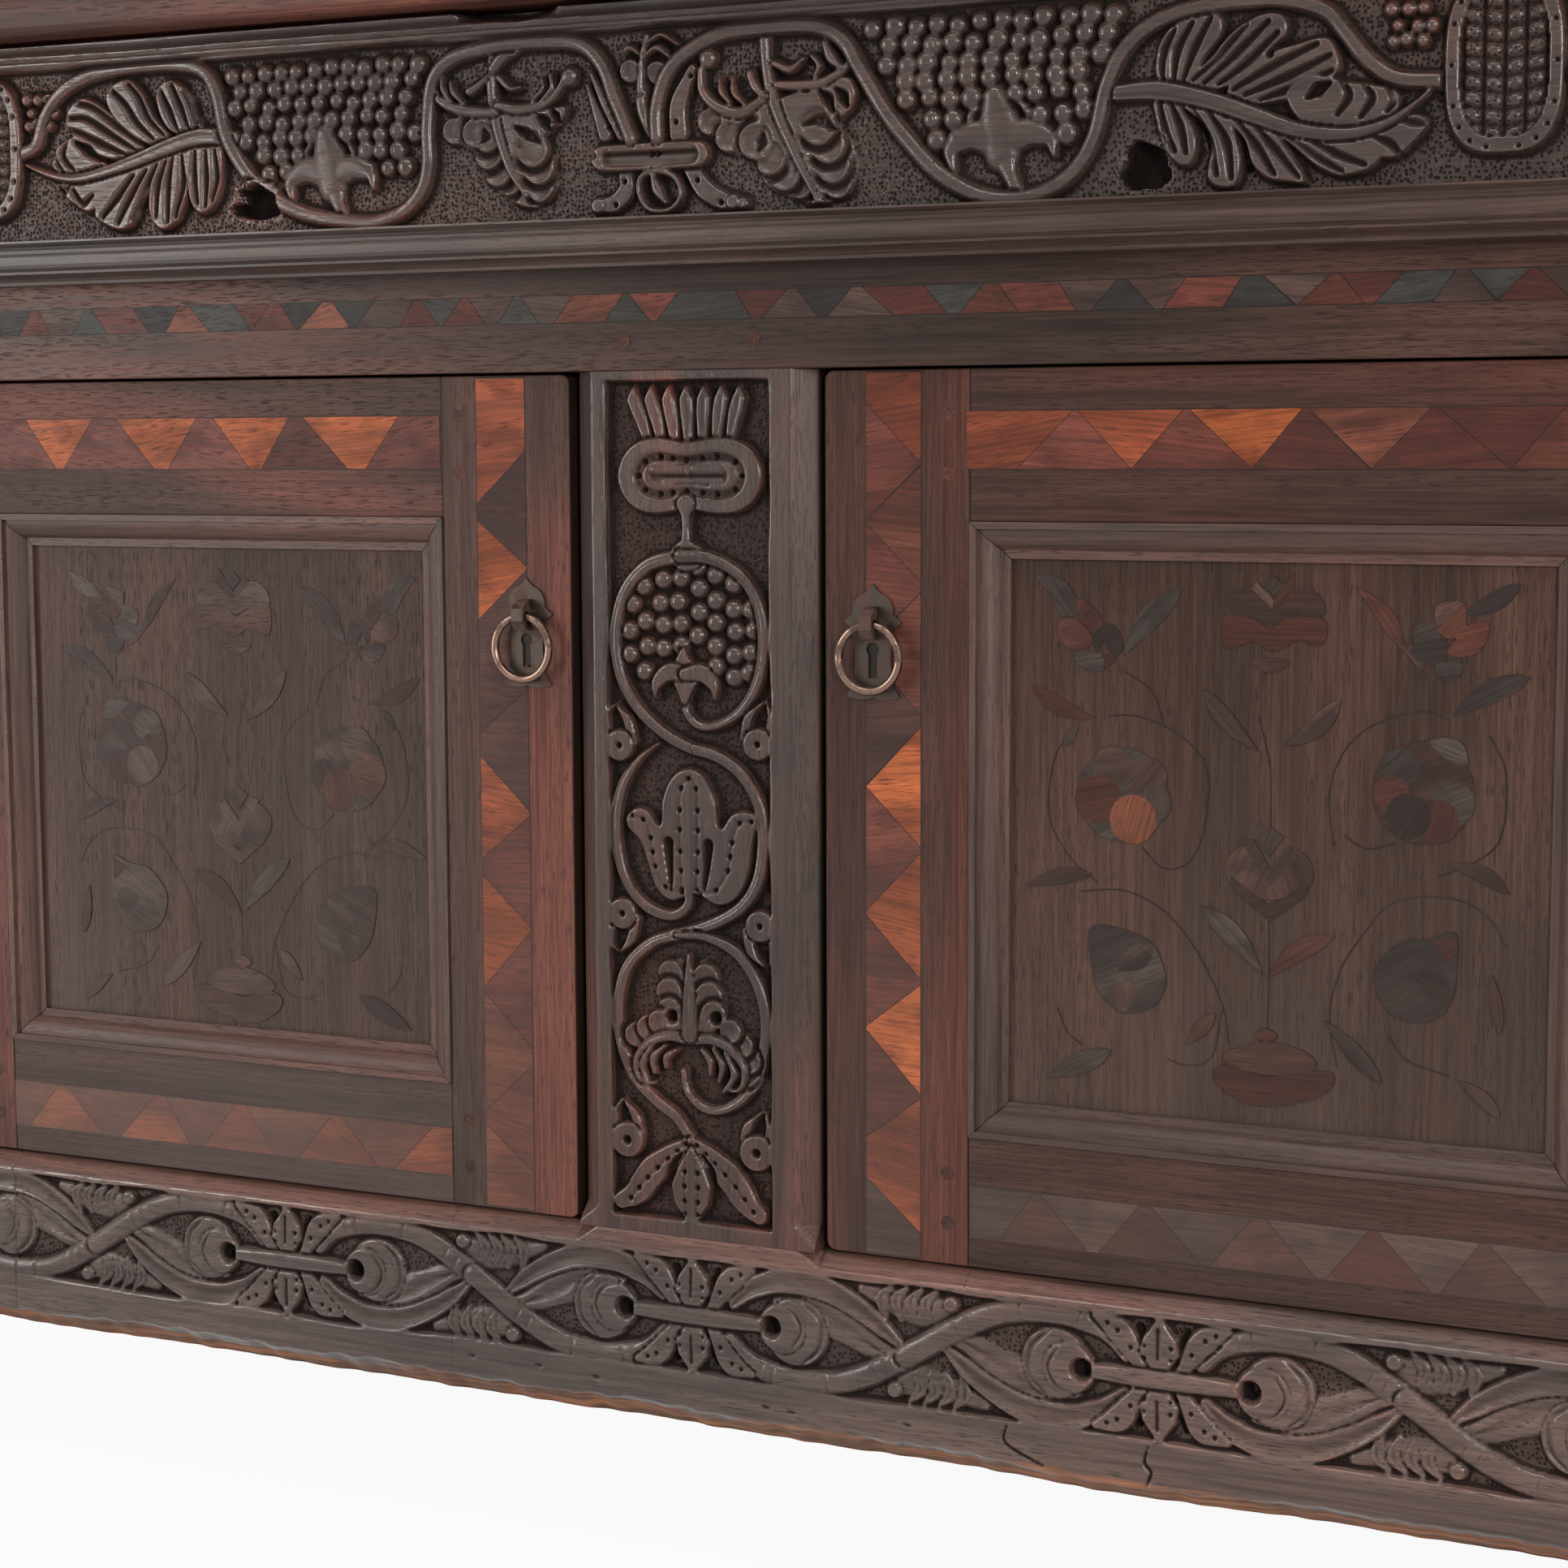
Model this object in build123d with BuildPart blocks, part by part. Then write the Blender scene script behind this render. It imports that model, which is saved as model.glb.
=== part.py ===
"""Court cupboard of framed oak in two stages, built up piece by piece.

Lower stage: two panelled doors either side of a carved muntin, under a carved frieze that stands
forward on a moulding. Upper stage: a set-back cupboard with two small doors, and a deep cornice
carried in front on two turned columns. Millimetres; X runs along the front, +Y to the back, Z up.
The origin is on the floor, under the middle of the whole cupboard.
"""
import os

from build123d import *

os.makedirs("parts", exist_ok=True)

# ---- driving dimensions -------------------------------------------------------------------
DEPTH = 540.0               # ledge board, front to back
FRIEZE_FORWARD = 45.0       # carved frieze in front of the framing
LEDGE_OVERHANG = 22.0       # ledge board in front of the frieze
BACK = DEPTH / 2
FRONT = -DEPTH / 2 + LEDGE_OVERHANG + FRIEZE_FORWARD   # front plane of the lower framing
HALF_WIDTH = 700.0          # outer face of the posts
POST_W = 80.0               # posts across the front
FRONT_POST_D = 60.0
BACK_POST_D = 50.0
RAIL_T = 34.0               # front rails and muntin
OPEN_SIDE = HALF_WIDTH - POST_W
FIT = 0.05                  # play left round pegs, pins and let-in iron
ARRIS = 0.8                 # softened edges of a planed face
WORN = 6.0                  # corners of the doors rounded by handling
BOARD_GAP = 1.0             # shrinkage gap between neighbouring boards
FRAME_JOINT = 0.2           # hairline joint between neighbouring pieces of one frame

BOTTOM_RAIL = (98.0, 220.0)
BEVEL_DEPTH, BEVEL_RISE = 15.0, 14.0     # worn bevel under the bottom rail
RAIL_CHAMFER = 10.0
OPENING_TOP = 740.0
CARCASS_TOP = 950.0
MUNTIN_HALF = 80.0
MUNTIN_FACE_HALF = 66.0
MUNTIN_CHAMFER_D = 9.0
CHAMFER_STOP = 16.0

MOULDING = (800.0, 826.0)
FRIEZE_TOP = 947.0
FRIEZE_T = 20.0
FRIEZE_HOLES = ((-277.0, 845.0), (294.0, 845.0))
HOLE_R = 12.0

DOOR_INNER = 85.0
DOOR_OUTER = 617.0
DOOR_SET = 7.0              # doors stand this far behind the framing
DOOR_T = 24.0
DOOR_Z = (221.5, 738.5)
STILE_INNER = 176.0
STILE_OUTER = 526.0
DOOR_RAIL_LOW = 298.0
DOOR_RAIL_HIGH = 652.5
PANEL_SET = 12.0
PANEL_T = 8.0
TONGUE = 8.0                # panel edge housed in the frame's groove
DOOR_MOULD_W = 21.0
MITRE_GAP = 0.2
DOOR_TENON = 60.0
DOOR_TENON_T = 9.0
PEG_R = 4.25

PULL_X = 116.0
RING_TUBE_R = 2.6
RING_R = 19.2               # to the middle of the bar
RING_EYE = (FRONT - 0.5, 593.2)          # y, z of the staple's eye
RING_EYE_R = 3.35
STAPLE_W = 8.0
PLATE_T = 1.5
KEYHOLE_Z = 578.7
KEYHOLE_R = 4.0
KEYHOLE_FOOT = 562.0
KEYHOLE_SLOT = 5.4

LOCK_Z = (528.0, 610.0)
LOCK_X = (90.0, 156.0)
LOCK_T = 16.0
BOLT_Z = 588.0
BOLT_H = 14.0
BOLT_T = 8.0
BOLT_X = (88.0, 150.0)
BOLT_PLAY = 0.35

HINGE_Z = (290.0, 670.0)
HINGE_X = 618.5
HINGE_Y = FRONT - 5.0
KNUCKLE_R = 4.5
HINGE_PIN_R = 2.2
HINGE_H = 62.0
HINGE_MID = 10.0            # half height of the door leaf's knuckle
KNUCKLE_GAP = 0.3
LEAF_CLEAR = 7.5            # hinge axis to the flat of the door leaf
LEAF_T = 2.0
LEAF_L = 44.0

SHELF_Z = (470.0, 488.0)
FLOOR_Z = (202.0, 218.0)
PANEL_SIDE = (672.0, 684.0)
SIDE_RAIL = (664.0, 694.0)

LEDGE_Z = (CARCASS_TOP, 976.0)
LEDGE_HALF = 718.0
LEDGE_NOSE = 7.0
UPPER_FRONT = FRONT + 130.0
UPPER_HALF = 680.0
UPPER_POST = 60.0
UPPER_POST_D = 45.0
UPPER_OPEN = UPPER_HALF - UPPER_POST
UPPER_RAIL_T = 30.0
UPPER_LOW = 1036.0
UPPER_HIGH = 1400.0
CORNICE_Z = (1440.0, 1560.0)
CORNICE_T = 22.0
SOFFIT_T = 12.0
CORNICE_TOP = 1580.0
UPPER_MUNTIN = (150.0, 206.0)
UPPER_DOOR_T = 22.0
UPPER_DOOR_FRAME = 54.0
UPPER_DOOR_SET = 2.0
PIVOT_R = 4.0
PIVOT_L = 26.0
COLUMN_X = 656.0
COLUMN_Y = FRONT + 45.0
COLUMN_BLOCK = 54.0


# ---- shared ways of making a piece -----------------------------------------------------------
def block(x, y, z, mode=Mode.ADD):
    """A squared piece that fills the ranges x, y and z."""
    with Locations(((x[0] + x[1]) / 2, (y[0] + y[1]) / 2, (z[0] + z[1]) / 2)):
        Box(abs(x[1] - x[0]), abs(y[1] - y[0]), abs(z[1] - z[0]), mode=mode)


def sided(side, low, high):
    """The range low..high on the right of the cupboard, or its mirror image on the left."""
    return (low, high) if side > 0 else (-high, -low)


def round_bar(centre, radius, y, mode=Mode.ADD):
    """A round bar that runs front to back over the range y, centred at the point x, z."""
    with BuildSketch(Plane((centre[0], y[0], centre[1]), x_dir=(1, 0, 0), z_dir=(0, 1, 0))) as end:
        Circle(radius)
    extrude(end.sketch, amount=y[1] - y[0], mode=mode)


def prism_x(points, x, mode=Mode.ADD):
    """A bar along X over the range x, with a straight-sided y, z section."""
    with BuildSketch(Plane.YZ.offset(x[0])) as end:
        with BuildLine():
            Polyline(*points, close=True)
        make_face()
    extrude(end.sketch, amount=x[1] - x[0], mode=mode)


def prism_z(points, z, mode=Mode.ADD):
    """An upright bar over the range z, with a straight-sided x, y section."""
    with BuildSketch(Plane.XY.offset(z[0])) as end:
        with BuildLine():
            Polyline(*points, close=True)
        make_face()
    extrude(end.sketch, amount=z[1] - z[0], mode=mode)


def upright_rod(centre, radius, z, mode=Mode.ADD):
    """An upright round rod over the range z, centred at the point x, y."""
    with BuildSketch(Plane((centre[0], centre[1], z[0]))) as end:
        Circle(radius)
    extrude(end.sketch, amount=z[1] - z[0], mode=mode)


def ease_front(piece):
    """Soften the edges round the front face of the piece so far."""
    fillet(piece.faces().sort_by(Axis.Y)[0].edges(), radius=ARRIS)


def finish(piece, label):
    """Name a finished piece and write it."""
    piece.part.label = label
    export_step(piece.part, f"parts/{label}.step")


# ---- lower stage: posts and rails --------------------------------------------------------------
FRONT_POST_Y = (FRONT, FRONT + FRONT_POST_D)
BACK_POST_Y = (BACK - BACK_POST_D, BACK)
RAIL_Y = (FRONT, FRONT + RAIL_T)
TENON_Y = (FRONT + 10.0, FRONT + 22.0)
TENON = 50.0
RAIL_SHOULDER = 16.0        # rail left above and below each tenon
RAIL_TENONS = tuple((low + RAIL_SHOULDER, high - RAIL_SHOULDER)
                    for low, high in (BOTTOM_RAIL, (OPENING_TOP, CARCASS_TOP)))
FRAME_PEGS = [(s * (OPEN_SIDE + 14.0), z) for s in (-1, 1) for z in (138.0, 190.0, 772.0, 906.0)]
MUNTIN_PEGS = [(s * 43.0, 757.0) for s in (-1, 1)]
MUNTIN_TENON = (-50.0, 50.0)
MUNTIN_TENON_L = 38.0
SIDE_RAIL_Z = (BOTTOM_RAIL, (CARCASS_TOP - 100.0, CARCASS_TOP))
SIDE_TENON = 30.0
SIDE_SHOULDER = 14.0
SIDE_TENON_X = (673.0, 683.0)
PANEL_Y = (FRONT_POST_Y[1] - TONGUE, BACK_POST_Y[0] + TONGUE)
PANEL_Z = (SIDE_RAIL_Z[0][1] - TONGUE, SIDE_RAIL_Z[1][0] + TONGUE)
FLOOR_HOUSING = 6.0         # bottom boards let into the front and back rails
BACK_BOARD_T = 12.0
BACK_RAIL_T = 22.0
BACK_RAIL_Y = (BACK - BACK_BOARD_T - BACK_RAIL_T, BACK - BACK_BOARD_T)
FLOOR_Y = (FRONT + RAIL_T - FLOOR_HOUSING, BACK_RAIL_Y[0] + FLOOR_HOUSING)

with BuildPart() as front_posts:
    for side in (-1, 1):
        block(sided(side, OPEN_SIDE, HALF_WIDTH), FRONT_POST_Y, (0, CARCASS_TOP))
    fillet(front_posts.edges().filter_by(Axis.Z), radius=ARRIS)
    for side in (-1, 1):
        for z in RAIL_TENONS:
            block(sided(side, OPEN_SIDE, OPEN_SIDE + TENON), TENON_Y, z, Mode.SUBTRACT)
        for z in SIDE_RAIL_Z:
            block(sided(side, *SIDE_TENON_X), (FRONT_POST_Y[1] - SIDE_TENON, FRONT_POST_Y[1]),
                  (z[0] + SIDE_SHOULDER, z[1] - SIDE_SHOULDER), Mode.SUBTRACT)
        block(sided(side, *PANEL_SIDE), PANEL_Y, PANEL_Z, Mode.SUBTRACT)
    for point in FRAME_PEGS:
        round_bar(point, PEG_R + FIT, (FRONT, FRONT + RAIL_T), Mode.SUBTRACT)
finish(front_posts, "front_posts")

with BuildPart() as back_posts:
    for side in (-1, 1):
        block(sided(side, OPEN_SIDE, HALF_WIDTH), BACK_POST_Y, (0, CARCASS_TOP))
    fillet(back_posts.edges().filter_by(Axis.Z), radius=ARRIS)
    for side in (-1, 1):
        for z in SIDE_RAIL_Z:
            block(sided(side, *SIDE_TENON_X), (BACK_POST_Y[0], BACK_POST_Y[0] + SIDE_TENON),
                  (z[0] + SIDE_SHOULDER, z[1] - SIDE_SHOULDER), Mode.SUBTRACT)
        block(sided(side, *PANEL_SIDE), PANEL_Y, PANEL_Z, Mode.SUBTRACT)
finish(back_posts, "back_posts")

with BuildPart() as bottom_rail:
    low, high = BOTTOM_RAIL
    prism_x([(FRONT, low + BEVEL_RISE), (FRONT + BEVEL_DEPTH, low), (RAIL_Y[1], low), (RAIL_Y[1], high),
             (FRONT, high)], (-OPEN_SIDE, OPEN_SIDE))
    for side in (-1, 1):
        block(sided(side, OPEN_SIDE - 1, OPEN_SIDE + TENON), TENON_Y, RAIL_TENONS[0])
        prism_x([(FRONT, high - RAIL_CHAMFER), (FRONT + RAIL_CHAMFER, high), (FRONT, high)],
                sided(side, MUNTIN_HALF, OPEN_SIDE - 4), Mode.SUBTRACT)
    block(MUNTIN_TENON, TENON_Y, (high - MUNTIN_TENON_L, high), Mode.SUBTRACT)
    block((-OPEN_SIDE, OPEN_SIDE), (FLOOR_Y[0], RAIL_Y[1]), FLOOR_Z, Mode.SUBTRACT)
    for point in FRAME_PEGS:
        round_bar(point, PEG_R + FIT, RAIL_Y, Mode.SUBTRACT)
finish(bottom_rail, "bottom_rail")

with BuildPart() as inlaid_top_rail:
    block((-OPEN_SIDE, OPEN_SIDE), RAIL_Y, (OPENING_TOP, CARCASS_TOP))
    ease_front(inlaid_top_rail)
    block((-OPEN_SIDE - TENON, OPEN_SIDE + TENON), TENON_Y, RAIL_TENONS[1])
    block(MUNTIN_TENON, TENON_Y, (OPENING_TOP, OPENING_TOP + MUNTIN_TENON_L), Mode.SUBTRACT)
    for point in FRAME_PEGS + MUNTIN_PEGS:
        round_bar(point, PEG_R + FIT, RAIL_Y, Mode.SUBTRACT)
finish(inlaid_top_rail, "inlaid_top_rail")

with BuildPart() as centre_muntin:
    muntin_z = (BOTTOM_RAIL[1], OPENING_TOP)
    block((-MUNTIN_HALF, MUNTIN_HALF), RAIL_Y, muntin_z)
    for side in (-1, 1):
        edge, face = side * MUNTIN_HALF, side * MUNTIN_FACE_HALF
        prism_z([(edge, FRONT), (face, FRONT), (edge, FRONT + MUNTIN_CHAMFER_D)],
                (muntin_z[0] + CHAMFER_STOP, muntin_z[1]), Mode.SUBTRACT)
    block(MUNTIN_TENON, TENON_Y, (muntin_z[0] - MUNTIN_TENON_L, muntin_z[0]))
    block(MUNTIN_TENON, TENON_Y, (muntin_z[1], muntin_z[1] + MUNTIN_TENON_L))
    for point in MUNTIN_PEGS:
        round_bar(point, PEG_R + FIT, RAIL_Y, Mode.SUBTRACT)
finish(centre_muntin, "centre_muntin")

with BuildPart() as frame_pegs:
    for point in FRAME_PEGS + MUNTIN_PEGS:
        round_bar(point, PEG_R, (FRONT - 0.4, FRONT + RAIL_T))
finish(frame_pegs, "frame_pegs")

# ---- lower stage: frieze and the moulding that carries it ----------------------------------------
FRIEZE_Y = FRONT - FRIEZE_FORWARD
LIP, LIP_H = 2.0, 6.0       # fillet at the moulding's top, proud of the frieze
QUIRK = 5.0                 # step under the ovolo
BLOCKS = ((0.0, 30.0), (-330.0, 22.0), (330.0, 22.0), (-680.0, 20.0), (680.0, 20.0))

with BuildPart() as frieze_board:
    block((-HALF_WIDTH, HALF_WIDTH), (FRIEZE_Y, FRIEZE_Y + FRIEZE_T), (MOULDING[1], FRIEZE_TOP))
    for point in FRIEZE_HOLES:
        round_bar(point, HOLE_R, (FRIEZE_Y, FRIEZE_Y + FRIEZE_T), Mode.SUBTRACT)
finish(frieze_board, "frieze_board")

with BuildPart() as frieze_blocks:
    for middle, half in BLOCKS:
        block((middle - half, middle + half), (FRIEZE_Y + FRIEZE_T, FRONT), (MOULDING[1], FRIEZE_TOP))
finish(frieze_blocks, "frieze_blocks")

with BuildPart() as frieze_moulding:
    low, high = MOULDING
    with BuildSketch(Plane.YZ.offset(-HALF_WIDTH)):
        with BuildLine():
            lip = Polyline((FRONT, low), (FRONT, high), (FRIEZE_Y - LIP, high),
                           (FRIEZE_Y - LIP, high - LIP_H), (FRIEZE_Y + 3, high - LIP_H - 1))
            ovolo = ThreePointArc(lip @ 1, (FRIEZE_Y + 8, high - 15), (FRIEZE_Y + 24, low + QUIRK))
            Polyline(ovolo @ 1, (FRIEZE_Y + 29, low + QUIRK), (FRIEZE_Y + 29, low), (FRONT, low))
        make_face()
    extrude(amount=2 * HALF_WIDTH)
finish(frieze_moulding, "frieze_moulding")

# ---- lower stage: sides, back, floor and shelf -----------------------------------------------------
with BuildPart() as side_rails:
    for side in (-1, 1):
        for z in SIDE_RAIL_Z:
            block(sided(side, *SIDE_RAIL), (FRONT_POST_Y[1], BACK_POST_Y[0]), z)
            block(sided(side, *SIDE_TENON_X),
                  (FRONT_POST_Y[1] - SIDE_TENON, BACK_POST_Y[0] + SIDE_TENON),
                  (z[0] + SIDE_SHOULDER, z[1] - SIDE_SHOULDER))
        block(sided(side, *PANEL_SIDE), PANEL_Y, PANEL_Z, Mode.SUBTRACT)
finish(side_rails, "side_rails")

with BuildPart() as side_panels:
    for side in (-1, 1):
        block(sided(side, *PANEL_SIDE), PANEL_Y, PANEL_Z)
finish(side_panels, "side_panels")

BACK_RAIL_Z = ((BOTTOM_RAIL[0], BOTTOM_RAIL[1] - 1.0), (CARCASS_TOP - 80.0, CARCASS_TOP))
with BuildPart() as back_rails:
    for z in BACK_RAIL_Z:
        block((-OPEN_SIDE, OPEN_SIDE), BACK_RAIL_Y, z)
    block((-OPEN_SIDE, OPEN_SIDE), (BACK_RAIL_Y[0], FLOOR_Y[1]), FLOOR_Z, Mode.SUBTRACT)
finish(back_rails, "back_rails")

BACK_BOARDS = 5
board_w = 2 * OPEN_SIDE / BACK_BOARDS
with BuildPart() as back_boards:
    for number in range(BACK_BOARDS):
        x = -OPEN_SIDE + number * board_w
        block((x, x + board_w - BOARD_GAP), (BACK - BACK_BOARD_T, BACK), (BOTTOM_RAIL[0], CARCASS_TOP))
finish(back_boards, "back_boards")

with BuildPart() as bottom_boards:
    block((-OPEN_SIDE, OPEN_SIDE), FLOOR_Y, FLOOR_Z)
    block((-SIDE_RAIL[0], SIDE_RAIL[0]), (FRONT_POST_Y[1], BACK_POST_Y[0]), FLOOR_Z)
finish(bottom_boards, "bottom_boards")

BEARER_X = (640.0, SIDE_RAIL[0])
BEARER_H = 30.0
with BuildPart() as shelf_bearers:
    for side in (-1, 1):
        block(sided(side, *BEARER_X), (FRONT_POST_Y[1], BACK_POST_Y[0]), (SHELF_Z[0] - BEARER_H, SHELF_Z[0]))
finish(shelf_bearers, "shelf_bearers")

SHELF_FRONT = FRONT + 110.0
SHELF_SPLIT = 95.0
with BuildPart() as shelf_boards:
    for y in ((SHELF_FRONT, SHELF_SPLIT), (SHELF_SPLIT + BOARD_GAP, BACK_POST_Y[0])):
        block((-BEARER_X[1], BEARER_X[1]), y, SHELF_Z)
finish(shelf_boards, "shelf_boards")

LEDGE_SPLIT = 20.0
with BuildPart() as ledge_boards:
    block((-LEDGE_HALF, LEDGE_HALF), (-DEPTH / 2, LEDGE_SPLIT), LEDGE_Z)
    nose = ledge_boards.edges().filter_by(Axis.X).group_by(Axis.Y)[0]
    fillet(nose, radius=LEDGE_NOSE)
    block((-LEDGE_HALF, LEDGE_HALF), (LEDGE_SPLIT + BOARD_GAP, BACK), LEDGE_Z)
finish(ledge_boards, "ledge_boards")


# ---- lower doors -------------------------------------------------------------------------------------
DOOR_Y = (FRONT + DOOR_SET, FRONT + DOOR_SET + DOOR_T)
DOOR_TENON_Y = (DOOR_Y[0] + 8.0, DOOR_Y[0] + 8.0 + DOOR_TENON_T)
DOOR_PANEL_Y = (DOOR_Y[0] + PANEL_SET, DOOR_Y[0] + PANEL_SET + PANEL_T)
DOOR_RAILS = {"top_rail": (DOOR_RAIL_HIGH, DOOR_Z[1]), "bottom_rail": (DOOR_Z[0], DOOR_RAIL_LOW)}
DOOR_TENONS = {"top_rail": (DOOR_RAIL_HIGH + 12, DOOR_Z[1] - 14),
               "bottom_rail": (DOOR_Z[0] + 14, DOOR_RAIL_LOW - 12)}
PEG_INSET = 13.0            # pegs from the joint between stile and rail
DOOR_PEGS = [(x, z) for x in (STILE_INNER - PEG_INSET, STILE_OUTER + PEG_INSET)
             for z in (246.0, 276.0, 680.0, 714.0)]
STAPLE_TANG = (598.0, 602.0)             # z of the staple's tang through the stile
STAPLE_TANG_L = 16.0
DOOR_TENON_X = (STILE_INNER - DOOR_TENON, STILE_OUTER + DOOR_TENON)
PANEL_BOX = ((STILE_INNER - TONGUE, STILE_OUTER + TONGUE), DOOR_PANEL_Y,
             (DOOR_RAIL_LOW - TONGUE, DOOR_RAIL_HIGH + TONGUE))


def door_pegs(side, grow, mode):
    """The oak pegs of one door, or with grow the holes bored for them."""
    for x, z in DOOR_PEGS:
        round_bar((side * x, z), PEG_R + grow, DOOR_Y, mode)


def keyhole(side, y):
    """Cut a keyhole, a round head over a narrow foot, through the range y."""
    round_bar((side * PULL_X, KEYHOLE_Z), KEYHOLE_R, y, Mode.SUBTRACT)
    block((side * PULL_X - KEYHOLE_SLOT / 2, side * PULL_X + KEYHOLE_SLOT / 2), y,
          (KEYHOLE_FOOT, KEYHOLE_Z), Mode.SUBTRACT)


def door_stile(side, x, name):
    """An upright of the door frame, mortised for both rails and grooved for the panel."""
    with BuildPart() as stile:
        block(sided(side, *x), DOOR_Y, DOOR_Z)
        if x[0] == DOOR_INNER:
            corners = stile.edges().filter_by(Axis.Y).group_by(Axis.X)[0 if side > 0 else -1]
            fillet(corners, radius=WORN)
        ease_front(stile)
        for z in DOOR_TENONS.values():
            block(sided(side, *DOOR_TENON_X), DOOR_TENON_Y, z, Mode.SUBTRACT)
        block(sided(side, *PANEL_BOX[0]), PANEL_BOX[1], PANEL_BOX[2], Mode.SUBTRACT)
        door_pegs(side, FIT, Mode.SUBTRACT)
        if x[0] == DOOR_INNER:
            keyhole(side, DOOR_Y)
            block((side * PULL_X - STAPLE_W / 2 - FIT, side * PULL_X + STAPLE_W / 2 + FIT),
                  (DOOR_Y[0], DOOR_Y[0] + STAPLE_TANG_L), (STAPLE_TANG[0] - FIT, STAPLE_TANG[1] + FIT),
                  Mode.SUBTRACT)
    finish(stile, name)


def door_rail(side, rail, name):
    """A cross piece of the door frame, with a tenon at each end."""
    with BuildPart() as bar:
        block(sided(side, STILE_INNER, STILE_OUTER), DOOR_Y, DOOR_RAILS[rail])
        ease_front(bar)
        block(sided(side, *DOOR_TENON_X), DOOR_TENON_Y, DOOR_TENONS[rail])
        block(sided(side, *PANEL_BOX[0]), PANEL_BOX[1], PANEL_BOX[2], Mode.SUBTRACT)
        door_pegs(side, FIT, Mode.SUBTRACT)
    finish(bar, name)


def door_moulding(side, name):
    """Four mitred lengths of ovolo moulding, pinned in the frame in front of the panel."""
    inner, outer = sided(side, STILE_INNER, STILE_OUTER)
    low, high = DOOR_RAIL_LOW, DOOR_RAIL_HIGH
    middle = (inner + outer) / 2
    back = DOOR_PANEL_Y[0]
    with BuildPart() as moulding:
        with BuildLine(Plane.XZ.offset(-back)) as run:
            Polyline((middle, low), (outer, low), (outer, high), (inner, high), (inner, low), close=True)
        with BuildSketch(Plane((middle, back, low), x_dir=(0, 0, 1), z_dir=(1, 0, 0))):
            with BuildLine():
                lip = Polyline((0, 0), (0, 13.5), (4, 13.5), (4, 11))
                cove = ThreePointArc(lip @ 1, (12, 8.5), (16, 3.0))
                Polyline(cove @ 1, (DOOR_MOULD_W, 3.0), (DOOR_MOULD_W, 0), (0, 0))
            make_face()
        sweep(path=run.line, transition=Transition.RIGHT)
        for x, z, lean in ((inner, low, 1), (outer, low, -1), (inner, high, -1), (outer, high, 1)):
            with BuildSketch(Plane((x, back, z), x_dir=(1, 0, lean), z_dir=(0, -1, 0))):
                Rectangle(4 * DOOR_MOULD_W, MITRE_GAP)
            extrude(amount=DOOR_SET + PANEL_SET, mode=Mode.SUBTRACT)
    finish(moulding, name)


def hinge_bar(side, points, z):
    """A plate of the hinge, given by its x, y section on the right of the cupboard."""
    prism_z([(side * x, y) for x, y in points], z)


def hinge_knuckle(side, z):
    """A rolled knuckle round the hinge's axis."""
    upright_rod((side * HINGE_X, HINGE_Y), KNUCKLE_R, z)


def hinge_bore(side, z):
    """The hole of the knuckles, from end to end of the hinge."""
    upright_rod((side * HINGE_X, HINGE_Y), HINGE_PIN_R + FIT, (z - HINGE_H, z + HINGE_H), Mode.SUBTRACT)


def door_leaves(side, name):
    """Both door leaves: a plate on the door's face, joggled forward to its knuckle."""
    face = DOOR_Y[0]
    edge = HINGE_X - LEAF_CLEAR
    with BuildPart() as leaves:
        for z in HINGE_Z:
            middle = (z - HINGE_MID + KNUCKLE_GAP, z + HINGE_MID - KNUCKLE_GAP)
            block(sided(side, edge - LEAF_L, edge), (face - LEAF_T, face),
                  (z - HINGE_H / 2, z + HINGE_H / 2))
            hinge_bar(side, [(edge - 4, face), (edge - 4, face - LEAF_T), (edge + 1, face - LEAF_T),
                             (HINGE_X - 3.4, HINGE_Y + 1), (HINGE_X - 0.5, HINGE_Y + 4.2),
                             (edge + 3, face)], middle)
            hinge_knuckle(side, middle)
            hinge_bore(side, z)
    finish(leaves, name)


def ring_plate(side, name):
    """The pull's iron plate with its keyhole, and the flat staple that the ring hangs in."""
    face = DOOR_Y[0]
    x = side * PULL_X
    eye_y, eye_z = RING_EYE
    with BuildPart() as plate:
        with BuildSketch(Plane((x, face, 0), x_dir=(1, 0, 0), z_dir=(0, -1, 0))):
            with BuildLine():
                peak = Polyline((0, 616.5), (2.2, 613.5), (5.2, 611.0))
                brow = ThreePointArc(peak @ 1, (10.4, 607.6), (12.8, 599.0))
                ear = Polyline(brow @ 1, (18.2, 594.4), (13.2, 590.4))
                waist = ThreePointArc(ear @ 1, (11.4, 573.0), (13.4, 557.0))
                toe = Polyline(waist @ 1, (16.8, 551.6))
                ThreePointArc(toe @ 1, (8.0, 549.6), (0, 551.0))
                mirror(about=Plane.YZ)
            make_face()
        extrude(amount=PLATE_T)
        keyhole(side, (face - PLATE_T, face))
        front = face - PLATE_T
        prism_x([(front, 603.5), (eye_y - 1.0, 602.0), (eye_y - 5.2, 598.0), (eye_y - 5.8, 590.5),
                 (eye_y - 2.4, 585.0), (front, 584.5)], (x - STAPLE_W / 2, x + STAPLE_W / 2))
        block((x - STAPLE_W / 2, x + STAPLE_W / 2), (front, face + STAPLE_TANG_L - 0.1), STAPLE_TANG)
        with BuildSketch(Plane.YZ.offset(x - STAPLE_W)):
            with Locations((eye_y, eye_z)):
                Circle(RING_EYE_R)
        extrude(amount=2 * STAPLE_W, mode=Mode.SUBTRACT)
    finish(plate, name)


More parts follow.
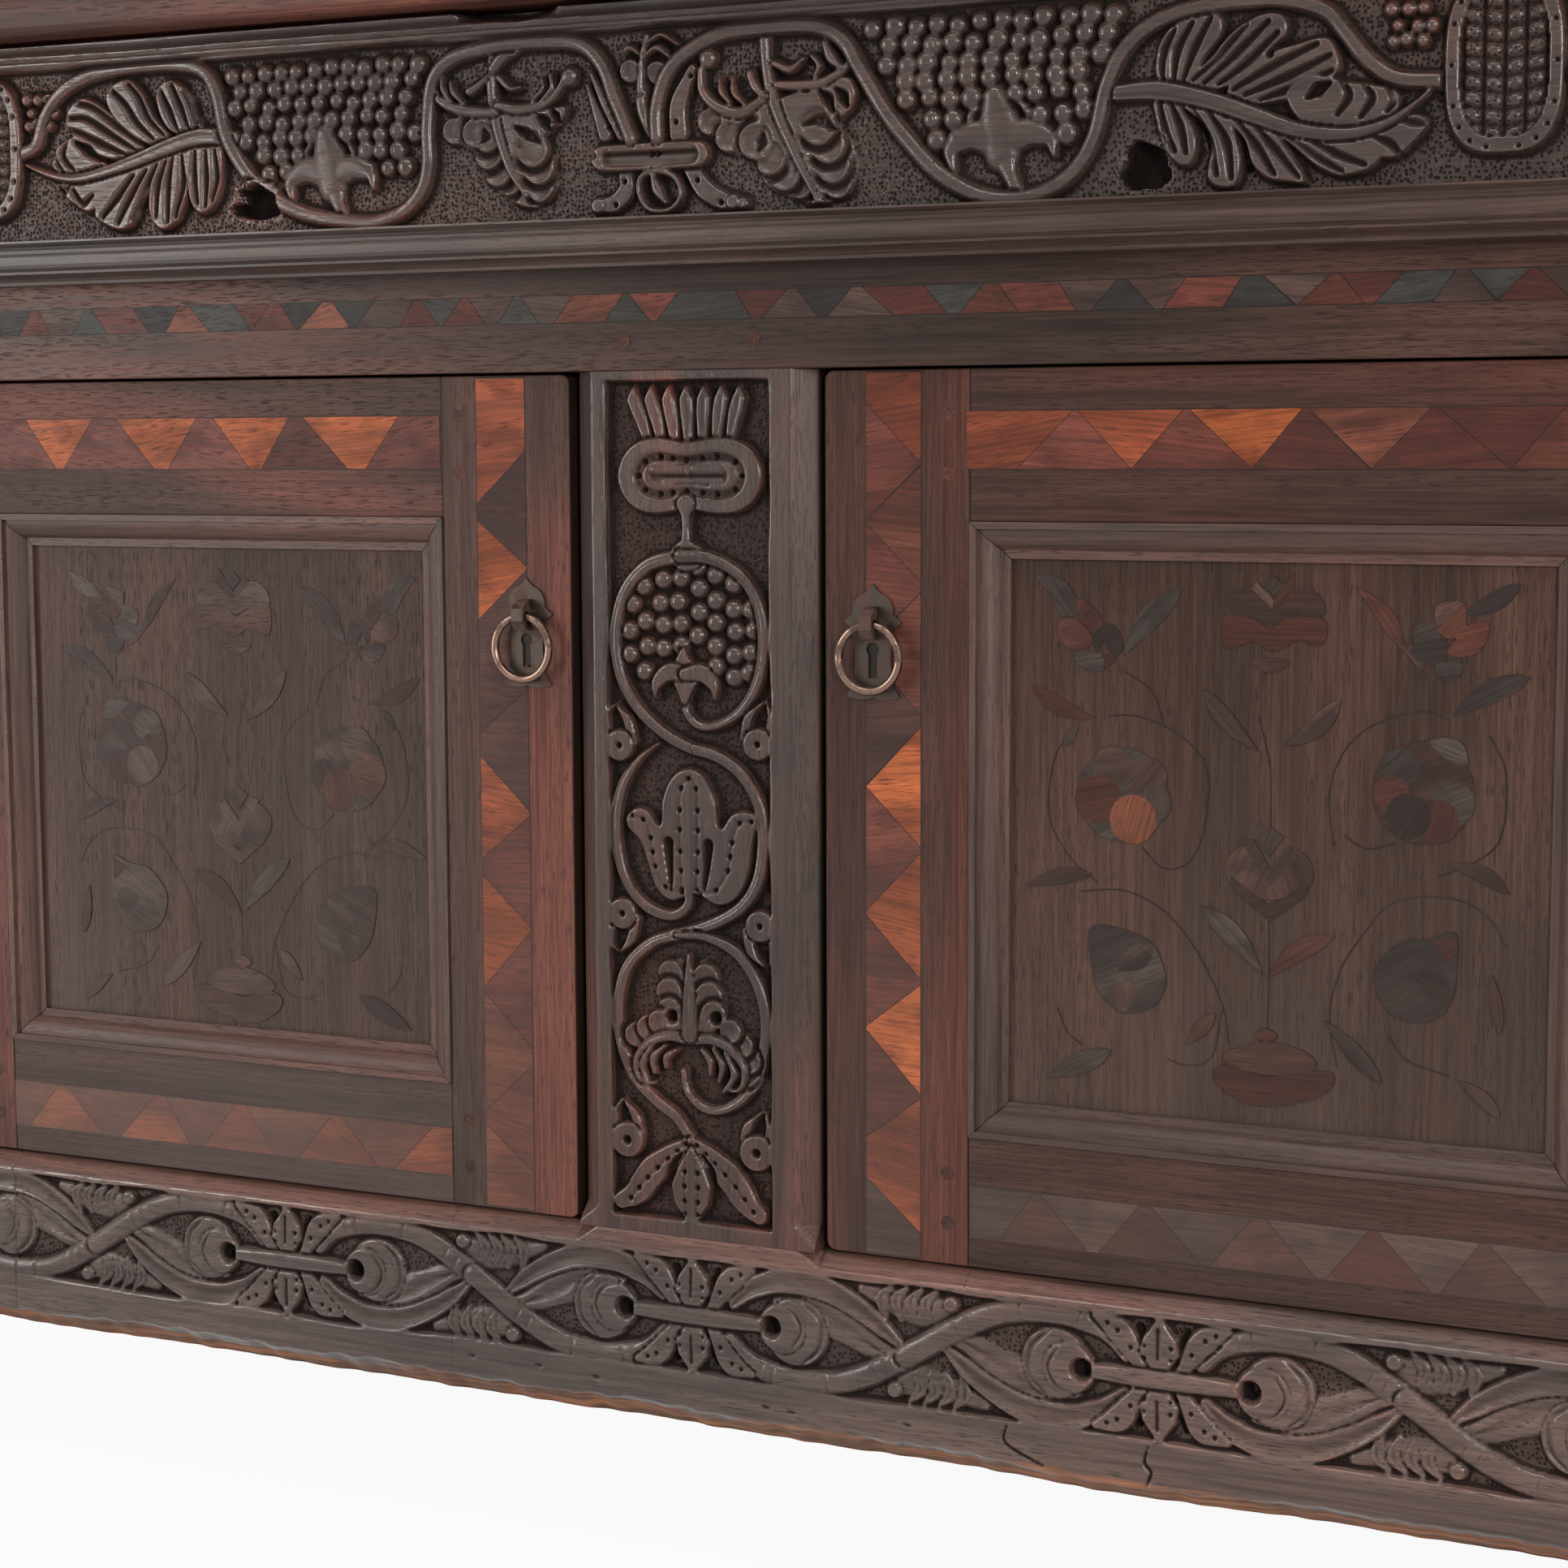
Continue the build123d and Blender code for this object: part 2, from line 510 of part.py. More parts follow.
def pull_ring(side, name):
    """The round bar ring, hanging straight down from the staple's eye."""
    eye_y, eye_z = RING_EYE
    with BuildPart() as ring:
        with Locations(Plane((side * PULL_X, eye_y, eye_z - RING_R), x_dir=(1, 0, 0), z_dir=(0, -1, 0))):
            Torus(RING_R, RING_TUBE_R)
    finish(ring, name)


def lock_case(side, name):
    """The box of the iron lock on the back of the lock stile, open at the edge for its bolt."""
    back = DOOR_Y[1]
    slot_y = (back + 4.3, back + 4.3 + BOLT_T + 2 * BOLT_PLAY)
    with BuildPart() as case:
        block(sided(side, *LOCK_X), (back, back + LOCK_T), LOCK_Z)
        block(sided(side, LOCK_X[0] - 1, LOCK_X[1] - 3), slot_y,
              (BOLT_Z - BOLT_H / 2 - BOLT_PLAY, BOLT_Z + BOLT_H / 2 + BOLT_PLAY), Mode.SUBTRACT)
        keyhole(side, (back - 1, back + LOCK_T - 2))
    finish(case, name)


def lock_bolt(side, name):
    """The square bolt, shown drawn back; it slides out behind the muntin to lock the door."""
    back = DOOR_Y[1]
    y = (back + 4.3 + BOLT_PLAY, back + 4.3 + BOLT_PLAY + BOLT_T)
    with BuildPart() as bolt:
        block(sided(side, *BOLT_X), y, (BOLT_Z - BOLT_H / 2, BOLT_Z + BOLT_H / 2))
    finish(bolt, name)


for side, hand in ((-1, "left"), (1, "right")):
    door_stile(side, (DOOR_INNER, STILE_INNER), f"door_{hand}_lock_stile")
    door_stile(side, (STILE_OUTER, DOOR_OUTER), f"door_{hand}_hinge_stile")
    for rail in DOOR_RAILS:
        door_rail(side, rail, f"door_{hand}_{rail}")
    with BuildPart() as panel:
        block(sided(side, *PANEL_BOX[0]), PANEL_BOX[1], PANEL_BOX[2])
    finish(panel, f"door_{hand}_panel")
    door_moulding(side, f"door_{hand}_moulding")
    with BuildPart() as pegs:
        door_pegs(side, 0.0, Mode.ADD)
    finish(pegs, f"door_{hand}_pegs")
    door_leaves(side, f"door_{hand}_hinge_leaves")
    ring_plate(side, f"door_{hand}_ring_plate")
    pull_ring(side, f"door_{hand}_ring")
    lock_case(side, f"door_{hand}_lock_case")
    lock_bolt(side, f"door_{hand}_lock_bolt")

with BuildPart() as carcass_hinge_leaves:
    for side in (-1, 1):
        for z in HINGE_Z:
            edge = HINGE_X + 6.0
            block(sided(side, edge, edge + LEAF_L), (FRONT - LEAF_T, FRONT),
                  (z - HINGE_H / 2, z + HINGE_H / 2))
            for span in ((z - HINGE_H / 2, z - HINGE_MID), (z + HINGE_MID, z + HINGE_H / 2)):
                hinge_bar(side, [(edge + 1, FRONT), (edge + 1, FRONT - LEAF_T), (HINGE_X + 3, HINGE_Y),
                                 (HINGE_X, HINGE_Y + 4.3), (HINGE_X + 1.6, FRONT)], span)
                hinge_knuckle(side, span)
            hinge_bore(side, z)
            upright_rod((side * HINGE_X, HINGE_Y), HINGE_PIN_R, (z - HINGE_H / 2 - 3, z + HINGE_H / 2 + 3))
finish(carcass_hinge_leaves, "carcass_hinge_leaves")

# ---- upper stage: framing ----------------------------------------------------------------------------
UPPER_BASE = LEDGE_Z[1]
UPPER_FRONT_POST_Y = (UPPER_FRONT, UPPER_FRONT + UPPER_POST_D)
UPPER_BACK_POST_Y = (BACK - UPPER_POST_D, BACK)
UPPER_RAIL_Y = (UPPER_FRONT, UPPER_FRONT + UPPER_RAIL_T)
UPPER_BACK_RAIL_Y = (BACK - BACK_BOARD_T - 20.0, BACK - BACK_BOARD_T)
UPPER_RAILS = ((UPPER_BASE, UPPER_LOW), (UPPER_HIGH, CORNICE_Z[1]))
UPPER_TENON_Y = (UPPER_FRONT + 10.0, UPPER_FRONT + 20.0)
UPPER_TENON = 34.0
UPPER_SHOULDER = 10.0
UPPER_MUNTIN_TENON = (UPPER_MUNTIN[0] + UPPER_SHOULDER, UPPER_MUNTIN[1] - UPPER_SHOULDER)
MUNTIN_STUB = 20.0
UPPER_SIDE_RAIL = (640.0, 668.0)
UPPER_PANEL_X = (649.0, 659.0)
UPPER_SIDE_Z = ((UPPER_BASE, UPPER_LOW), (1480.0, CORNICE_Z[1]))
UPPER_PANEL_Y = (UPPER_FRONT_POST_Y[1] - TONGUE, UPPER_BACK_POST_Y[0] + TONGUE)
UPPER_PANEL_Z = (UPPER_LOW - TONGUE, UPPER_SIDE_Z[1][0] + TONGUE)
CENTRE_PANEL = ((-UPPER_MUNTIN[0] - TONGUE, UPPER_MUNTIN[0] + TONGUE),
                (UPPER_FRONT + 12.0, UPPER_FRONT + 22.0), (UPPER_LOW - TONGUE, UPPER_HIGH + TONGUE))
PIVOT_X = UPPER_OPEN - 2.0 - UPPER_DOOR_T / 2
PIVOT_Y = UPPER_FRONT + UPPER_DOOR_SET + UPPER_DOOR_T / 2
UPPER_DOOR_Z = (UPPER_LOW + 1.5, UPPER_HIGH - 1.5)


def pivot_rods(radius, mode):
    """The four upright iron pivots of the upper doors, or the holes bored for them."""
    for side in (-1, 1):
        for z in (UPPER_LOW, UPPER_HIGH):
            upright_rod((side * PIVOT_X, PIVOT_Y), radius, (z - PIVOT_L / 2, z + PIVOT_L / 2), mode)


with BuildPart() as upper_posts:
    for side in (-1, 1):
        for y in (UPPER_FRONT_POST_Y, UPPER_BACK_POST_Y):
            block(sided(side, UPPER_OPEN, UPPER_HALF), y, (UPPER_BASE, CORNICE_Z[1]))
        for z in UPPER_RAILS:
            block(sided(side, UPPER_OPEN, UPPER_OPEN + UPPER_TENON), UPPER_TENON_Y,
                  (z[0] + UPPER_SHOULDER, z[1] - UPPER_SHOULDER), Mode.SUBTRACT)
        block(sided(side, *UPPER_PANEL_X), UPPER_PANEL_Y, UPPER_PANEL_Z, Mode.SUBTRACT)
finish(upper_posts, "upper_posts")

with BuildPart() as upper_rails:
    for z in UPPER_RAILS:
        block((-UPPER_OPEN, UPPER_OPEN), UPPER_RAIL_Y, z)
        block((-UPPER_OPEN - UPPER_TENON, UPPER_OPEN + UPPER_TENON), UPPER_TENON_Y,
              (z[0] + UPPER_SHOULDER, z[1] - UPPER_SHOULDER))
        block((-UPPER_OPEN, UPPER_OPEN), UPPER_BACK_RAIL_Y, z)
    for side in (-1, 1):
        for z in UPPER_SIDE_Z:
            block(sided(side, *UPPER_SIDE_RAIL), (UPPER_FRONT_POST_Y[1], UPPER_BACK_POST_Y[0]), z)
        block(sided(side, *UPPER_PANEL_X), UPPER_PANEL_Y, UPPER_PANEL_Z, Mode.SUBTRACT)
        for z in (UPPER_LOW - MUNTIN_STUB, UPPER_HIGH):
            block(sided(side, *UPPER_MUNTIN_TENON), UPPER_TENON_Y, (z, z + MUNTIN_STUB), Mode.SUBTRACT)
    block(*CENTRE_PANEL, Mode.SUBTRACT)
    pivot_rods(PIVOT_R + FIT, Mode.SUBTRACT)
finish(upper_rails, "upper_rails")

with BuildPart() as upper_muntins:
    for side in (-1, 1):
        block(sided(side, *UPPER_MUNTIN), UPPER_RAIL_Y, (UPPER_LOW, UPPER_HIGH))
        block(sided(side, *UPPER_MUNTIN_TENON), UPPER_TENON_Y,
              (UPPER_LOW - MUNTIN_STUB, UPPER_HIGH + MUNTIN_STUB))
    block(*CENTRE_PANEL, Mode.SUBTRACT)
finish(upper_muntins, "upper_muntins")

with BuildPart() as upper_centre_panel:
    block(*CENTRE_PANEL)
finish(upper_centre_panel, "upper_centre_panel")

with BuildPart() as upper_side_panels:
    for side in (-1, 1):
        block(sided(side, *UPPER_PANEL_X), UPPER_PANEL_Y, UPPER_PANEL_Z)
finish(upper_side_panels, "upper_side_panels")

with BuildPart() as upper_back_boards:
    for number in range(BACK_BOARDS):
        x = -UPPER_OPEN + number * board_w
        block((x, x + board_w - BOARD_GAP), (BACK - BACK_BOARD_T, BACK), (UPPER_BASE, CORNICE_Z[1]))
finish(upper_back_boards, "upper_back_boards")

with BuildPart() as upper_pivot_pins:
    pivot_rods(PIVOT_R, Mode.ADD)
finish(upper_pivot_pins, "upper_pivot_pins")

# ---- upper stage: columns and cornice ----------------------------------------------------------------
COLUMN_Z = (UPPER_BASE, CORNICE_Z[0])
COLUMN_FOOT = 46.0
COLUMN_CAP = 34.0
with BuildPart() as turned_columns:
    low, high = COLUMN_Z[0] + COLUMN_FOOT, COLUMN_Z[1] - COLUMN_CAP
    for side in (-1, 1):
        x = side * COLUMN_X
        for z in ((COLUMN_Z[0], low), (high, COLUMN_Z[1])):
            block((x - COLUMN_BLOCK / 2, x + COLUMN_BLOCK / 2),
                  (COLUMN_Y - COLUMN_BLOCK / 2, COLUMN_Y + COLUMN_BLOCK / 2), z)
        with BuildSketch(Plane((x, COLUMN_Y, 0), x_dir=(1, 0, 0), z_dir=(0, -1, 0))):
            with BuildLine():
                foot = Polyline((0, low - 1), (20, low - 1), (20, low + 4))
                ring = ThreePointArc(foot @ 1, (25, low + 10), (20, low + 16))
                neck = Polyline(ring @ 1, (15, low + 18), (14, low + 26))
                bulb = ThreePointArc(neck @ 1, (26, low + 84), (16, low + 146))
                waist = Polyline(bulb @ 1, (13, low + 156), (18, low + 160))
                bead = ThreePointArc(waist @ 1, (22.5, low + 167), (18, low + 174))
                stem = Polyline(bead @ 1, (14.5, low + 178))
                shaft = ThreePointArc(stem @ 1, (17.5, low + 260), (13.5, high - 40))
                Polyline(shaft @ 1, (19, high - 36), (19, high - 30), (16, high - 27), (23, high - 8),
                         (25, high - 4), (25, high + 1), (0, high + 1), (0, low - 1))
            make_face()
        revolve(axis=Axis((x, COLUMN_Y, 0), (0, 0, 1)))
finish(turned_columns, "turned_columns")

with BuildPart() as cornice_frieze:
    block((-HALF_WIDTH, HALF_WIDTH), (FRONT, FRONT + CORNICE_T), CORNICE_Z)
    for side in (-1, 1):
        block(sided(side, UPPER_HALF, HALF_WIDTH), (FRONT + CORNICE_T + FRAME_JOINT, BACK), CORNICE_Z)
finish(cornice_frieze, "cornice_frieze")

with BuildPart() as cornice_soffit:
    block((-UPPER_HALF, UPPER_HALF), (FRONT + CORNICE_T, UPPER_FRONT),
          (CORNICE_Z[0], CORNICE_Z[0] + SOFFIT_T))
finish(cornice_soffit, "cornice_soffit")

CORNICE_FRONT = FRONT - 18.0
with BuildPart() as cornice_boards:
    block((-LEDGE_HALF, LEDGE_HALF), (CORNICE_FRONT, LEDGE_SPLIT), (CORNICE_Z[1], CORNICE_TOP))
    fillet(cornice_boards.edges().filter_by(Axis.X).group_by(Axis.Y)[0], radius=5.0)
    block((-LEDGE_HALF, LEDGE_HALF), (LEDGE_SPLIT + BOARD_GAP, BACK), (CORNICE_Z[1], CORNICE_TOP))
finish(cornice_boards, "cornice_boards")

CORNICE_MOULD_H = 26.0
CORNICE_MOULD_OUT = 14.0
MITRE_CUT = 40.0            # reach of the block that cuts each mitre
with BuildPart() as cornice_moulding:
    top = CORNICE_Z[1]
    section = [(0, -CORNICE_MOULD_H), (3, -CORNICE_MOULD_H), (3, -21), (6, -19), (7, -12), (12, -6),
               (CORNICE_MOULD_OUT, -4), (CORNICE_MOULD_OUT, 0), (0, 0)]
    prism_x([(FRONT - out, top + up) for out, up in section],
            (-HALF_WIDTH - CORNICE_MOULD_OUT, HALF_WIDTH + CORNICE_MOULD_OUT))
    for side in (-1, 1):
        corner = side * HALF_WIDTH
        past = corner + side * MITRE_CUT
        prism_z([(corner, FRONT), (past, FRONT - MITRE_CUT), (past, FRONT)],
                (top - MITRE_CUT, top + 1), Mode.SUBTRACT)
    for side in (-1, 1):
        with BuildSketch(Plane((side * HALF_WIDTH, FRONT, 0), x_dir=(side, 0, 0), z_dir=(0, -side, 0))):
            with BuildLine():
                Polyline(*[(out, top + up) for out, up in section], close=True)
            make_face()
        extrude(amount=side * (FRONT - BACK))
finish(cornice_moulding, "cornice_moulding")


# ---- upper doors -------------------------------------------------------------------------------------
UPPER_DOOR_Y = (UPPER_FRONT + UPPER_DOOR_SET, UPPER_FRONT + UPPER_DOOR_SET + UPPER_DOOR_T)
UPPER_DOOR_X = (UPPER_MUNTIN[1] + 2.0, UPPER_OPEN - 2.0)
KNOB_X = UPPER_DOOR_X[0] + UPPER_DOOR_FRAME / 2
KNOB_Z = (UPPER_LOW + UPPER_HIGH) / 2
SHANK_R = 5.0
UPPER_FIELD = ((UPPER_DOOR_X[0] + UPPER_DOOR_FRAME, UPPER_DOOR_X[1] - UPPER_DOOR_FRAME),
               (UPPER_DOOR_Z[0] + UPPER_DOOR_FRAME, UPPER_DOOR_Z[1] - UPPER_DOOR_FRAME))
UPPER_DOOR_PANEL = ((UPPER_FIELD[0][0] - TONGUE, UPPER_FIELD[0][1] + TONGUE),
                    (UPPER_DOOR_Y[0] + 9.0, UPPER_DOOR_Y[0] + 17.0),
                    (UPPER_FIELD[1][0] - TONGUE, UPPER_FIELD[1][1] + TONGUE))


def upper_door_frame(side, name):
    """Two stiles and two rails; the outer stile is rounded over, so that it turns clear of the post."""
    inner, outer = UPPER_DOOR_X
    with BuildPart() as frame:
        block(sided(side, UPPER_FIELD[0][1], outer), UPPER_DOOR_Y, UPPER_DOOR_Z)
        turning = frame.edges().filter_by(Axis.Z).group_by(Axis.X)[-1 if side > 0 else 0]
        fillet(turning, radius=UPPER_DOOR_T / 2 - 0.1)
        block(sided(side, inner, UPPER_FIELD[0][0]), UPPER_DOOR_Y, UPPER_DOOR_Z)
        for z in ((UPPER_DOOR_Z[0], UPPER_FIELD[1][0]), (UPPER_FIELD[1][1], UPPER_DOOR_Z[1])):
            block(sided(side, UPPER_FIELD[0][0] + FRAME_JOINT, UPPER_FIELD[0][1] - FRAME_JOINT),
                  UPPER_DOOR_Y, z)
        block(sided(side, *UPPER_DOOR_PANEL[0]), UPPER_DOOR_PANEL[1], UPPER_DOOR_PANEL[2], Mode.SUBTRACT)
        pivot_rods(PIVOT_R + FIT, Mode.SUBTRACT)
        round_bar((side * KNOB_X, KNOB_Z), SHANK_R, UPPER_DOOR_Y, Mode.SUBTRACT)
    finish(frame, name)


def upper_door_knob(side, name):
    """A small turned oak knob, its shank glued through the stile."""
    front = UPPER_DOOR_Y[0]
    with BuildPart() as knob:
        with BuildSketch(Plane((side * KNOB_X, front, KNOB_Z), x_dir=(1, 0, 0), z_dir=(0, 0, 1))):
            with BuildLine():
                shank = Polyline((0, UPPER_DOOR_T), (SHANK_R, UPPER_DOOR_T), (SHANK_R, 0), (9, 0),
                                 (9, -2.5), (6, -5))
                head = ThreePointArc(shank @ 1, (13.5, -15), (6, -23))
                Polyline(head @ 1, (0, -24), (0, UPPER_DOOR_T))
            make_face()
        revolve(axis=Axis((side * KNOB_X, front, KNOB_Z), (0, 1, 0)))
    finish(knob, name)


for side, hand in ((-1, "left"), (1, "right")):
    upper_door_frame(side, f"upper_door_{hand}_frame")
    with BuildPart() as panel:
        block(sided(side, *UPPER_DOOR_PANEL[0]), UPPER_DOOR_PANEL[1], UPPER_DOOR_PANEL[2])
    finish(panel, f"upper_door_{hand}_panel")
    upper_door_knob(side, f"upper_door_{hand}_knob")
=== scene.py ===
"""A framed oak court cupboard, dressed piece by piece in the order it is put together.

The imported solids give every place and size. Carved boards, mouldings, inlay, marquetry, turnings and
ironwork are surfaces worked out on grids; lengths on the boards are in mm and become metres in the mesh.
"""
import math

import bpy
import numpy as np
from mathutils import Matrix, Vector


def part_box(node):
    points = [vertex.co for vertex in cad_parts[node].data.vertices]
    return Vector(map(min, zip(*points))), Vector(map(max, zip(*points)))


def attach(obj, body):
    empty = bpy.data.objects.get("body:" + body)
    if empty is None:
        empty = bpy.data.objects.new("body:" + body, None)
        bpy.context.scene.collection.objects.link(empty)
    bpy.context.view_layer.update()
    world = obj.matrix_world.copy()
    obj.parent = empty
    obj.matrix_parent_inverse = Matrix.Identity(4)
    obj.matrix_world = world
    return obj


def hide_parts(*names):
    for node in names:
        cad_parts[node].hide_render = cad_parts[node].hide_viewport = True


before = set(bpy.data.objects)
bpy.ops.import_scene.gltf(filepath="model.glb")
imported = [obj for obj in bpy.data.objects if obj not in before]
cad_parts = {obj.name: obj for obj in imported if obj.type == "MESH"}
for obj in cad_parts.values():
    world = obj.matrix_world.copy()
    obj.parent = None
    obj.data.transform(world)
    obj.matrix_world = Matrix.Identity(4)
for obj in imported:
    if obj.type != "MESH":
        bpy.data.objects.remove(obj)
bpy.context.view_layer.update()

# ---- framing of the lower stage ------------------------------------------------------------------
# Posts, rails and boards of riven oak, pegged together, darkened by wax and smoke to a cool brown,
# with open pores along the grain and a redder tone where hands have rubbed it.
MM = 0.001
WAXED = (0.070, 0.042, 0.035, 1)
RUBBED = (0.140, 0.048, 0.033, 1)
SMOKED = (0.052, 0.034, 0.028, 1)
INNER = (0.136, 0.088, 0.061, 1)       # oak that saw neither light nor wax
BACKING = (0.152, 0.104, 0.072, 1)
# pale dusty colour, which also paints reflection of the pale floor on the lower parts
DUST_AND_FLOOR_LIGHT = (0.170, 0.138, 0.126, 1)
DIRT = (0.013, 0.010, 0.008, 1)
# the colour of open pores, and also of painted shade in hollows
PORE_AND_SHADE = (0.019, 0.014, 0.013, 1)
DUST_LIGHT_TOP, DUST_LIGHT_FOOT = 0.64, 0.27       # heights between which the dusty layer and its painted floor reflection thicken, m
POLISHED_X = (-0.55, 0.4)              # places between which a polish changes, m


def join(tree, value, socket):
    """Link a socket to an input, or set the input to a plain value."""
    if isinstance(value, bpy.types.NodeSocket):
        tree.links.new(value, socket)
    else:
        socket.default_value = value


def node(tree, kind, inputs=None, **settings):
    """A shader node with its settings, its inputs linked or set."""
    made = tree.nodes.new("ShaderNode" + kind)
    for key, value in settings.items():
        setattr(made, key, value)
    for key, value in (inputs or {}).items():
        join(tree, value, made.inputs[key])
    return made


def calc(tree, operation, *values, clamp=False):
    """The result of a Math node on sockets or numbers."""
    made = node(tree, "Math", operation=operation, use_clamp=clamp)
    for socket, value in zip(made.inputs, values):
        join(tree, value, socket)
    return made.outputs[0]


def ramp(tree, value, low, high, to_low=0.0, to_high=1.0):
    """A value carried smoothly from the range low..high to the range to_low..to_high."""
    made = node(tree, "MapRange", {"Value": value, "From Min": low, "From Max": high, "To Min": to_low,
                                   "To Max": to_high}, interpolation_type="SMOOTHSTEP")
    return made.outputs["Result"]


def tint(tree, factor, first, second):
    """Two colours mixed by a factor."""
    made = node(tree, "Mix", data_type="RGBA")
    for index, value in ((0, factor), (6, first), (7, second)):
        join(tree, value, made.inputs[index])
    return made.outputs[2]


def stretched(tree, vector, along, across, detail=2.0, distortion=0.0):
    """Noise drawn out along X: along and across are its features per metre."""
    scaled = node(tree, "VectorMath", {0: vector, 1: (along, across, across)}, operation="MULTIPLY")
    made = node(tree, "TexNoise", {"Vector": scaled.outputs[0], "Scale": 1.0, "Detail": detail,
                                   "Distortion": distortion})
    return made.outputs[0]


def new_group(name, inputs, outputs):
    """An empty shader node group with its sockets, and its input and output nodes."""
    group = bpy.data.node_groups.new(name, "ShaderNodeTree")
    for label, kind, value in inputs:
        socket = group.interface.new_socket(label, in_out="INPUT", socket_type="NodeSocket" + kind)
        socket.default_value = value
    for label, kind in outputs:
        group.interface.new_socket(label, in_out="OUTPUT", socket_type="NodeSocket" + kind)
    return group, group.nodes.new("NodeGroupInput"), group.nodes.new("NodeGroupOutput")


def oak_figure():
    """The figure of old oak, X along the grain: slow tone, growth bands, fibres and open pores. A further
    input paints shade: it darkens the colour towards the pore colour, as the pores are darkened.
    """
    group, given, out = new_group(
        "oak_figure",
        (("Vector", "Vector", (0, 0, 0)), ("Waxed", "Color", WAXED), ("Rubbed", "Color", RUBBED),
         ("Rub", "Float", 0.4), ("Bands", "Float", 1.0), ("Painted shade", "Float", 0.0)),
        (("Color", "Color"), ("Roughness", "Float"), ("Height", "Float")))
    vector = given.outputs["Vector"]
    slow = stretched(group, vector, 2.2, 11.0, 3.0, 0.4)
    growth = stretched(group, vector, 2.5, 75.0, 3.0, 0.5)
    fibre = stretched(group, vector, 16.0, 520.0, 3.0)
    fleck = stretched(group, vector, 85.0, 1250.0, 1.0)
    early = ramp(group, growth, 0.36, 0.60, 0.25, 1.0)
    pores = calc(group, "MULTIPLY", ramp(group, fleck, 0.56, 0.68), early)
    patch = ramp(group, slow, 0.40, 0.62)
    rub = calc(group, "MULTIPLY", given.outputs["Rub"], calc(group, "ADD", patch, 0.25), clamp=True)
    colour = tint(group, rub, given.outputs["Waxed"], given.outputs["Rubbed"])
    bands = calc(group, "MULTIPLY", given.outputs["Bands"], ramp(group, growth, 0.3, 0.7, -0.24, 0.22))
    shade = calc(group, "ADD", ramp(group, fibre, 0.25, 0.75, 0.66, 1.24), bands)
    shade = calc(group, "MULTIPLY", shade, ramp(group, slow, 0.25, 0.75, 0.80, 1.16))
    shaded = node(group, "VectorMath", {0: colour, "Scale": shade}, operation="SCALE").outputs[0]
    # painted shade: the shade input darkens the colour towards the pore colour, as the pores do
    dark = calc(group, "MAXIMUM", calc(group, "MULTIPLY", pores, 0.72), given.outputs["Painted shade"], clamp=True)
    join(group, tint(group, dark, shaded, PORE_AND_SHADE), out.inputs["Color"])
    rough = calc(group, "ADD", ramp(group, fibre, 0.2, 0.8, 0.40, 0.50), calc(group, "MULTIPLY", dark, 0.25))
    join(group, calc(group, "SUBTRACT", rough, calc(group, "MULTIPLY", rub, 0.06)), out.inputs["Roughness"])
    relief = calc(group, "ADD", calc(group, "MULTIPLY", fibre, 0.35), calc(group, "MULTIPLY", growth, 0.5))
    join(group, calc(group, "SUBTRACT", relief, calc(group, "MULTIPLY", pores, 0.8)), out.inputs["Height"])
    return group


OAK_FIGURE = oak_figure()
GRAIN_TURN = {"x": (0, 0, 0), "y": (0, 0, math.radians(90)), "z": (0, math.radians(90), 0)}


def new_material(name):
    """An empty material, its node tree and its Principled shader."""
    material = bpy.data.materials.new(name)
    material.use_nodes = True
    tree = material.node_tree
    return material, tree, tree.nodes["Principled BSDF"]


def coat(tree, shader, colour, rough, gloss, height, strength, distance):
    """Give a shader its colour, roughness and gloss, and a relief of the given depth in mm."""
    bump = node(tree, "Bump", {"Height": height, "Strength": strength, "Distance": distance * MM})
    for key, value in (("Base Color", colour), ("Roughness", rough), ("Normal", bump.outputs[0]),
                       ("Specular IOR Level", gloss)):
        join(tree, value, shader.inputs[key])


def figured(tree, grain, place):
    """Object coordinates turned so that X runs along the grain, and moved to another part of the tree."""
    coordinates = node(tree, "TexCoord").outputs["Object"]
    return node(tree, "Mapping", {"Vector": coordinates, "Rotation": GRAIN_TURN[grain],
                                  "Location": (place * 3.7, place * 1.3, place * 0.7)}).outputs[0]


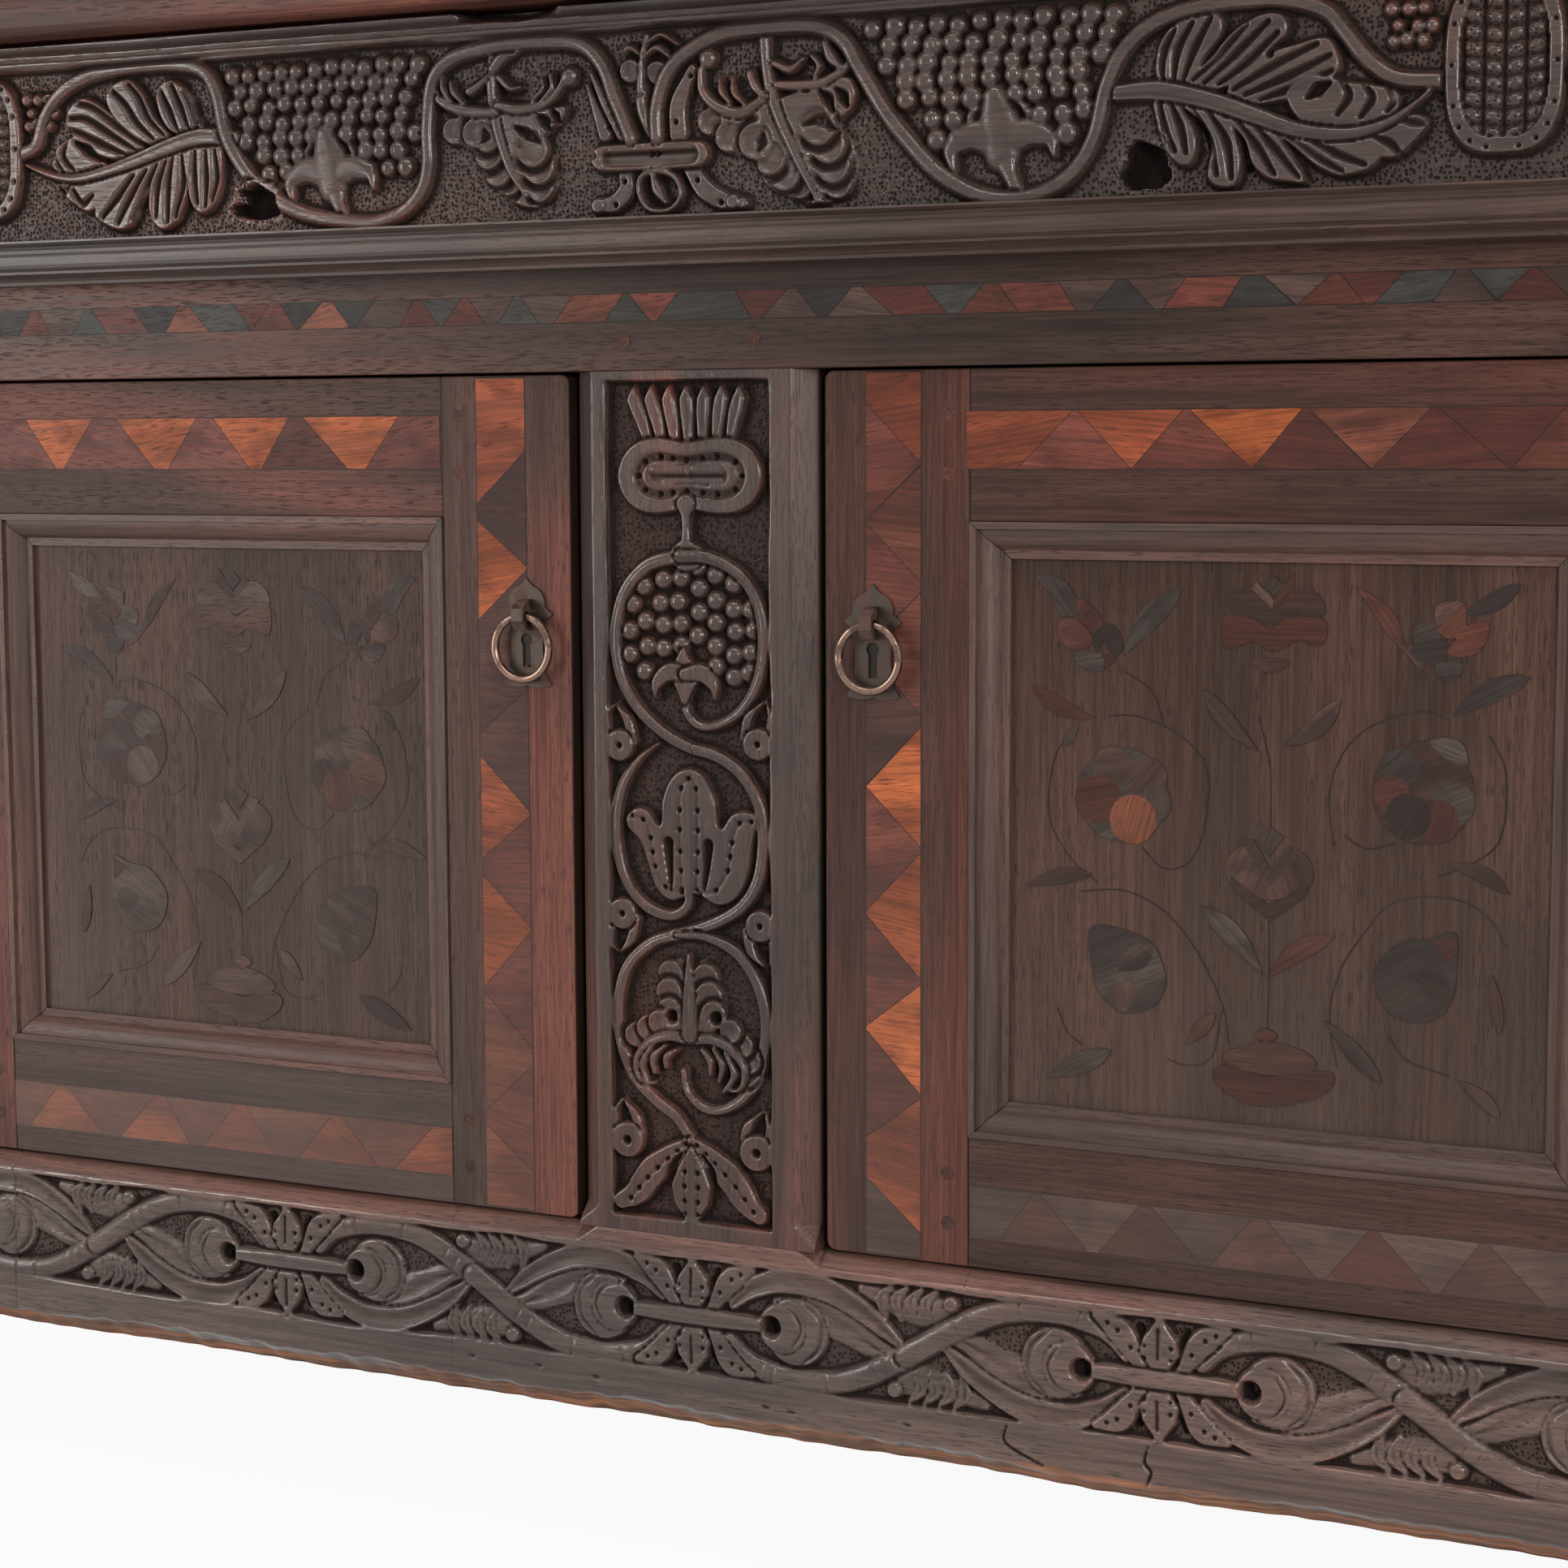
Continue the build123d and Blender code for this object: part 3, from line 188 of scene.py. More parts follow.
def oak(name, grain="x", place=0.0, waxed=WAXED, rubbed=RUBBED, rub=0.4, relief=0.5, gloss=0.12, bands=1.0,
        dust_and_light=0.0, seams=()):
    """Finished oak: the figure, a low sheen and its pores in relief. A pair of glosses gives a polish that
    changes from the left end of the object to the right, and four numbers for rub the wear between two
    places in x. A pale layer thickens towards the foot, partly dusty and partly painted reflection of the
    pale floor; seams are dirty joints at places in x."""
    material, tree, shader = new_material(name)
    x, _, z = node(tree, "SeparateXYZ", {0: node(tree, "TexCoord").outputs["Object"]}).outputs
    if isinstance(gloss, tuple):
        gloss = ramp(tree, x, *POLISHED_X, *gloss)
    if isinstance(rub, tuple):
        rub = ramp(tree, x, *rub)
    vector = figured(tree, grain, place)
    figure = node(tree, "Group",
                  {"Vector": vector, "Waxed": waxed, "Rubbed": rubbed, "Rub": rub, "Bands": bands},
                  node_tree=OAK_FIGURE).outputs
    colour = figure["Color"]
    # painted reflection of the pale floor with the dusty layer: a pale colour that thickens towards the foot
    if dust_and_light:
        patch = ramp(tree, stretched(tree, vector, 3.0, 12.0), 0.3, 0.7, 0.5 * dust_and_light, dust_and_light)
        film_and_sheen = calc(tree, "MULTIPLY", patch, ramp(tree, z, DUST_LIGHT_TOP, DUST_LIGHT_FOOT))
        colour = tint(tree, film_and_sheen, colour, DUST_AND_FLOOR_LIGHT)
    for seam in seams:
        apart = calc(tree, "ABSOLUTE", calc(tree, "SUBTRACT", x, seam * MM))
        colour = tint(tree, ramp(tree, apart, 0.0011, 0.0003, 0.0, 0.85), colour, DIRT)
    coat(tree, shader, colour, figure["Roughness"], gloss, figure["Height"], relief, 0.4)
    return material


def finish_node(material, *names):
    """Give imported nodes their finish."""
    for name in names:
        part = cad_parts[name]
        part.data.materials.clear()
        part.data.materials.append(material)


finish_node(oak("post_oak", "z", 1), "front_posts", "back_posts")
finish_node(oak("rail_oak", "x", 2, waxed=SMOKED, rub=(-0.5, 0.0, 0.7, 0.2), gloss=(0.26, 0.14)),
            "inlaid_top_rail")
finish_node(oak("peg_oak", "y", 3, rub=0.5), "frame_pegs", "door_left_pegs", "door_right_pegs")
finish_node(oak("inner_oak", "x", 4, waxed=INNER, rub=0.2, gloss=0.08),
            "frieze_blocks", "back_rails", "bottom_boards", "shelf_boards")
finish_node(oak("bearer_oak", "y", 5, waxed=INNER, rub=0.2, gloss=0.08), "shelf_bearers")
finish_node(oak("side_rail_oak", "y", 8, rub=0.35), "side_rails")
finish_node(oak("side_panel_oak", "z", 6, rub=0.3), "side_panels")
finish_node(oak("back_board_oak", "z", 7, waxed=BACKING, rub=0.15, gloss=0.06), "back_boards")

# ---- bottom rail ----------------------------------------------------------------------------------
# A deep oak rail pegged between the posts, carved with crossing notched stems, scroll leaves round
# drilled eyes and small flowers. Its foot is a rough raw bevel where the old wax never reached.
PUNCH_MARKS = 390.0             # to the metre
SUNK = 5.0          # depth of the carved ground under the face of a board, mm
RAIL_STEP = 0.9
RAIL_DEEP = 1.25
TILE = 10           # curve pieces measured at a time
DOT_R, DOT_DEPTH = 1.5, 2.6            # dots punched with a round tool, mm
BLADE_FOOT = 0.8
FLUTE_WIDTHS, FLUTE_DEPTH = (2.0, 5.5, 3.0), 2.6


def smooth_curve(points, closed=False, gap=2.2):
    """Points about gap apart on the Catmull-Rom curve that passes through the given ones."""
    p = np.asarray(points, float)
    p = np.vstack([p[-1:], p, p[:2]]) if closed else np.vstack([2 * p[0] - p[1], p, 2 * p[-1] - p[-2]])
    spans = np.linalg.norm(np.diff(p[1:-1], axis=0), axis=1)
    steps = [i + np.arange(k) / k for i, k in enumerate(np.maximum(1, np.round(spans / gap)).astype(int))]
    t = np.append(np.concatenate(steps), len(spans))
    i = np.minimum(t.astype(int), len(spans) - 1)
    f = (t - i)[:, None]
    a, b, c, d = p[i], p[i + 1], p[i + 2], p[i + 3]
    second, third = 2 * a - 5 * b + 4 * c - d, 3 * b - a - 3 * c + d
    return 0.5 * (2 * b + (c - a) * f + second * f ** 2 + third * f ** 3)


def smoothstep(low, high, value):
    """0 below low, 1 above high, and an S-shaped rise between."""
    t = np.clip((value - low) / (high - low), 0, 1)
    return t * t * (3 - 2 * t)


def waves(x, z, pitch, seed):
    """Gentle unevenness between about -1 and 1: the sum of four plane waves of random heading and phase."""
    random = np.random.default_rng(seed)
    heading = random.uniform(0, math.tau, 4)
    phase = random.uniform(0, math.tau, 4)
    length = pitch * random.uniform(0.6, 1.6, 4)
    return sum(np.sin((x * math.cos(h) + z * math.sin(h)) * math.tau / n + p)
               for h, n, p in zip(heading, length, phase)) / 2.4


def profile_height(form, v, inside, top, base):
    """Height over the ground at v, -1..1 across a carved member of the given form; inside is the distance
    from its edge in mm."""
    u = np.abs(v)
    rise = top - base
    edge = smoothstep(0, 1.4, inside)
    if form == "round":
        return base + rise * np.sqrt(np.clip(1 - u ** 2.6, 0, 1))
    if form == "flute":
        return base + rise * edge * (1 - 0.62 * np.clip(1 - (u / 0.78) ** 2, 0, 1))
    if form == "lined":
        return base + rise * edge * (1 - 0.14 * u ** 2) - 1.1 * np.exp(-((v - 0.42) / 0.14) ** 2)
    if form == "ribbed":
        return base + rise * edge * (0.84 + 0.16 * np.cos(v * 9))
    return base + rise * edge


class Carving:
    """A board under the gouge: X and Z of its grid points in mm, and H, the height over its sunk ground."""

    def __init__(self, x, z, step):
        self.xs = np.arange(x[0], x[1] + step / 2, step)
        self.zs = np.arange(z[0], z[1] + step / 2, step)
        self.X, self.Z = np.meshgrid(self.xs, self.zs)
        self.H = np.zeros_like(self.X)

    def window(self, low, high):
        """Rows and columns of the grid between two corners."""
        columns = slice(*np.searchsorted(self.xs, (low[0], high[0])))
        return slice(*np.searchsorted(self.zs, (low[1], high[1]))), columns

    def along(self, points, reach, closed=False):
        """Near a curve: the window, the distance, the side and the place 0..1 along, by its nearest piece."""
        curve = smooth_curve(points, closed)
        run = np.append(0, np.cumsum(np.linalg.norm(np.diff(curve, axis=0), axis=1)))
        whole = self.window(curve.min(0) - reach, curve.max(0) + reach)
        near = np.full(self.H[whole].shape, 1e6)
        side, place = np.zeros_like(near), np.zeros_like(near)
        for k in range(0, len(curve) - 1, TILE):
            part = curve[k:k + TILE + 1]
            w = self.window(part.min(0) - reach, part.max(0) + reach)
            inner = tuple(slice(a.start - b.start, a.stop - b.start) for a, b in zip(w, whole))
            a, b = part[:-1], part[1:]
            ab = b - a
            px = self.X[w][..., None] - a[:, 0]
            pz = self.Z[w][..., None] - a[:, 1]
            t = np.clip((px * ab[:, 0] + pz * ab[:, 1]) / np.maximum((ab ** 2).sum(1), 1e-9), 0, 1)
            d = np.hypot(px - t * ab[:, 0], pz - t * ab[:, 1])
            best = d.argmin(-1)[..., None]
            d = np.take_along_axis(d, best, -1)[..., 0]
            turn = np.take_along_axis(px * ab[:, 1] - pz * ab[:, 0], best, -1)[..., 0]
            passed = run[k:k + len(ab) + 1]
            s = np.take_along_axis((passed[:-1] + t * np.diff(passed)) / run[-1], best, -1)
            closer = d < near[inner]
            for values, found in ((near, d), (side, np.sign(turn)), (place, s[..., 0])):
                values[inner] = np.where(closer, found, values[inner])
        return whole, near, side, place

    def member(self, points, width, top=4.6, form="flat", base=0.8, closed=False, over=True, dots=0.0):
        """A raised member along a curve: width (one, or several in turn) across, with the form's section."""
        widths = np.atleast_1d(np.asarray(width, float))
        w, d, side, s = self.along(points, widths.max() / 2 + 1, closed)
        half = np.interp(s, np.linspace(0, 1, len(widths)), widths) / 2
        v = side * d / half
        height = profile_height(form, v, half - d, top, base)
        here = self.H[w]
        self.H[w] = np.where(d < half, height if over else np.maximum(height, here), here)
        if dots:
            line = smooth_curve(points, closed, dots)
            self.pits(line[1:-1], DOT_R, DOT_DEPTH)

    def cut(self, points, width, depth, closed=False, to=None):
        """A gouge cut along a curve: a rounded valley of the given width and depth, or down to a height."""
        widths = np.atleast_1d(np.asarray(width, float))
        w, d, _, s = self.along(points, widths.max() / 2 + 1, closed)
        half = np.interp(s, np.linspace(0, 1, len(widths)), widths) / 2
        bowl = np.clip(1 - (d / half) ** 2, 0, 1)
        here = self.H[w]
        if to is None:
            self.H[w] = here - bowl * depth
        else:
            self.H[w] = here + (np.minimum(here, to) - here) * np.sqrt(bowl)

    def blade(self, outline, top, flutes=()):
        """Solid wood within a smooth closed outline, its edge eased over, and gouged flutes cut along it. A
        point is inside where a level line from it crosses the outline an odd number of times."""
        curve = smooth_curve(outline, True, 3.0)
        w, distance, _, _ = self.along(outline, 3, True)
        x, z = self.X[w][..., None], self.Z[w][..., None]
        (ax, az), (bx, bz) = curve[:-1].T, curve[1:].T
        rise = np.where(bz == az, 1e-9, bz - az)
        crossed = ((az > z) != (bz > z)) & (x < ax + (bx - ax) * (z - az) / rise)
        inside = crossed.sum(-1) % 2 == 1
        wood = BLADE_FOOT + (top - BLADE_FOOT) * smoothstep(0, 1.4, distance)
        self.H[w] = np.where(inside, np.maximum(self.H[w], wood), self.H[w])
        for flute in flutes:
            self.cut(flute, FLUTE_WIDTHS, FLUTE_DEPTH)

    def radial(self, x, z, reach):
        """Window round a point, and the distance and the offsets of its grid points."""
        w = self.window((x - reach, z - reach), (x + reach, z + reach))
        dx, dz = self.X[w] - x, self.Z[w] - z
        return w, np.hypot(dx, dz), dx, dz

    def pits(self, points, radius, depth):
        """Punched or drilled holes with sloping sides."""
        for x, z in points:
            w, d, _, _ = self.radial(x, z, radius + 1)
            self.H[w] -= depth * (1 - smoothstep(0.45, 1.1, d / radius))

    def dome(self, x, z, radius, top=4.6, base=0.8):
        """A grape or bud: part of a ball standing on the ground."""
        w, d, _, _ = self.radial(x, z, radius)
        ball = base + (top - base) * np.sqrt(np.clip(1 - (d / radius) ** 2, 0, 1)) ** 0.8
        self.H[w] = np.where(d < radius, np.maximum(ball, self.H[w]), self.H[w])

    def disc(self, x, z, radius, top=4.4, base=0.8, eye=0.0):
        """A flat round boss with an eased edge, and an eye drilled in it."""
        w, d, _, _ = self.radial(x, z, radius)
        self.H[w] = np.where(d < radius, base + (top - base) * smoothstep(0, 1.3, radius - d), self.H[w])
        if eye:
            self.pits([(x, z)], eye, 3.5)

    def scallop(self, x, z, radius, toward, top=4.9, low=2.4, moat=5.0):
        """A hollow scale: a dish with a raised rim, open on the side that faces the angle toward, and a deep
        crescent cut into the wood below its other side."""
        w, d, dx, dz = self.radial(x, z, radius + moat)
        facing = (dx * math.cos(toward) + dz * math.sin(toward)) / np.maximum(d, 0.1)
        below = smoothstep(0.35, -0.3, facing) * (1 - smoothstep(radius + 0.3 * moat, radius + moat, d))
        here = self.H[w] - np.clip(self.H[w] - 1.0, 0, 3.2) * below
        u = np.minimum(d / radius, 1)
        dish = low + (top - low) * u ** 3 * np.where(facing > 0.55, 0.3, 1.0)
        rim = smoothstep(0, 0.1, 1 - u)
        self.H[w] = np.where(d < radius, dish * rim + here * (1 - rim), here)

    def field(self, distance, top, soft=1.2):
        """Raise everything that lies outside a sunk field to the face: distance is how far outside."""
        self.H = self.H + (top - self.H) * smoothstep(0, soft, distance)

    def punch(self, pitch, depth, seed, below=1.2):
        """Close rows of punch marks on the ground: pits round points jittered on a square net."""
        random = np.random.default_rng(seed)
        column = np.floor(self.X / pitch).astype(int)
        row = np.floor(self.Z / pitch).astype(int)
        c0, r0 = column.min() - 1, row.min() - 1
        shape = (row.max() - r0 + 3, column.max() - c0 + 3)
        jx, jz = random.uniform(0.1, 0.9, (2, *shape))
        near = np.full(self.H.shape, np.inf)
        for dc in (-1, 0, 1):
            for dr in (-1, 0, 1):
                c, r = column + dc, row + dr
                near = np.minimum(near, np.hypot((c + jx[r - r0, c - c0]) * pitch - self.X,
                                                 (r + jz[r - r0, c - c0]) * pitch - self.Z))
        ground = 1 - smoothstep(below * 0.6, below, self.H)
        self.H = self.H + ground * depth * (smoothstep(0.15, 0.55, near / pitch) - 0.6)
        return ground

    def ease(self):
        """Wear: each point moves to the mean of itself and its neighbours, weighted 1 2 1 both ways."""
        h = np.pad(self.H, 1, mode="edge")
        h = (h[:-2] + 2 * h[1:-1] + h[2:]) / 4
        self.H = (h[:, :-2] + 2 * h[:, 1:-1] + h[:, 2:]) / 4


def spread(values, cells):
    """Mean over a square of cells each way, by running sums."""
    for axis in (0, 1):
        pad = [(cells + 1, cells) if axis == k else (0, 0) for k in (0, 1)]
        total = np.cumsum(np.pad(values, pad, mode="edge"), axis=axis)
        size = values.shape[axis]
        window = 2 * cells + 1
        ends = np.take(total, np.arange(window, window + size), axis=axis)
        values = (ends - np.take(total, np.arange(size), axis=axis)) / window
    return values


def tube(count, around, inward=False):
    """Faces that join count rings of points, around points in each, with a flat cap on each end. They look
    outwards where the rings run clockwise seen from the first end, or, turned over, where they don't."""
    i, j = np.arange(count - 1)[:, None] * around, np.arange(around)
    after = (j + 1) % around
    quads = np.stack([i + j, i + after, i + around + after, i + around + j], -1).reshape(-1, 4)
    caps = [list(range(around - 1, -1, -1)), list(range((count - 1) * around, count * around))]
    if inward:
        quads, caps = quads[:, [0, 3, 2, 1]], [cap[::-1] for cap in caps]
    return quads.tolist() + caps


def put_mesh(name, points, faces, body, material, smooth=True, attributes=None, uv=None):
    """A finished piece from points in metres and faces, with its values at the points, on its body."""
    mesh = bpy.data.meshes.new(name)
    mesh.from_pydata(points, [], faces)
    mesh.polygons.foreach_set("use_smooth", np.broadcast_to(smooth, len(faces)).astype(bool))
    for label, values in (attributes or {}).items():
        kind = "FLOAT_COLOR" if np.ndim(values) == 2 else "FLOAT"
        layer = mesh.attributes.new(label, kind, "POINT")
        layer.data.foreach_set("color" if kind == "FLOAT_COLOR" else "value",
                               np.ravel(values).astype(np.float32))
    if uv is not None:
        corners = np.empty(len(mesh.loops), int)
        mesh.loops.foreach_get("vertex_index", corners)
        mesh.uv_layers.new(name="grain").data.foreach_set("uv", np.asarray(uv)[corners].ravel())
    mesh.materials.append(material)
    mesh.update()
    piece = bpy.data.objects.new(name, mesh)
    bpy.context.scene.collection.objects.link(piece)
    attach(piece, body)
    return piece


def carved_pieces(name, board, face, back, splits, material, ground, deep=1.0):
    """The carved board as closed lengths: at each column a loop of front points and two back points,
    carried along X. Outer lengths, given a stride of 2, take every second point both ways. deep
    multiplies every depth below the face."""
    step = board.xs[1] - board.xs[0]
    wide, close = (board.H - spread(board.H, round(reach / step)) for reach in (4, 1.6))
    proud = deep * (wide + 1.4 * close)
    pieces = []
    for number, (low, high, stride) in enumerate(splits):
        first, last = np.searchsorted(board.xs, (low - 1e-6, high - 1e-6))
        last = min(last, len(board.xs) - 1)
        columns = np.append(np.arange(first, last, stride), last)
        rows = np.append(np.arange(0, len(board.zs) - 1, stride), len(board.zs) - 1)
        pick = np.ix_(rows, columns)
        nz, nx = len(rows), len(columns)
        x = np.vstack([board.X[pick], board.xs[columns], board.xs[columns]])
        z = np.vstack([board.Z[pick], np.full(nx, board.zs[-1]), np.full(nx, board.zs[0])])
        y = np.vstack([face + deep * (SUNK - board.H[pick]), np.full((2, nx), back)])
        points = np.stack([x, y, z], -1).transpose(1, 0, 2).reshape(-1, 3) * MM
        loop = nz + 2
        faces = tube(nx, loop, inward=True)
        smooth = np.ones((nx - 1, loop), bool)
        smooth[:, nz - 1:] = False
        extra = {"proud": proud[pick], "ground": ground[pick]}
        extra = {k: np.vstack([v, np.zeros((2, nx))]).T.ravel() for k, v in extra.items()}
        label = f"{name}_{number + 1}" if len(splits) > 1 else name
        pieces.append(put_mesh(label, points, faces, "carcass", material,
                               np.append(smooth.ravel(), [False, False]), extra))
    return pieces


RAW_DARK, RAW_LIGHT = (0.112, 0.048, 0.024, 1), (0.368, 0.147, 0.067, 1)
RAW_STAIN = (0.128, 0.058, 0.032, 1)


def carved_oak(name, grain, place, waxed=SMOKED, rubbed=RUBBED, rub=0.3, raw=None, gloss=0.4, ground_shade=0.3,
               worn_top=None):
    """Carved oak: polished and redder along its proud edges, matt and black in the hollows, where the black
    is painted shade. Close punch marks are darkened as painted shade in their pits, and the sunk ground takes
    painted shade by a given share. Below the height raw, in metres, it is bare and orange; above the height
    worn_top it is rubbed red."""
    material, tree, shader = new_material(name)
    vector = figured(tree, grain, place)
    proud = node(tree, "Attribute", attribute_name="proud").outputs["Fac"]
    ground = node(tree, "Attribute", attribute_name="ground").outputs["Fac"]
    rubs = calc(tree, "ADD", ramp(tree, proud, 1.0, 3.5, 0.0, 0.5), rub, clamp=True)
    coordinates = node(tree, "TexCoord").outputs["Object"]
    z = node(tree, "SeparateXYZ", {0: coordinates}).outputs[2]
    if worn_top is not None:
        rubs = calc(tree, "ADD", rubs, ramp(tree, z, worn_top - 0.002, worn_top + 0.006, 0.0, 0.8),
                    clamp=True)
    marks = node(tree, "TexVoronoi", {"Vector": coordinates, "Scale": PUNCH_MARKS, "Randomness": 0.75})
    punched = calc(tree, "MULTIPLY", ramp(tree, marks.outputs[0], 0.46, 0.24), ground, clamp=True)
    # painted shade: black in hollows below the local mean height, and in the punch pits
    hollow = calc(tree, "MAXIMUM", ramp(tree, proud, 0.2, -2.2, 0.0, 0.9),
                  calc(tree, "MULTIPLY", punched, 0.94))
    # painted shade over the sunk ground, by the given share
    hollow = calc(tree, "MAXIMUM", hollow, calc(tree, "MULTIPLY", ramp(tree, ground, 0.0, 1.0), ground_shade))
    # painted shade: ground values over 1.2 paint the inside of holes black
    hollow = calc(tree, "MAXIMUM", hollow, ramp(tree, ground, 1.2, 1.8))
    figure = node(tree, "Group",
                  {"Vector": vector, "Waxed": waxed, "Rubbed": rubbed, "Rub": rubs, "Painted shade": hollow},
                  node_tree=OAK_FIGURE).outputs
    colour = figure["Color"]
    rough = calc(tree, "SUBTRACT", figure["Roughness"], ramp(tree, proud, -0.5, 1.6, 0.0, 0.27))
    shine = calc(tree, "MULTIPLY", calc(tree, "SUBTRACT", 1.0, hollow),
                 ramp(tree, proud, 0.0, 2.5, gloss, 1.4 * gloss))
    height = calc(tree, "SUBTRACT", calc(tree, "MULTIPLY", figure["Height"], 0.4), punched)
    if raw is not None:
        edge = calc(tree, "ADD", z, ramp(tree, stretched(tree, vector, 9.0, 60.0), 0.3, 0.7, -0.004, 0.004))
        bare = ramp(tree, edge, raw, raw - 0.004)
        streaks = stretched(tree, vector, 14.0, 230.0, 4.0)
        cloud = stretched(tree, vector, 7.0, 30.0, 2.0)
        wood = tint(tree, ramp(tree, streaks, 0.35, 0.65), RAW_DARK, RAW_LIGHT)
        wood = tint(tree, ramp(tree, cloud, 0.46, 0.72), wood, RAW_STAIN)
        colour = tint(tree, bare, colour, wood)
        rough = calc(tree, "ADD", rough, calc(tree, "MULTIPLY", bare, 0.3), clamp=True)
        height = calc(tree, "ADD", height, calc(tree, "MULTIPLY", calc(tree, "MULTIPLY", streaks, bare), 1.2))
    coat(tree, shader, colour, rough, shine, height, 0.8, 0.6)
    return material


def mm_box(name):
    """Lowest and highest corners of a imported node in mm."""
    low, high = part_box(name)
    return np.array(low) / MM, np.array(high) / MM


low, high = mm_box("bottom_rail")
RAIL_FACE, RAIL_BACK = low[1], high[1]
OPEN_SIDE = 620.0
BAR_PITCH = 298.0
BAR_Z = 171.0
EYE_OUT = 50.0
RAW_EDGE = 113.0               # where the raw bevel of the foot starts
RAW_SLANT = 0.006
CHAMFER_EDGE = 210.0
CHAMFER_STOPS = ((68, 14), (616, 6))   # where the chamfer runs out beside muntin and post, and how soon
FIELD_Z = (136.5, 205.5)
FIELD_END = 606.0
RAIL_WAX, RAIL_RUBBED = (0.092, 0.066, 0.057, 1), (0.170, 0.080, 0.060, 1)
RAIL_WORN_TOP = 0.207          # m

rail = Carving((-OPEN_SIDE, OPEN_SIDE), (low[2], high[2]), RAIL_STEP)
BARS = range(-2, 3)


def swung(middle, side, phase, points):
    """Points given outwards from a bar and as heights, turned to one side of it. A phase of -1 turns them
    over about the line of the bars, as every second bar is."""
    return [(middle + side * out, BAR_Z + phase * (z - BAR_Z)) for out, z in points]


def leaves(board, middle, side, phase):
    """Beside a bar: a hollow leaf that swings over, a smooth one under it, and a pod with four lobes."""
    def at(*points):
        return swung(middle, side, phase, points)

    board.member(at((110, 201), (128, 196), (148, 192), (168, 198)), (8, 17, 21, 10), 2.6, "round", 0.4)
    for k in range(4):
        x = 124 + 9.5 * k
        board.member(at((x + 5, 205), (x - 2, 197), (x + 1, 184 + k)), (4, 8, 4), 4.9, "flute", 0.8)
    board.disc(*at((167, 199))[0], 5.5, 4.6, 0.8)
    board.member(at((52, 187), (74, 186), (98, 177), (117, 167), (136, 164)), (4, 18, 25, 18, 3), 3.1,
                 "round", 0.4)
    board.cut(at((64, 190), (84, 184), (104, 173), (122, 165)), (2, 9, 11, 2), 1.3)
    board.member(at((24, 181), (38, 193), (58, 200), (84, 199), (108, 189), (126, 177), (140, 165)),
                 (7, 15, 17, 17, 15, 12, 3), 4.8, "flute", 0.8)


def wave_stem(board, middle, side, phase):
    """Half a turn of the stem that runs the length of the rail, from beside the bar to the crossing,
    with small notches across it."""
    path = swung(middle, side, phase,
                 [(22, 159), (32, 149), (46, 143), (66, 140), (92, 142), (112, 149), (130, 159), (149, 171),
                  (160, 178)])
    board.member(path, (11, 14.5, 15, 15.5, 15.5, 15.5), 4.9, "round", 1.0)
    line = smooth_curve(path, gap=1.0)
    way = np.gradient(line, axis=0)
    for share in (0.18, 0.23, 0.46, 0.68, 0.74):
        k = int(share * len(line))
        across = np.array([-way[k][1], way[k][0]]) / np.hypot(*way[k]) * 4.5
        board.cut([line[k] - across, line[k] + across], 1.5, 1.0)


def bar_and_scrolls(board, middle, phase):
    """A turned bar between two drilled eyes, each eye in a stepped scroll, and a dotted three-petalled
    flower above and below the bar."""
    for side in (-1, 1):
        def at(*points):
            return swung(middle, side, phase, points)

        board.disc(*at((66, 169.5))[0], 21.5, 3.9, 0.6)
        board.cut(at((72, 188), (83, 178), (82, 162), (70, 150)), (2, 7, 2), 1.8)
        board.disc(*at((57.5, 171))[0], 16, 4.9, 2.2)
        board.cut(at((54, 186), (65, 182), (70.5, 171), (64, 159)), (1, 3.5, 1), 1.8)
        for up, reach in ((1, 33), (-1, 31)):
            petal = [(middle - 2 + side * out, BAR_Z + up * rise)
                     for out, rise in ((12, 6), (18, 17), (26, 26), (39, reach))]
            board.member(petal, (9, 16, 17, 7), 4.5, "flat", 0.9, dots=8.5)
            board.cut([(middle - 2 + side * 9, BAR_Z + up * 10), (middle - 2 + side * 14, BAR_Z + up * 28)],
                      (3, 6), 3.4)
    for up in (-1, 1):
        petal = [(middle - 3, BAR_Z + up * 6), (middle - 3, BAR_Z + up * 18), (middle - 3, BAR_Z + up * 26),
                 (middle - 3, BAR_Z + up * 33)]
        board.member(petal, (12, 25, 22, 8), 4.7, "flat", 0.9)
        board.cut([(middle - 4, BAR_Z + up * 12), (middle - 4, BAR_Z + up * 29)], (2, 4), 1.7)
        board.pits([(middle - 4 + dx, BAR_Z + up * dz) for dx in (-8, 8) for dz in (12, 19)], DOT_R,
                   DOT_DEPTH)
    board.member([(middle - 46, BAR_Z), (middle + 44, BAR_Z)], (10, 13, 13, 10), 5.6, "round", 0.4)
    for side in (-1, 1):
        board.pits([(middle + side * EYE_OUT, BAR_Z)], 7.2, 8.5)


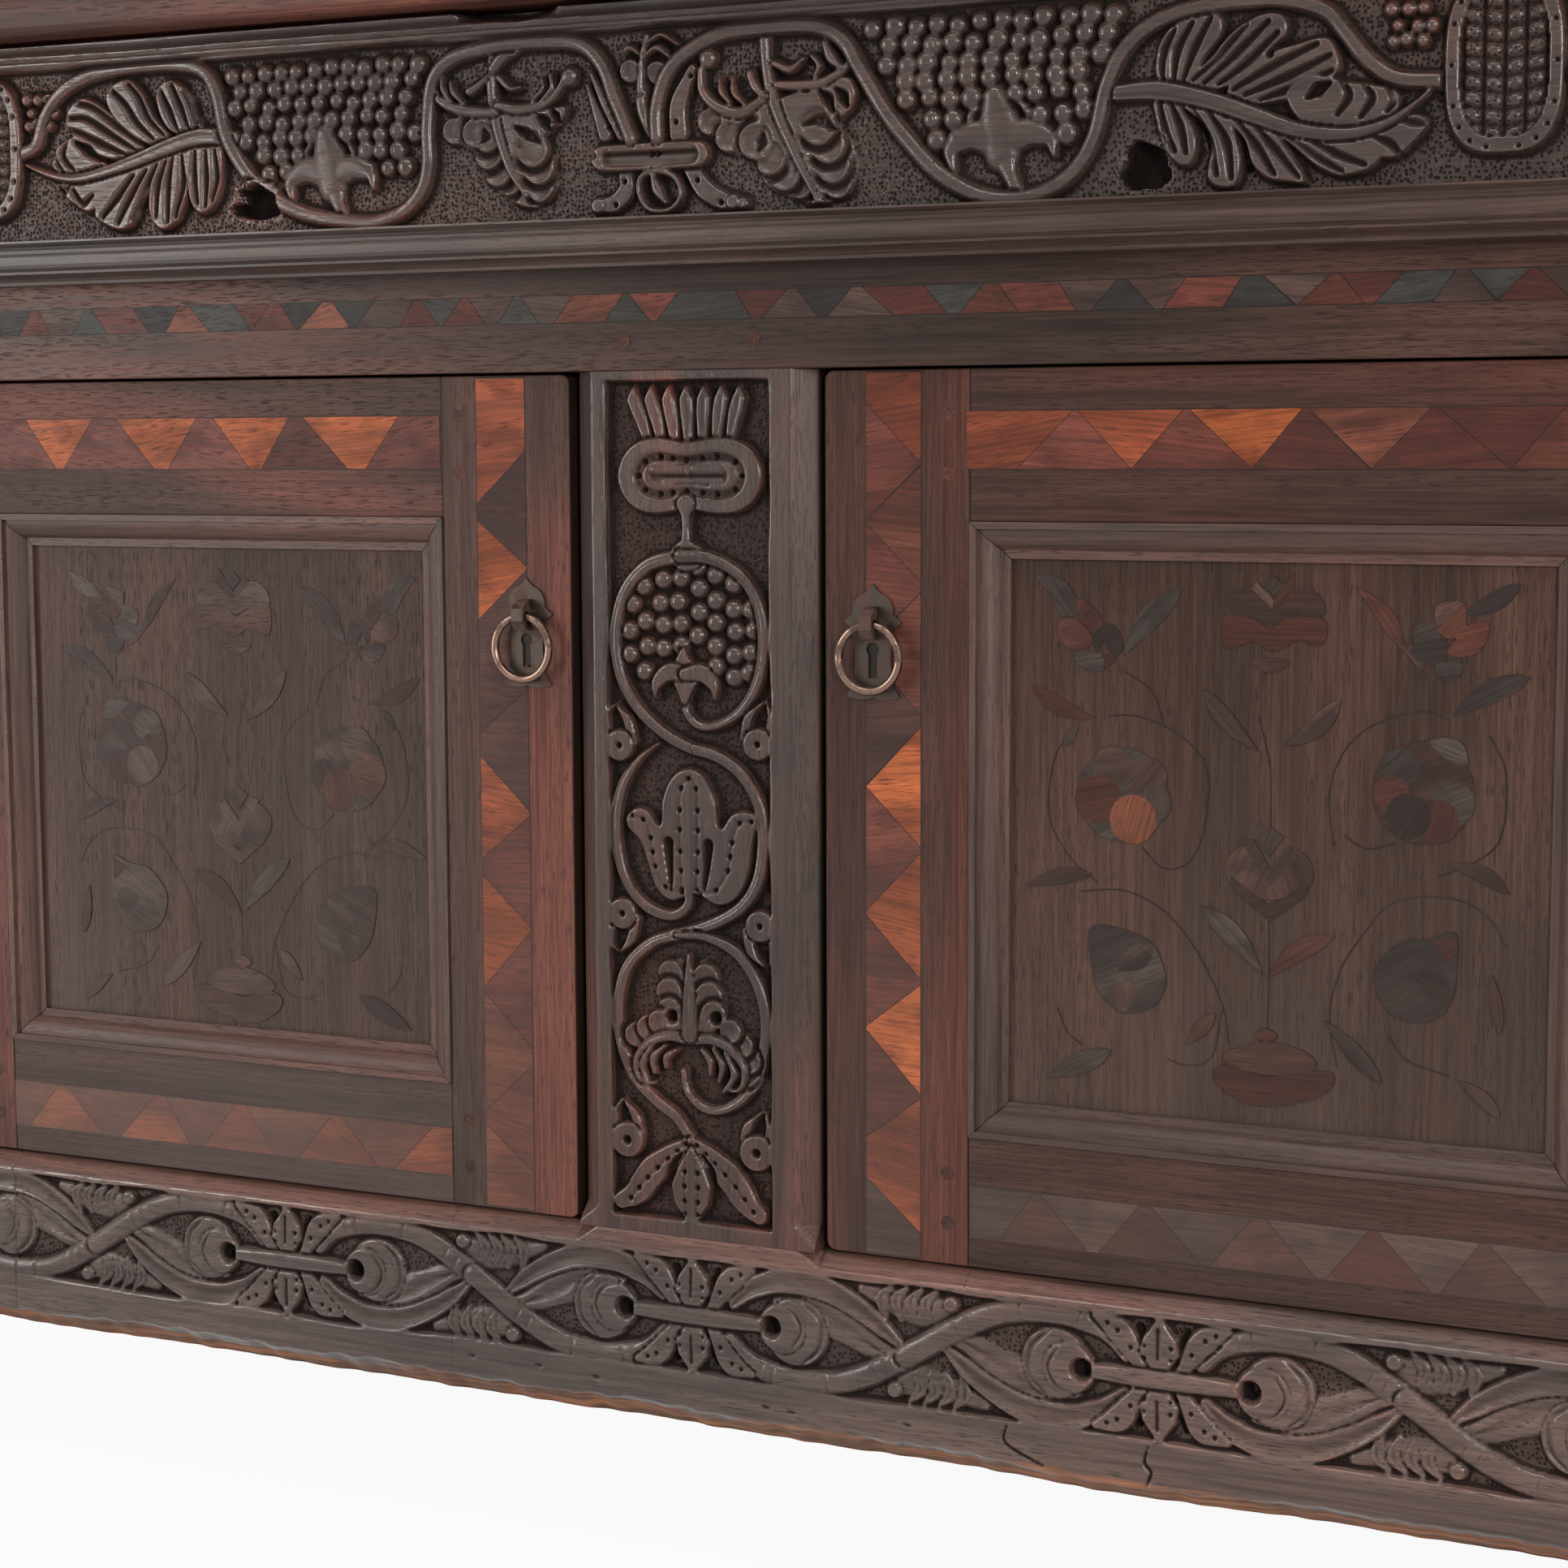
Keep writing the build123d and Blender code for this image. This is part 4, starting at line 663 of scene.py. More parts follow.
for draw in (leaves, wave_stem):
    for number in BARS:
        for side in (-1, 1):
            draw(rail, number * BAR_PITCH, side, 1 - 2 * (number % 2))
for number in BARS:
    bar_and_scrolls(rail, number * BAR_PITCH, 1 - 2 * (number % 2))
low_edge = FIELD_Z[0] + 1.5 * waves(rail.X, 0, 120, 3)
outside = np.maximum(low_edge - rail.Z, rail.Z - FIELD_Z[1] - 0.7 * waves(rail.X, 0, 60, 4))
rail.field(np.maximum(outside, np.abs(rail.X) - FIELD_END), SUNK)
for crack in ([(203, 133), (201, 124), (206, 119), (226, 111)],
              [(289, 132), (287, 122), (291, 117), (288, 108)]):
    rail.cut(crack, (0.8, 2.2, 1.0), 3.0)
for x, z in ((-160, 127), (-111, 127), (-70, 125), (47, 122), (64, 121), (-302, 135), (140, 124)):
    rail.cut([(x - 3, z), (x + 3, z - 0.6)], (1, 2.2, 1), 1.6)
rail.ease()
rail.H += 0.12 * waves(rail.X, rail.Z, 34, 5) + 0.05 * waves(rail.X * 0.2, rail.Z, 6, 6)
wander = RAW_EDGE + 2.4 * waves(rail.X, 0, 180, 8) + 0.8 * waves(rail.X, 0, 23, 9) - rail.X * RAW_SLANT
bevel = np.maximum(0, wander - rail.Z) + 0.5 * waves(rail.X, rail.Z, 30, 10) * (rail.Z < wander)
(inner, inner_run), (outer, outer_run) = CHAMFER_STOPS
out = np.abs(rail.X)
stop = np.clip((out - inner) / inner_run, 0, 1) * np.clip((outer - out) / outer_run, 0, 1)
chamfer = np.maximum(0, rail.Z - (high[2] - (high[2] - CHAMFER_EDGE) * stop))
rail.H = np.minimum(rail.H, SUNK - bevel - chamfer)
rail.H = np.minimum(rail.H, SUNK)
rail_ground = 1 - smoothstep(1.2, 2.2, rail.H)
rail_ground *= (rail.Z > FIELD_Z[0]) & (rail.Z < FIELD_Z[1])
BOARD_SPLITS = ((-OPEN_SIDE, -525, 2), (-525, -175, 1), (-175, 175, 1), (175, 525, 1), (525, OPEN_SIDE, 2))
rail_oak = carved_oak("carved_rail_oak", "x", 11, RAIL_WAX, RAIL_RUBBED, rub=0.25, raw=(RAW_EDGE - 1) * MM,
                      gloss=0.42, ground_shade=0.5, worn_top=RAIL_WORN_TOP)
for piece in carved_pieces("carved_bottom_rail", rail, RAIL_FACE, RAIL_BACK, BOARD_SPLITS, rail_oak,
                           rail_ground, RAIL_DEEP):
    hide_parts("bottom_rail")

# ---- centre muntin ----------------------------------------------------------------------------------
# The upright between the doors, tenoned into both rails. A stem climbs it in three rings that hold a
# leafy palmette, a dotted tulip and a bunch of grapes; stopped chamfers soften its edges.
MUNTIN_STEP = 0.8
MUNTIN_FIELD = ((-56.0, 50.5), (231.0, 733.0))
MUNTIN_HALF = 80.0
MUNTIN_FACE = 66.0             # half the width left between the chamfers
MUNTIN_DEEP = 1.45
MUNTIN_WAX = (0.048, 0.029, 0.023, 1)
CHAMFER_SLOPE = 9.0 / 14.0
CHAMFER_WORN = 1.2             # how much flatter wear has made it
CHAMFER_STOP_Z = 236.0

low, high = mm_box("inlaid_top_rail")
opening_top = low[2]
opening_foot = mm_box("bottom_rail")[1][2]
muntin = Carving((-MUNTIN_HALF, MUNTIN_HALF), (opening_foot, opening_top), MUNTIN_STEP)

for foot, head in zip(np.linspace(-29, 26, 7), np.linspace(-38, 32, 7)):
    middle = foot + (head - foot) * 0.5
    muntin.member([(foot, 699), (middle, 713), (head, 723), (head, 728), (head, 732)],
                  (8.0, 9.6, 11.2, 11.0, 2.0), 4.7, "flat", 0.6)
    muntin.cut([(foot + 1.5, 702), (middle + 1.5, 714), (head + 1.5, 725)], (0.8, 1.6, 0.8), 0.7)
strap = [(-24, 692.5), (-4, 690), (20, 692.5), (34, 688.5), (39, 678), (34, 667.5), (20, 664), (-4, 666.5),
         (-24, 664), (-36, 667.5), (-41, 678), (-36, 688.5)]
muntin.member(strap, 18, 4.9, "flat", 0.8, closed=True)
muntin.member([(-27, 678), (22, 678)], 20, 4.3, "flat", 2.4)
channel = [(-1 + (x + 1) * 0.86, 678.3 + (z - 678.3) * 0.78) for x, z in strap]
muntin.cut(channel, 5.5, 2.0, closed=True, to=2.9)
muntin.pits(smooth_curve(channel, True, 11.0), DOT_R, DOT_DEPTH)
muntin.cut([(-24, 678), (20, 678)], (9, 10, 9), 2.0, to=3.0)
muntin.member([(-25, 682), (20, 682)], (6, 6.6, 6), 4.8, "round", 2.6)
muntin.member([(-19, 675), (20, 675)], (4, 5, 4), 4.2, "round", 2.4)
muntin.disc(-2, 680.5, 2.6, 5.0, 3.0)
grapes_at = ((-33, 613), (-20, 617), (-8, 618), (3, 625), (15, 620), (27, 615), (-41, 602), (-22, 603),
             (-10, 604), (4, 612), (15, 605), (27, 600), (38, 600), (-32, 592), (-43, 586), (-20, 590),
             (-8, 591), (4, 598), (15, 592), (28, 587), (40, 588), (-31, 577), (-43, 572), (-20, 576),
             (-8, 578), (3, 584), (15, 578), (27, 573), (38, 575), (-33, 562), (27, 560), (37, 563),
             (15, 566))
for x, z in grapes_at:
    muntin.dome(x, z, 6.4, 4.95, 0.4)
muntin.member([(-3.5, 661), (-3.5, 652), (-3.5, 643), (-3.5, 634)], (15, 8, 7, 8, 26), 4.7, "flat", 0.6)
muntin.member([(-8, 631), (-30, 625), (-46, 608), (-52, 584), (-49, 560), (-38, 541), (-22, 527), (-4, 518),
               (16, 513), (33, 502), (44, 484), (46.5, 463), (43, 441), (33, 425), (16, 414), (-6, 406),
               (-28, 399), (-45, 384), (-52, 363), (-51, 338), (-42, 316), (-27, 302), (-13, 293), (-4, 281)],
              (10, 9.5, 9, 10, 8.5, 10, 9), 4.9, "lined", 0.6)
muntin.member([(-24, 519), (-38, 508), (-49, 491), (-53, 470), (-51, 448), (-43, 430), (-30, 419), (-15, 416),
               (-5, 422), (-3, 432)], (3, 9, 9.5, 9, 9, 7), 4.8, "lined", 0.6)
muntin.member([(-8, 631), (12, 630), (32, 620), (44, 602), (47, 580), (43, 558), (32, 541), (17, 532),
               (4, 531), (-4, 539), (-5, 552)], (10, 9, 9.5, 9, 7.5, 7), 4.9, "lined", 0.6)
muntin.member([(-12, 404), (8, 404), (28, 396), (42, 378), (47.5, 355), (44, 330), (34, 311), (20, 301),
               (6, 300), (-5, 309), (-8, 322)], (6, 9, 9.5, 9, 8, 6), 4.8, "lined", 0.6)
muntin.member([(-5, 546), (-5, 558), (-6, 566), (-6, 574)], (8, 17, 18, 7), 4.9, "flat", 0.6)
for s in (-1, 1):
    muntin.member([(-5, 561), (-5 + s * 11, 562), (-5 + s * 19, 555), (-5 + s * 20, 546)], (10, 13, 10, 3),
                  4.8, "flat", 0.6)

muntin.blade([(-46, 475), (-38.6, 481), (-30, 479), (-23, 471), (-21.5, 486), (-15, 500), (-4, 506),
              (7, 502), (15.7, 487), (18, 471), (24.5, 479), (33, 482), (43, 478), (40, 459), (37.5, 443),
              (29, 428), (16, 423), (0.5, 429), (-14.7, 424), (-25.5, 431), (-32, 447), (-36.5, 459),
              (-45, 467)], 4.7)
for line in ([(-8, 432), (-9, 455), (-9, 480), (-8, 493), (-3, 499), (2, 493), (3, 480), (3, 455), (2, 432)],
             [(-42, 475), (-34, 473), (-29, 462), (-26, 445), (-19, 433), (-8, 430)],
             [(39, 475), (31, 474), (26, 462), (23, 445), (15, 433), (4, 430)]):
    muntin.cut(line, 1.6, 0.9)
    muntin.pits(smooth_curve(line, gap=10.0), DOT_R, DOT_DEPTH)
for slit in ([(-17, 460), (-16, 445), (-15, 431)], [(10, 460), (9, 445), (7, 432)]):
    muntin.cut(slit, (7, 4, 1), 4, to=0.6)

for s in (-1, 1):
    muntin.member([(-4 + s * 8, 350), (-4 + s * 12, 366), (-4 + s * 8, 386)], (20, 24, 8), 3.2, "round", 0.6)
for x, z, radius, toward in (
        (-17, 380, 9, -90), (-18, 369, 9, -90), (-18, 357, 9, -90), (7, 379, 9.5, -90), (9, 368, 9.5, -90),
        (12, 357, 9, -90), (-41, 341, 8, -20), (-33, 346, 8, -20), (-25, 350, 8, -20), (35, 322, 7, 180),
        (36, 331, 8, 190), (31, 340, 8, 200), (23, 348, 8, 200)):
    muntin.scallop(x, z, radius, math.radians(toward), moat=3.5)
muntin.pits([(-17, 354), (13, 355)], 4.4, 4.5)
for s in (-1, 1):
    arm = [(-4, 341), (-4 + s * 16, 342), (-4 + s * 29, 336), (-4 + s * 37, 325), (-4 + s * 34, 314),
           (-4 + s * 26, 312)]
    muntin.member(arm, (8, 8, 8, 7, 6, 3), 4.8, "lined", 1.0)
for finger in (
        [(-29, 336), (-36, 324), (-33, 312)], [(-21, 336), (-29, 328), (-28, 319)],
        [(-13, 334), (-20, 329), (-20, 323)], [(20, 335), (26, 322), (19, 311)],
        [(12, 337), (18, 327), (16, 317)], [(4, 336), (10, 329), (10, 321)]):
    muntin.member(finger, (3, 6.5, 4), 4.5, "round", 0.6)
muntin.member([(-4, 393), (-4, 372), (-4, 344)], (3, 10, 13), 5.0, "round", 0.6)
muntin.cut([(-4, 386), (-4, 350)], (1, 2, 1), 0.8)

for s, reach in ((-1, 48), (1, 46)):
    petal = [(-3, 279), (-3 + s * 13, 270), (-3 + s * 27, 258), (-3 + s * 38, 244), (-3 + s * reach, 238)]
    muntin.member(petal, (8, 15, 20, 19, 13), 4.6, "flat", 0.8)
    line = [(-3 + s * 4, 277), (-3 + s * 16, 267), (-3 + s * 30, 254), (-3 + s * 42, 240)]
    muntin.cut(line, 1.8, 1.0)
    muntin.pits(smooth_curve(line, gap=10.0), DOT_R, DOT_DEPTH)
muntin.member([(-3, 274), (-3, 262), (-3, 246), (-3, 234), (-3, 229)], (6, 20, 29, 25, 8), 4.8, "flat", 0.8)
for s in (-1, 1):
    muntin.cut([(-3 + s * 7, 271), (-3 + s * 13.5, 262), (-3 + s * 17, 250)], (2, 5.5, 2), 4, to=0.6)
    muntin.cut([(-3 + s * 3, 268), (-3 + s * 5, 250), (-3 + s * 3.5, 234)], (1, 1.8, 1), 1.0)
    muntin.pits([(-3 + s * 4.5, z) for z in (260, 251, 242, 234)], DOT_R, DOT_DEPTH)
for x, z, s, up in ((-50, 517, -1, 1), (43, 521, 1, 1), (-49, 415, -1, -1), (44, 413, 1, -1),
                    (-47, 276, -1, 1), (41, 276, 1, 1)):
    size = 12 if z < 300 else 10.5
    muntin.member([(x - s * 8, z + up * 3), (x - s * 6, z + up * 15), (x + s * 3, z + up * 25)], (9, 8, 2),
                  4.7, "flat", 0.8)
    muntin.member([(x + s * 7, z + up * 6), (x + s * 8, z + up * 17), (x + s * 5, z + up * 24)], (6, 6, 2),
                  4.2, "flat", 0.8)
    muntin.disc(x, z, size, 4.7, 0.8, eye=1.9 if z > 300 else 3.0)

(left, right), (foot, head) = MUNTIN_FIELD
outside = np.maximum(np.maximum(left - muntin.X, muntin.X - right),
                     np.maximum(foot - muntin.Z, muntin.Z - head))
muntin.field(outside + 0.5 * waves(muntin.X, muntin.Z, 70, 21), SUNK)
muntin.ease()
muntin_ground = muntin.punch(2.9, 0.4, 22) * (outside < 0)
muntin.H += 0.10 * waves(muntin.X, muntin.Z, 40, 23)
stopped = smoothstep(opening_foot, CHAMFER_STOP_Z, muntin.Z)
edge = MUNTIN_HALF - (MUNTIN_HALF - MUNTIN_FACE) * stopped
chamfer = (np.abs(muntin.X) - edge) * CHAMFER_SLOPE / CHAMFER_WORN
muntin.H = np.minimum(muntin.H, SUNK)
muntin.H = np.minimum(muntin.H, SUNK - chamfer - 0.1 * waves(muntin.X, muntin.Z, 90, 24) * (chamfer > 0))
muntin_oak = carved_oak("carved_muntin_oak", "z", 12, MUNTIN_WAX, rub=0.46, gloss=0.42, ground_shade=0.62)
for piece in carved_pieces("carved_muntin", muntin, RAIL_FACE, RAIL_BACK,
                           ((-MUNTIN_HALF, 0.0, 1), (0.0, MUNTIN_HALF, 1)), muntin_oak, muntin_ground,
                           MUNTIN_DEEP):
    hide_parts("centre_muntin")

# ---- inlaid top rail --------------------------------------------------------------------------------
# The rail over the doors, let in with a band of triangles sawn from bog oak, red wood and plain oak and
# glued down on dark glue. Each piece has its own grain; the glue shows between them as thin lines.
WOODS = {"o": (0.300, 0.070, 0.028), "O": (0.450, 0.110, 0.032), "a": (0.200, 0.062, 0.036),
         "r": (0.150, 0.040, 0.027), "k": (0.092, 0.036, 0.028), "d": (0.092, 0.053, 0.043),
         "b": (0.050, 0.049, 0.046), "n": (0.045, 0.038, 0.034), "g": (0.010, 0.008, 0.007)}
# pale colour of the dulling layer on the inlay, partly painted reflection of the pale floor
FILM_AND_SHEEN = (0.205, 0.150, 0.130, 1)
INLAY_PROUD = 0.22             # mm over the board
GLUE_LINE = 0.22


def closed_outline(points):
    """The outline as an array that runs anticlockwise seen from the front."""
    p = np.asarray(points, float)
    after = np.roll(p, -1, axis=0)
    area = (p[:, 0] * after[:, 1] - after[:, 0] * p[:, 1]).sum()
    return p if area > 0 else p[::-1]


def swollen(outline, by):
    """Each point moves out by the given mm along the normal of the chord between its neighbours."""
    chord = np.roll(outline, -1, axis=0) - np.roll(outline, 1, axis=0)
    length = np.maximum(np.linalg.norm(chord, axis=1, keepdims=True), 1e-6)
    return outline + by * np.stack([chord[:, 1], -chord[:, 0]], 1) / length


def inset(outline, by):
    """A straight-sided outline with every side moved in by the given mm."""
    side = np.roll(outline, -1, axis=0) - outline
    side = side / np.linalg.norm(side, axis=1, keepdims=True)
    before = np.roll(side, 1, axis=0)
    turn = np.maximum(np.abs(before[:, 0] * side[:, 1] - before[:, 1] * side[:, 0]), 0.3)
    return outline + by * (side - before) / turn[:, None]


def band(seams, woods, low, high, upright=False):
    """The pieces of a straight band between two edges. A seam crosses it from its place on the far edge to
    its place on the near edge; on an upright band these are heights on the left and right edges."""
    shapes = []
    for wood, (far, near), (far_next, near_next) in zip(woods, seams[:-1], seams[1:]):
        if upright:
            corners = [(low, far), (high, near), (high, near_next), (low, far_next)]
        else:
            corners = [(near, low), (near_next, low), (far_next, high), (far, high)]
        outline = closed_outline(corners)
        keep = np.linalg.norm(outline - np.roll(outline, -1, axis=0), axis=1) > 1.5
        shapes.append((inset(outline[keep], GLUE_LINE), wood))
    return shapes


def glue_bed(x0, x1, z0, z1):
    """The outline of the glue under a band, a little taller than the band."""
    return [(x0, z0 - 0.3), (x1, z0 - 0.3), (x1, z1 + 0.3), (x0, z1 + 0.3)]


def inlay_pieces(name, shapes, face, body, seed, under=None, woods=WOODS, film_and_sheen_share=1.0):
    """Thin tablets let into a board: outline, wood and a grain of its own for each. under is the outline
    of a glue bed, or a width of glue in mm that shows round each piece. The last argument is how much of
    the pale layer, partly dulling and partly painted reflection, lies on them, kept as the opacity of their
    colour."""
    random = np.random.default_rng(seed)
    tablets = [(closed_outline(under), "g", -0.12, 0.0)] if isinstance(under, list) else []
    for outline, wood, *turn in shapes:
        turn = turn[0] if turn else random.uniform(-0.2, 0.2)
        if isinstance(under, float):
            tablets.append((swollen(closed_outline(outline), under), "g", -0.10, 0.0))
        tablets.append((closed_outline(outline), wood, 0.0, turn))
    points, faces, wood_colours, grain = [], [], [], []
    for number, (outline, wood, lift, turn) in enumerate(tablets):
        n, first = len(outline), sum(len(p) for p in points)
        y = face - INLAY_PROUD - lift - 0.004 * number
        ring = np.column_stack([outline[:, 0], np.full(n, y), outline[:, 1]])
        points.append(np.vstack([ring, ring * (1, 0, 1) + (0, face + 0.4, 0)]))
        j = np.arange(n)
        faces.append(list(range(first, first + n)))
        faces.append(list(range(first + 2 * n - 1, first + n - 1, -1)))
        faces += (first + np.stack([j, j + n, (j + 1) % n + n, (j + 1) % n], 1)).tolist()
        shade = random.uniform(0.82, 1.18) if wood != "g" else 1.0
        wood_colours.append(np.tile([*(np.array(woods[wood]) * shade), film_and_sheen_share], (2 * n, 1)))
        middle = outline.mean(0)
        way = np.array([[math.cos(turn), math.sin(turn)], [-math.sin(turn), math.cos(turn)]])
        place = (outline - middle) @ way.T * MM + random.uniform(0, 30, 2)
        grain.append(np.tile(place, (2, 1)))
    put_mesh(name, np.vstack(points) * MM, faces, body, INLAY_WOOD, False,
             {"wood": np.vstack(wood_colours)}, np.vstack(grain))


def inlay_wood():
    """Waxed veneer: the wood's own colour from the mesh, its grain along the piece's own U, under a pale
    dulling layer that thickens towards the foot and the left; towards the foot it is partly painted
    reflection of the pale floor."""
    material, tree, shader = new_material("inlay_wood")
    piece = node(tree, "Attribute", attribute_name="wood").outputs
    colour = piece["Color"]
    deeper = node(tree, "VectorMath", {0: colour, 1: (0.42, 0.36, 0.38)}, operation="MULTIPLY").outputs[0]
    at = node(tree, "TexCoord").outputs["Object"]
    mottle = stretched(tree, at, 30.0, 55.0, 3.0)
    x, _, z = node(tree, "SeparateXYZ", {0: at}).outputs
    # painted reflection of the pale floor with the dulling layer: thicker towards the foot and the left
    film_and_sheen = ramp(tree, z, 0.68, 0.27, 0.05, ramp(tree, x, -0.10, -0.35, 0.22, 0.44))
    film_and_sheen = calc(tree, "MULTIPLY", film_and_sheen, piece["Alpha"])
    vector = node(tree, "UVMap", uv_map="grain").outputs[0]
    rub = ramp(tree, mottle, 0.34, 0.58, 0.25, 0.95)
    figure = node(tree, "Group", {"Vector": vector, "Waxed": deeper, "Rubbed": colour, "Rub": rub},
                  node_tree=OAK_FIGURE).outputs
    colour = tint(tree, film_and_sheen, figure["Color"], FILM_AND_SHEEN)
    coat(tree, shader, colour, figure["Roughness"], 0.18, figure["Height"], 0.35, 0.3)
    return material


INLAY_WOOD = inlay_wood()
RAIL_BAND_Z = (768.7, 785.1)
rail_seams = [(-606, -592), (-570, -583), (-566, -552), (-530, -518), (-516, -511), (-486, -497),
              (-480, -470), (-441, -453), (-437, -424), (-404, -391), (-367, -378), (-359, -344),
              (-324, -311), (-296, -311), (-289, -277), (-257, -275), (-250, -236), (-218, -233),
              (-190, -200), (-185, -172), (-155, -169), (-151, -138), (-118, -130), (-114, -101), (-77, -91),
              (-43, -56), (-40, -25), (-6, -21), (31, 42), (65, 48), (71, 85), (106, 90), (112, 132),
              (150, 165), (187, 172), (195, 208), (231, 242), (266, 251), (271, 287), (305, 292), (337, 326),
              (348, 366), (386, 367), (390, 404), (425, 409), (452, 440), (459, 473), (491, 474), (494, 512),
              (530, 520), (536, 552), (570, 556), (575, 590), (606, 596)]
rail_woods = "bdrdbrdbrbabarbabdrbrdbdabrbrdbdrbardbdrbdarbdbrdbdrb"
inlay_pieces("top_rail_inlay", band(rail_seams, rail_woods, *RAIL_BAND_Z), mm_box("inlaid_top_rail")[0][1],
             "carcass", 41, glue_bed(-FIELD_END, FIELD_END, *RAIL_BAND_Z))

# ---- moulding under the frieze ------------------------------------------------------------------------
# A run moulding planed from one length of oak: a fillet and a quirk over a hollow, a round and two small
# steps. It carries the frieze board forward of the rail, and its polish is glossier at the left than at the
# right.
low, high = mm_box("frieze_moulding")
RUN_STEP = 12.0
PLANE_WANDER = 0.15            # how far the plane strayed, mm
MOULDING_RUBBED = (0.128, 0.074, 0.061, 1)
MOULDING_SECTION = [(-203.0, 800.0), (-203.0, 826.0), (-250.0, 826.0), (-250.0, 824.8), (-248.2, 823.8),
                    (-245.8, 822.4), (-244.4, 820.4), (-244.0, 818.4), (-246.2, 818.0), (-247.6, 816.2),
                    (-248.2, 813.8), (-247.6, 811.2), (-246.0, 809.2), (-243.4, 807.8), (-240.6, 807.4),
                    (-240.2, 805.8), (-236.4, 805.4), (-231.4, 804.6), (-226.6, 803.4), (-223.4, 801.8),
                    (-222.4, 800.0)]


def planed_run(name, section, ends, material, body, seed):
    """A section (y, z) in mm carried along X between two ends, pushed about a little by slow waves, with
    flat end caps. The section runs clockwise seen from the left end, so that its faces look outwards."""
    p = np.asarray(section, float)
    x = np.append(np.arange(ends[0], ends[1], RUN_STEP), ends[1])
    n, m = len(p), len(x)
    inner = (np.abs(p[:, 0] - p[0, 0]) > 1) & (p[:, 1] < p[:, 1].max() - 1) & (p[:, 1] > p[:, 1].min() + 1)
    push = PLANE_WANDER * waves(x[:, None], p[None, :, 1] * 4, 160, seed) * inner
    grid = np.stack([np.repeat(x[:, None], n, 1), p[None, :, 0] + np.abs(push),
                     np.repeat(p[None, :, 1], m, 0)], -1)
    return put_mesh(name, grid.reshape(-1, 3) * MM, tube(m, n), body, material, False)


moulding_oak = oak("moulding_oak", "x", 14, SMOKED, MOULDING_RUBBED, rub=0.35, relief=0.3,
                   gloss=(1.0, 0.22))
run = planed_run("frieze_moulding_run", MOULDING_SECTION, (low[0], high[0]), moulding_oak, "carcass", 42)
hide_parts("frieze_moulding")

# ---- frieze -------------------------------------------------------------------------------------------
# The deepest carving: a flat vase from which two vines run out, with downward leaves, grapes, fluted
# leaves and hatched pods between them, on a punched ground. Two ragged holes are left by lost fittings.
FRIEZE_STEP = 0.75
FRIEZE_TOP_FIELD = 930.0
FRIEZE_DEEP = 1.55
POD_X, POD_Z = 485.0, 884.0
POD_HALF, HATCHED_HALF = (31, 46), (22, 37)   # half sizes of a pod and of its hatched middle
low, high = mm_box("frieze_board")
frieze = Carving((low[0], high[0]), (low[2], high[2]), FRIEZE_STEP)
FRIEZE_FACE, FRIEZE_BACK = low[1], high[1]
VINE_RIGHT = [(3, 870), (3, 886), (9, 904), (22, 916), (44, 925), (72, 927), (102, 926), (119, 918),
              (130, 902), (143, 881), (160, 860), (180, 841), (205, 829), (232, 828), (254, 839), (267, 858),
              (274, 884), (285, 904), (304, 917), (334, 923), (368, 923), (392, 916), (404, 903), (415, 890),
              (430, 880), (455, 877)]
VINE_LEFT = [(-455, 881), (-443, 886), (-435, 904), (-421, 918), (-398, 927), (-368, 930), (-335, 930),
             (-313, 925), (-303, 911), (-298, 889), (-290, 873), (-278, 858), (-262, 846), (-240, 836),
             (-215, 831), (-190, 829), (-170, 834), (-156, 846), (-151, 862), (-151, 884), (-147, 909),
             (-133, 922), (-104, 927), (-75, 928), (-47, 925), (-33, 913), (-24, 893), (-14, 870)]


def grapes(board, rows, pitch, radius, first, last, seed):
    """A bunch: rows of grapes at the given heights, set half a pitch over in turn, between two edges
    that are functions of the height."""
    random = np.random.default_rng(seed)
    for number, z in enumerate(rows):
        for x in np.arange(first(z) + pitch * (0.25 + 0.5 * (number % 2)), last(z), pitch):
            jitter = random.uniform(-1.1, 1.1, 2)
            board.dome(x + jitter[0], z + jitter[1], radius * random.uniform(0.92, 1.1),
                       random.uniform(4.4, 5.0), 0.7)


def oblong(x, z, half_x, half_z):
    """Less than 1 inside a rounded oblong about the origin, more than 1 outside it."""
    return (np.abs(x) / half_x) ** 3 + (np.abs(z) / half_z) ** 3


def signed_power(value, power):
    """The size of a value raised to a power, with its sign kept."""
    return np.sign(value) * np.abs(value) ** power


def edge_of(points):
    """The x of a curve as a function of the height."""
    line = smooth_curve(points)
    order = line[:, 1].argsort()
    return lambda z: np.interp(z, line[order, 1], line[order, 0])


def hanging_leaf(board, outline, scales, eyes, rib):
    """A leaf that hangs from its rib: hollow scales overlap each other from the tip up, each open towards an
    angle, and deep eyes are cut where lobes part."""
    board.blade(outline, 4.3)
    for x, z, radius, toward in scales:
        board.scallop(x, z, radius, math.radians(toward))
    for eye in eyes:
        board.cut(eye, (2, 8, 2), 4, to=0.4)
    board.member(rib, (8.5, 8, 8.5, 8, 6.5, 2.5), 5.0, "round", 1.0)


grapes(frieze, (921, 911, 901, 891, 881, 871, 861), 12.2, 5.9,
       edge_of([(-296, 925), (-292, 900), (-284, 878), (-268, 860)]),
       edge_of([(-158, 925), (-158, 900), (-160, 880), (-162, 860)]), 31)
grapes(frieze, (922, 912, 902, 893, 883, 872, 861), 12.6, 6.2,
       edge_of([(134, 925), (143, 900), (158, 880), (176, 858)]),
       edge_of([(292, 925), (275, 905), (265, 880), (262, 858)]), 32)
for s in (-1, 1):
    grapes(frieze, (914, 906, 898), 8.5, 4.2, lambda z: (425 if s > 0 else -452),
           lambda z: (452 if s > 0 else -425), 33)

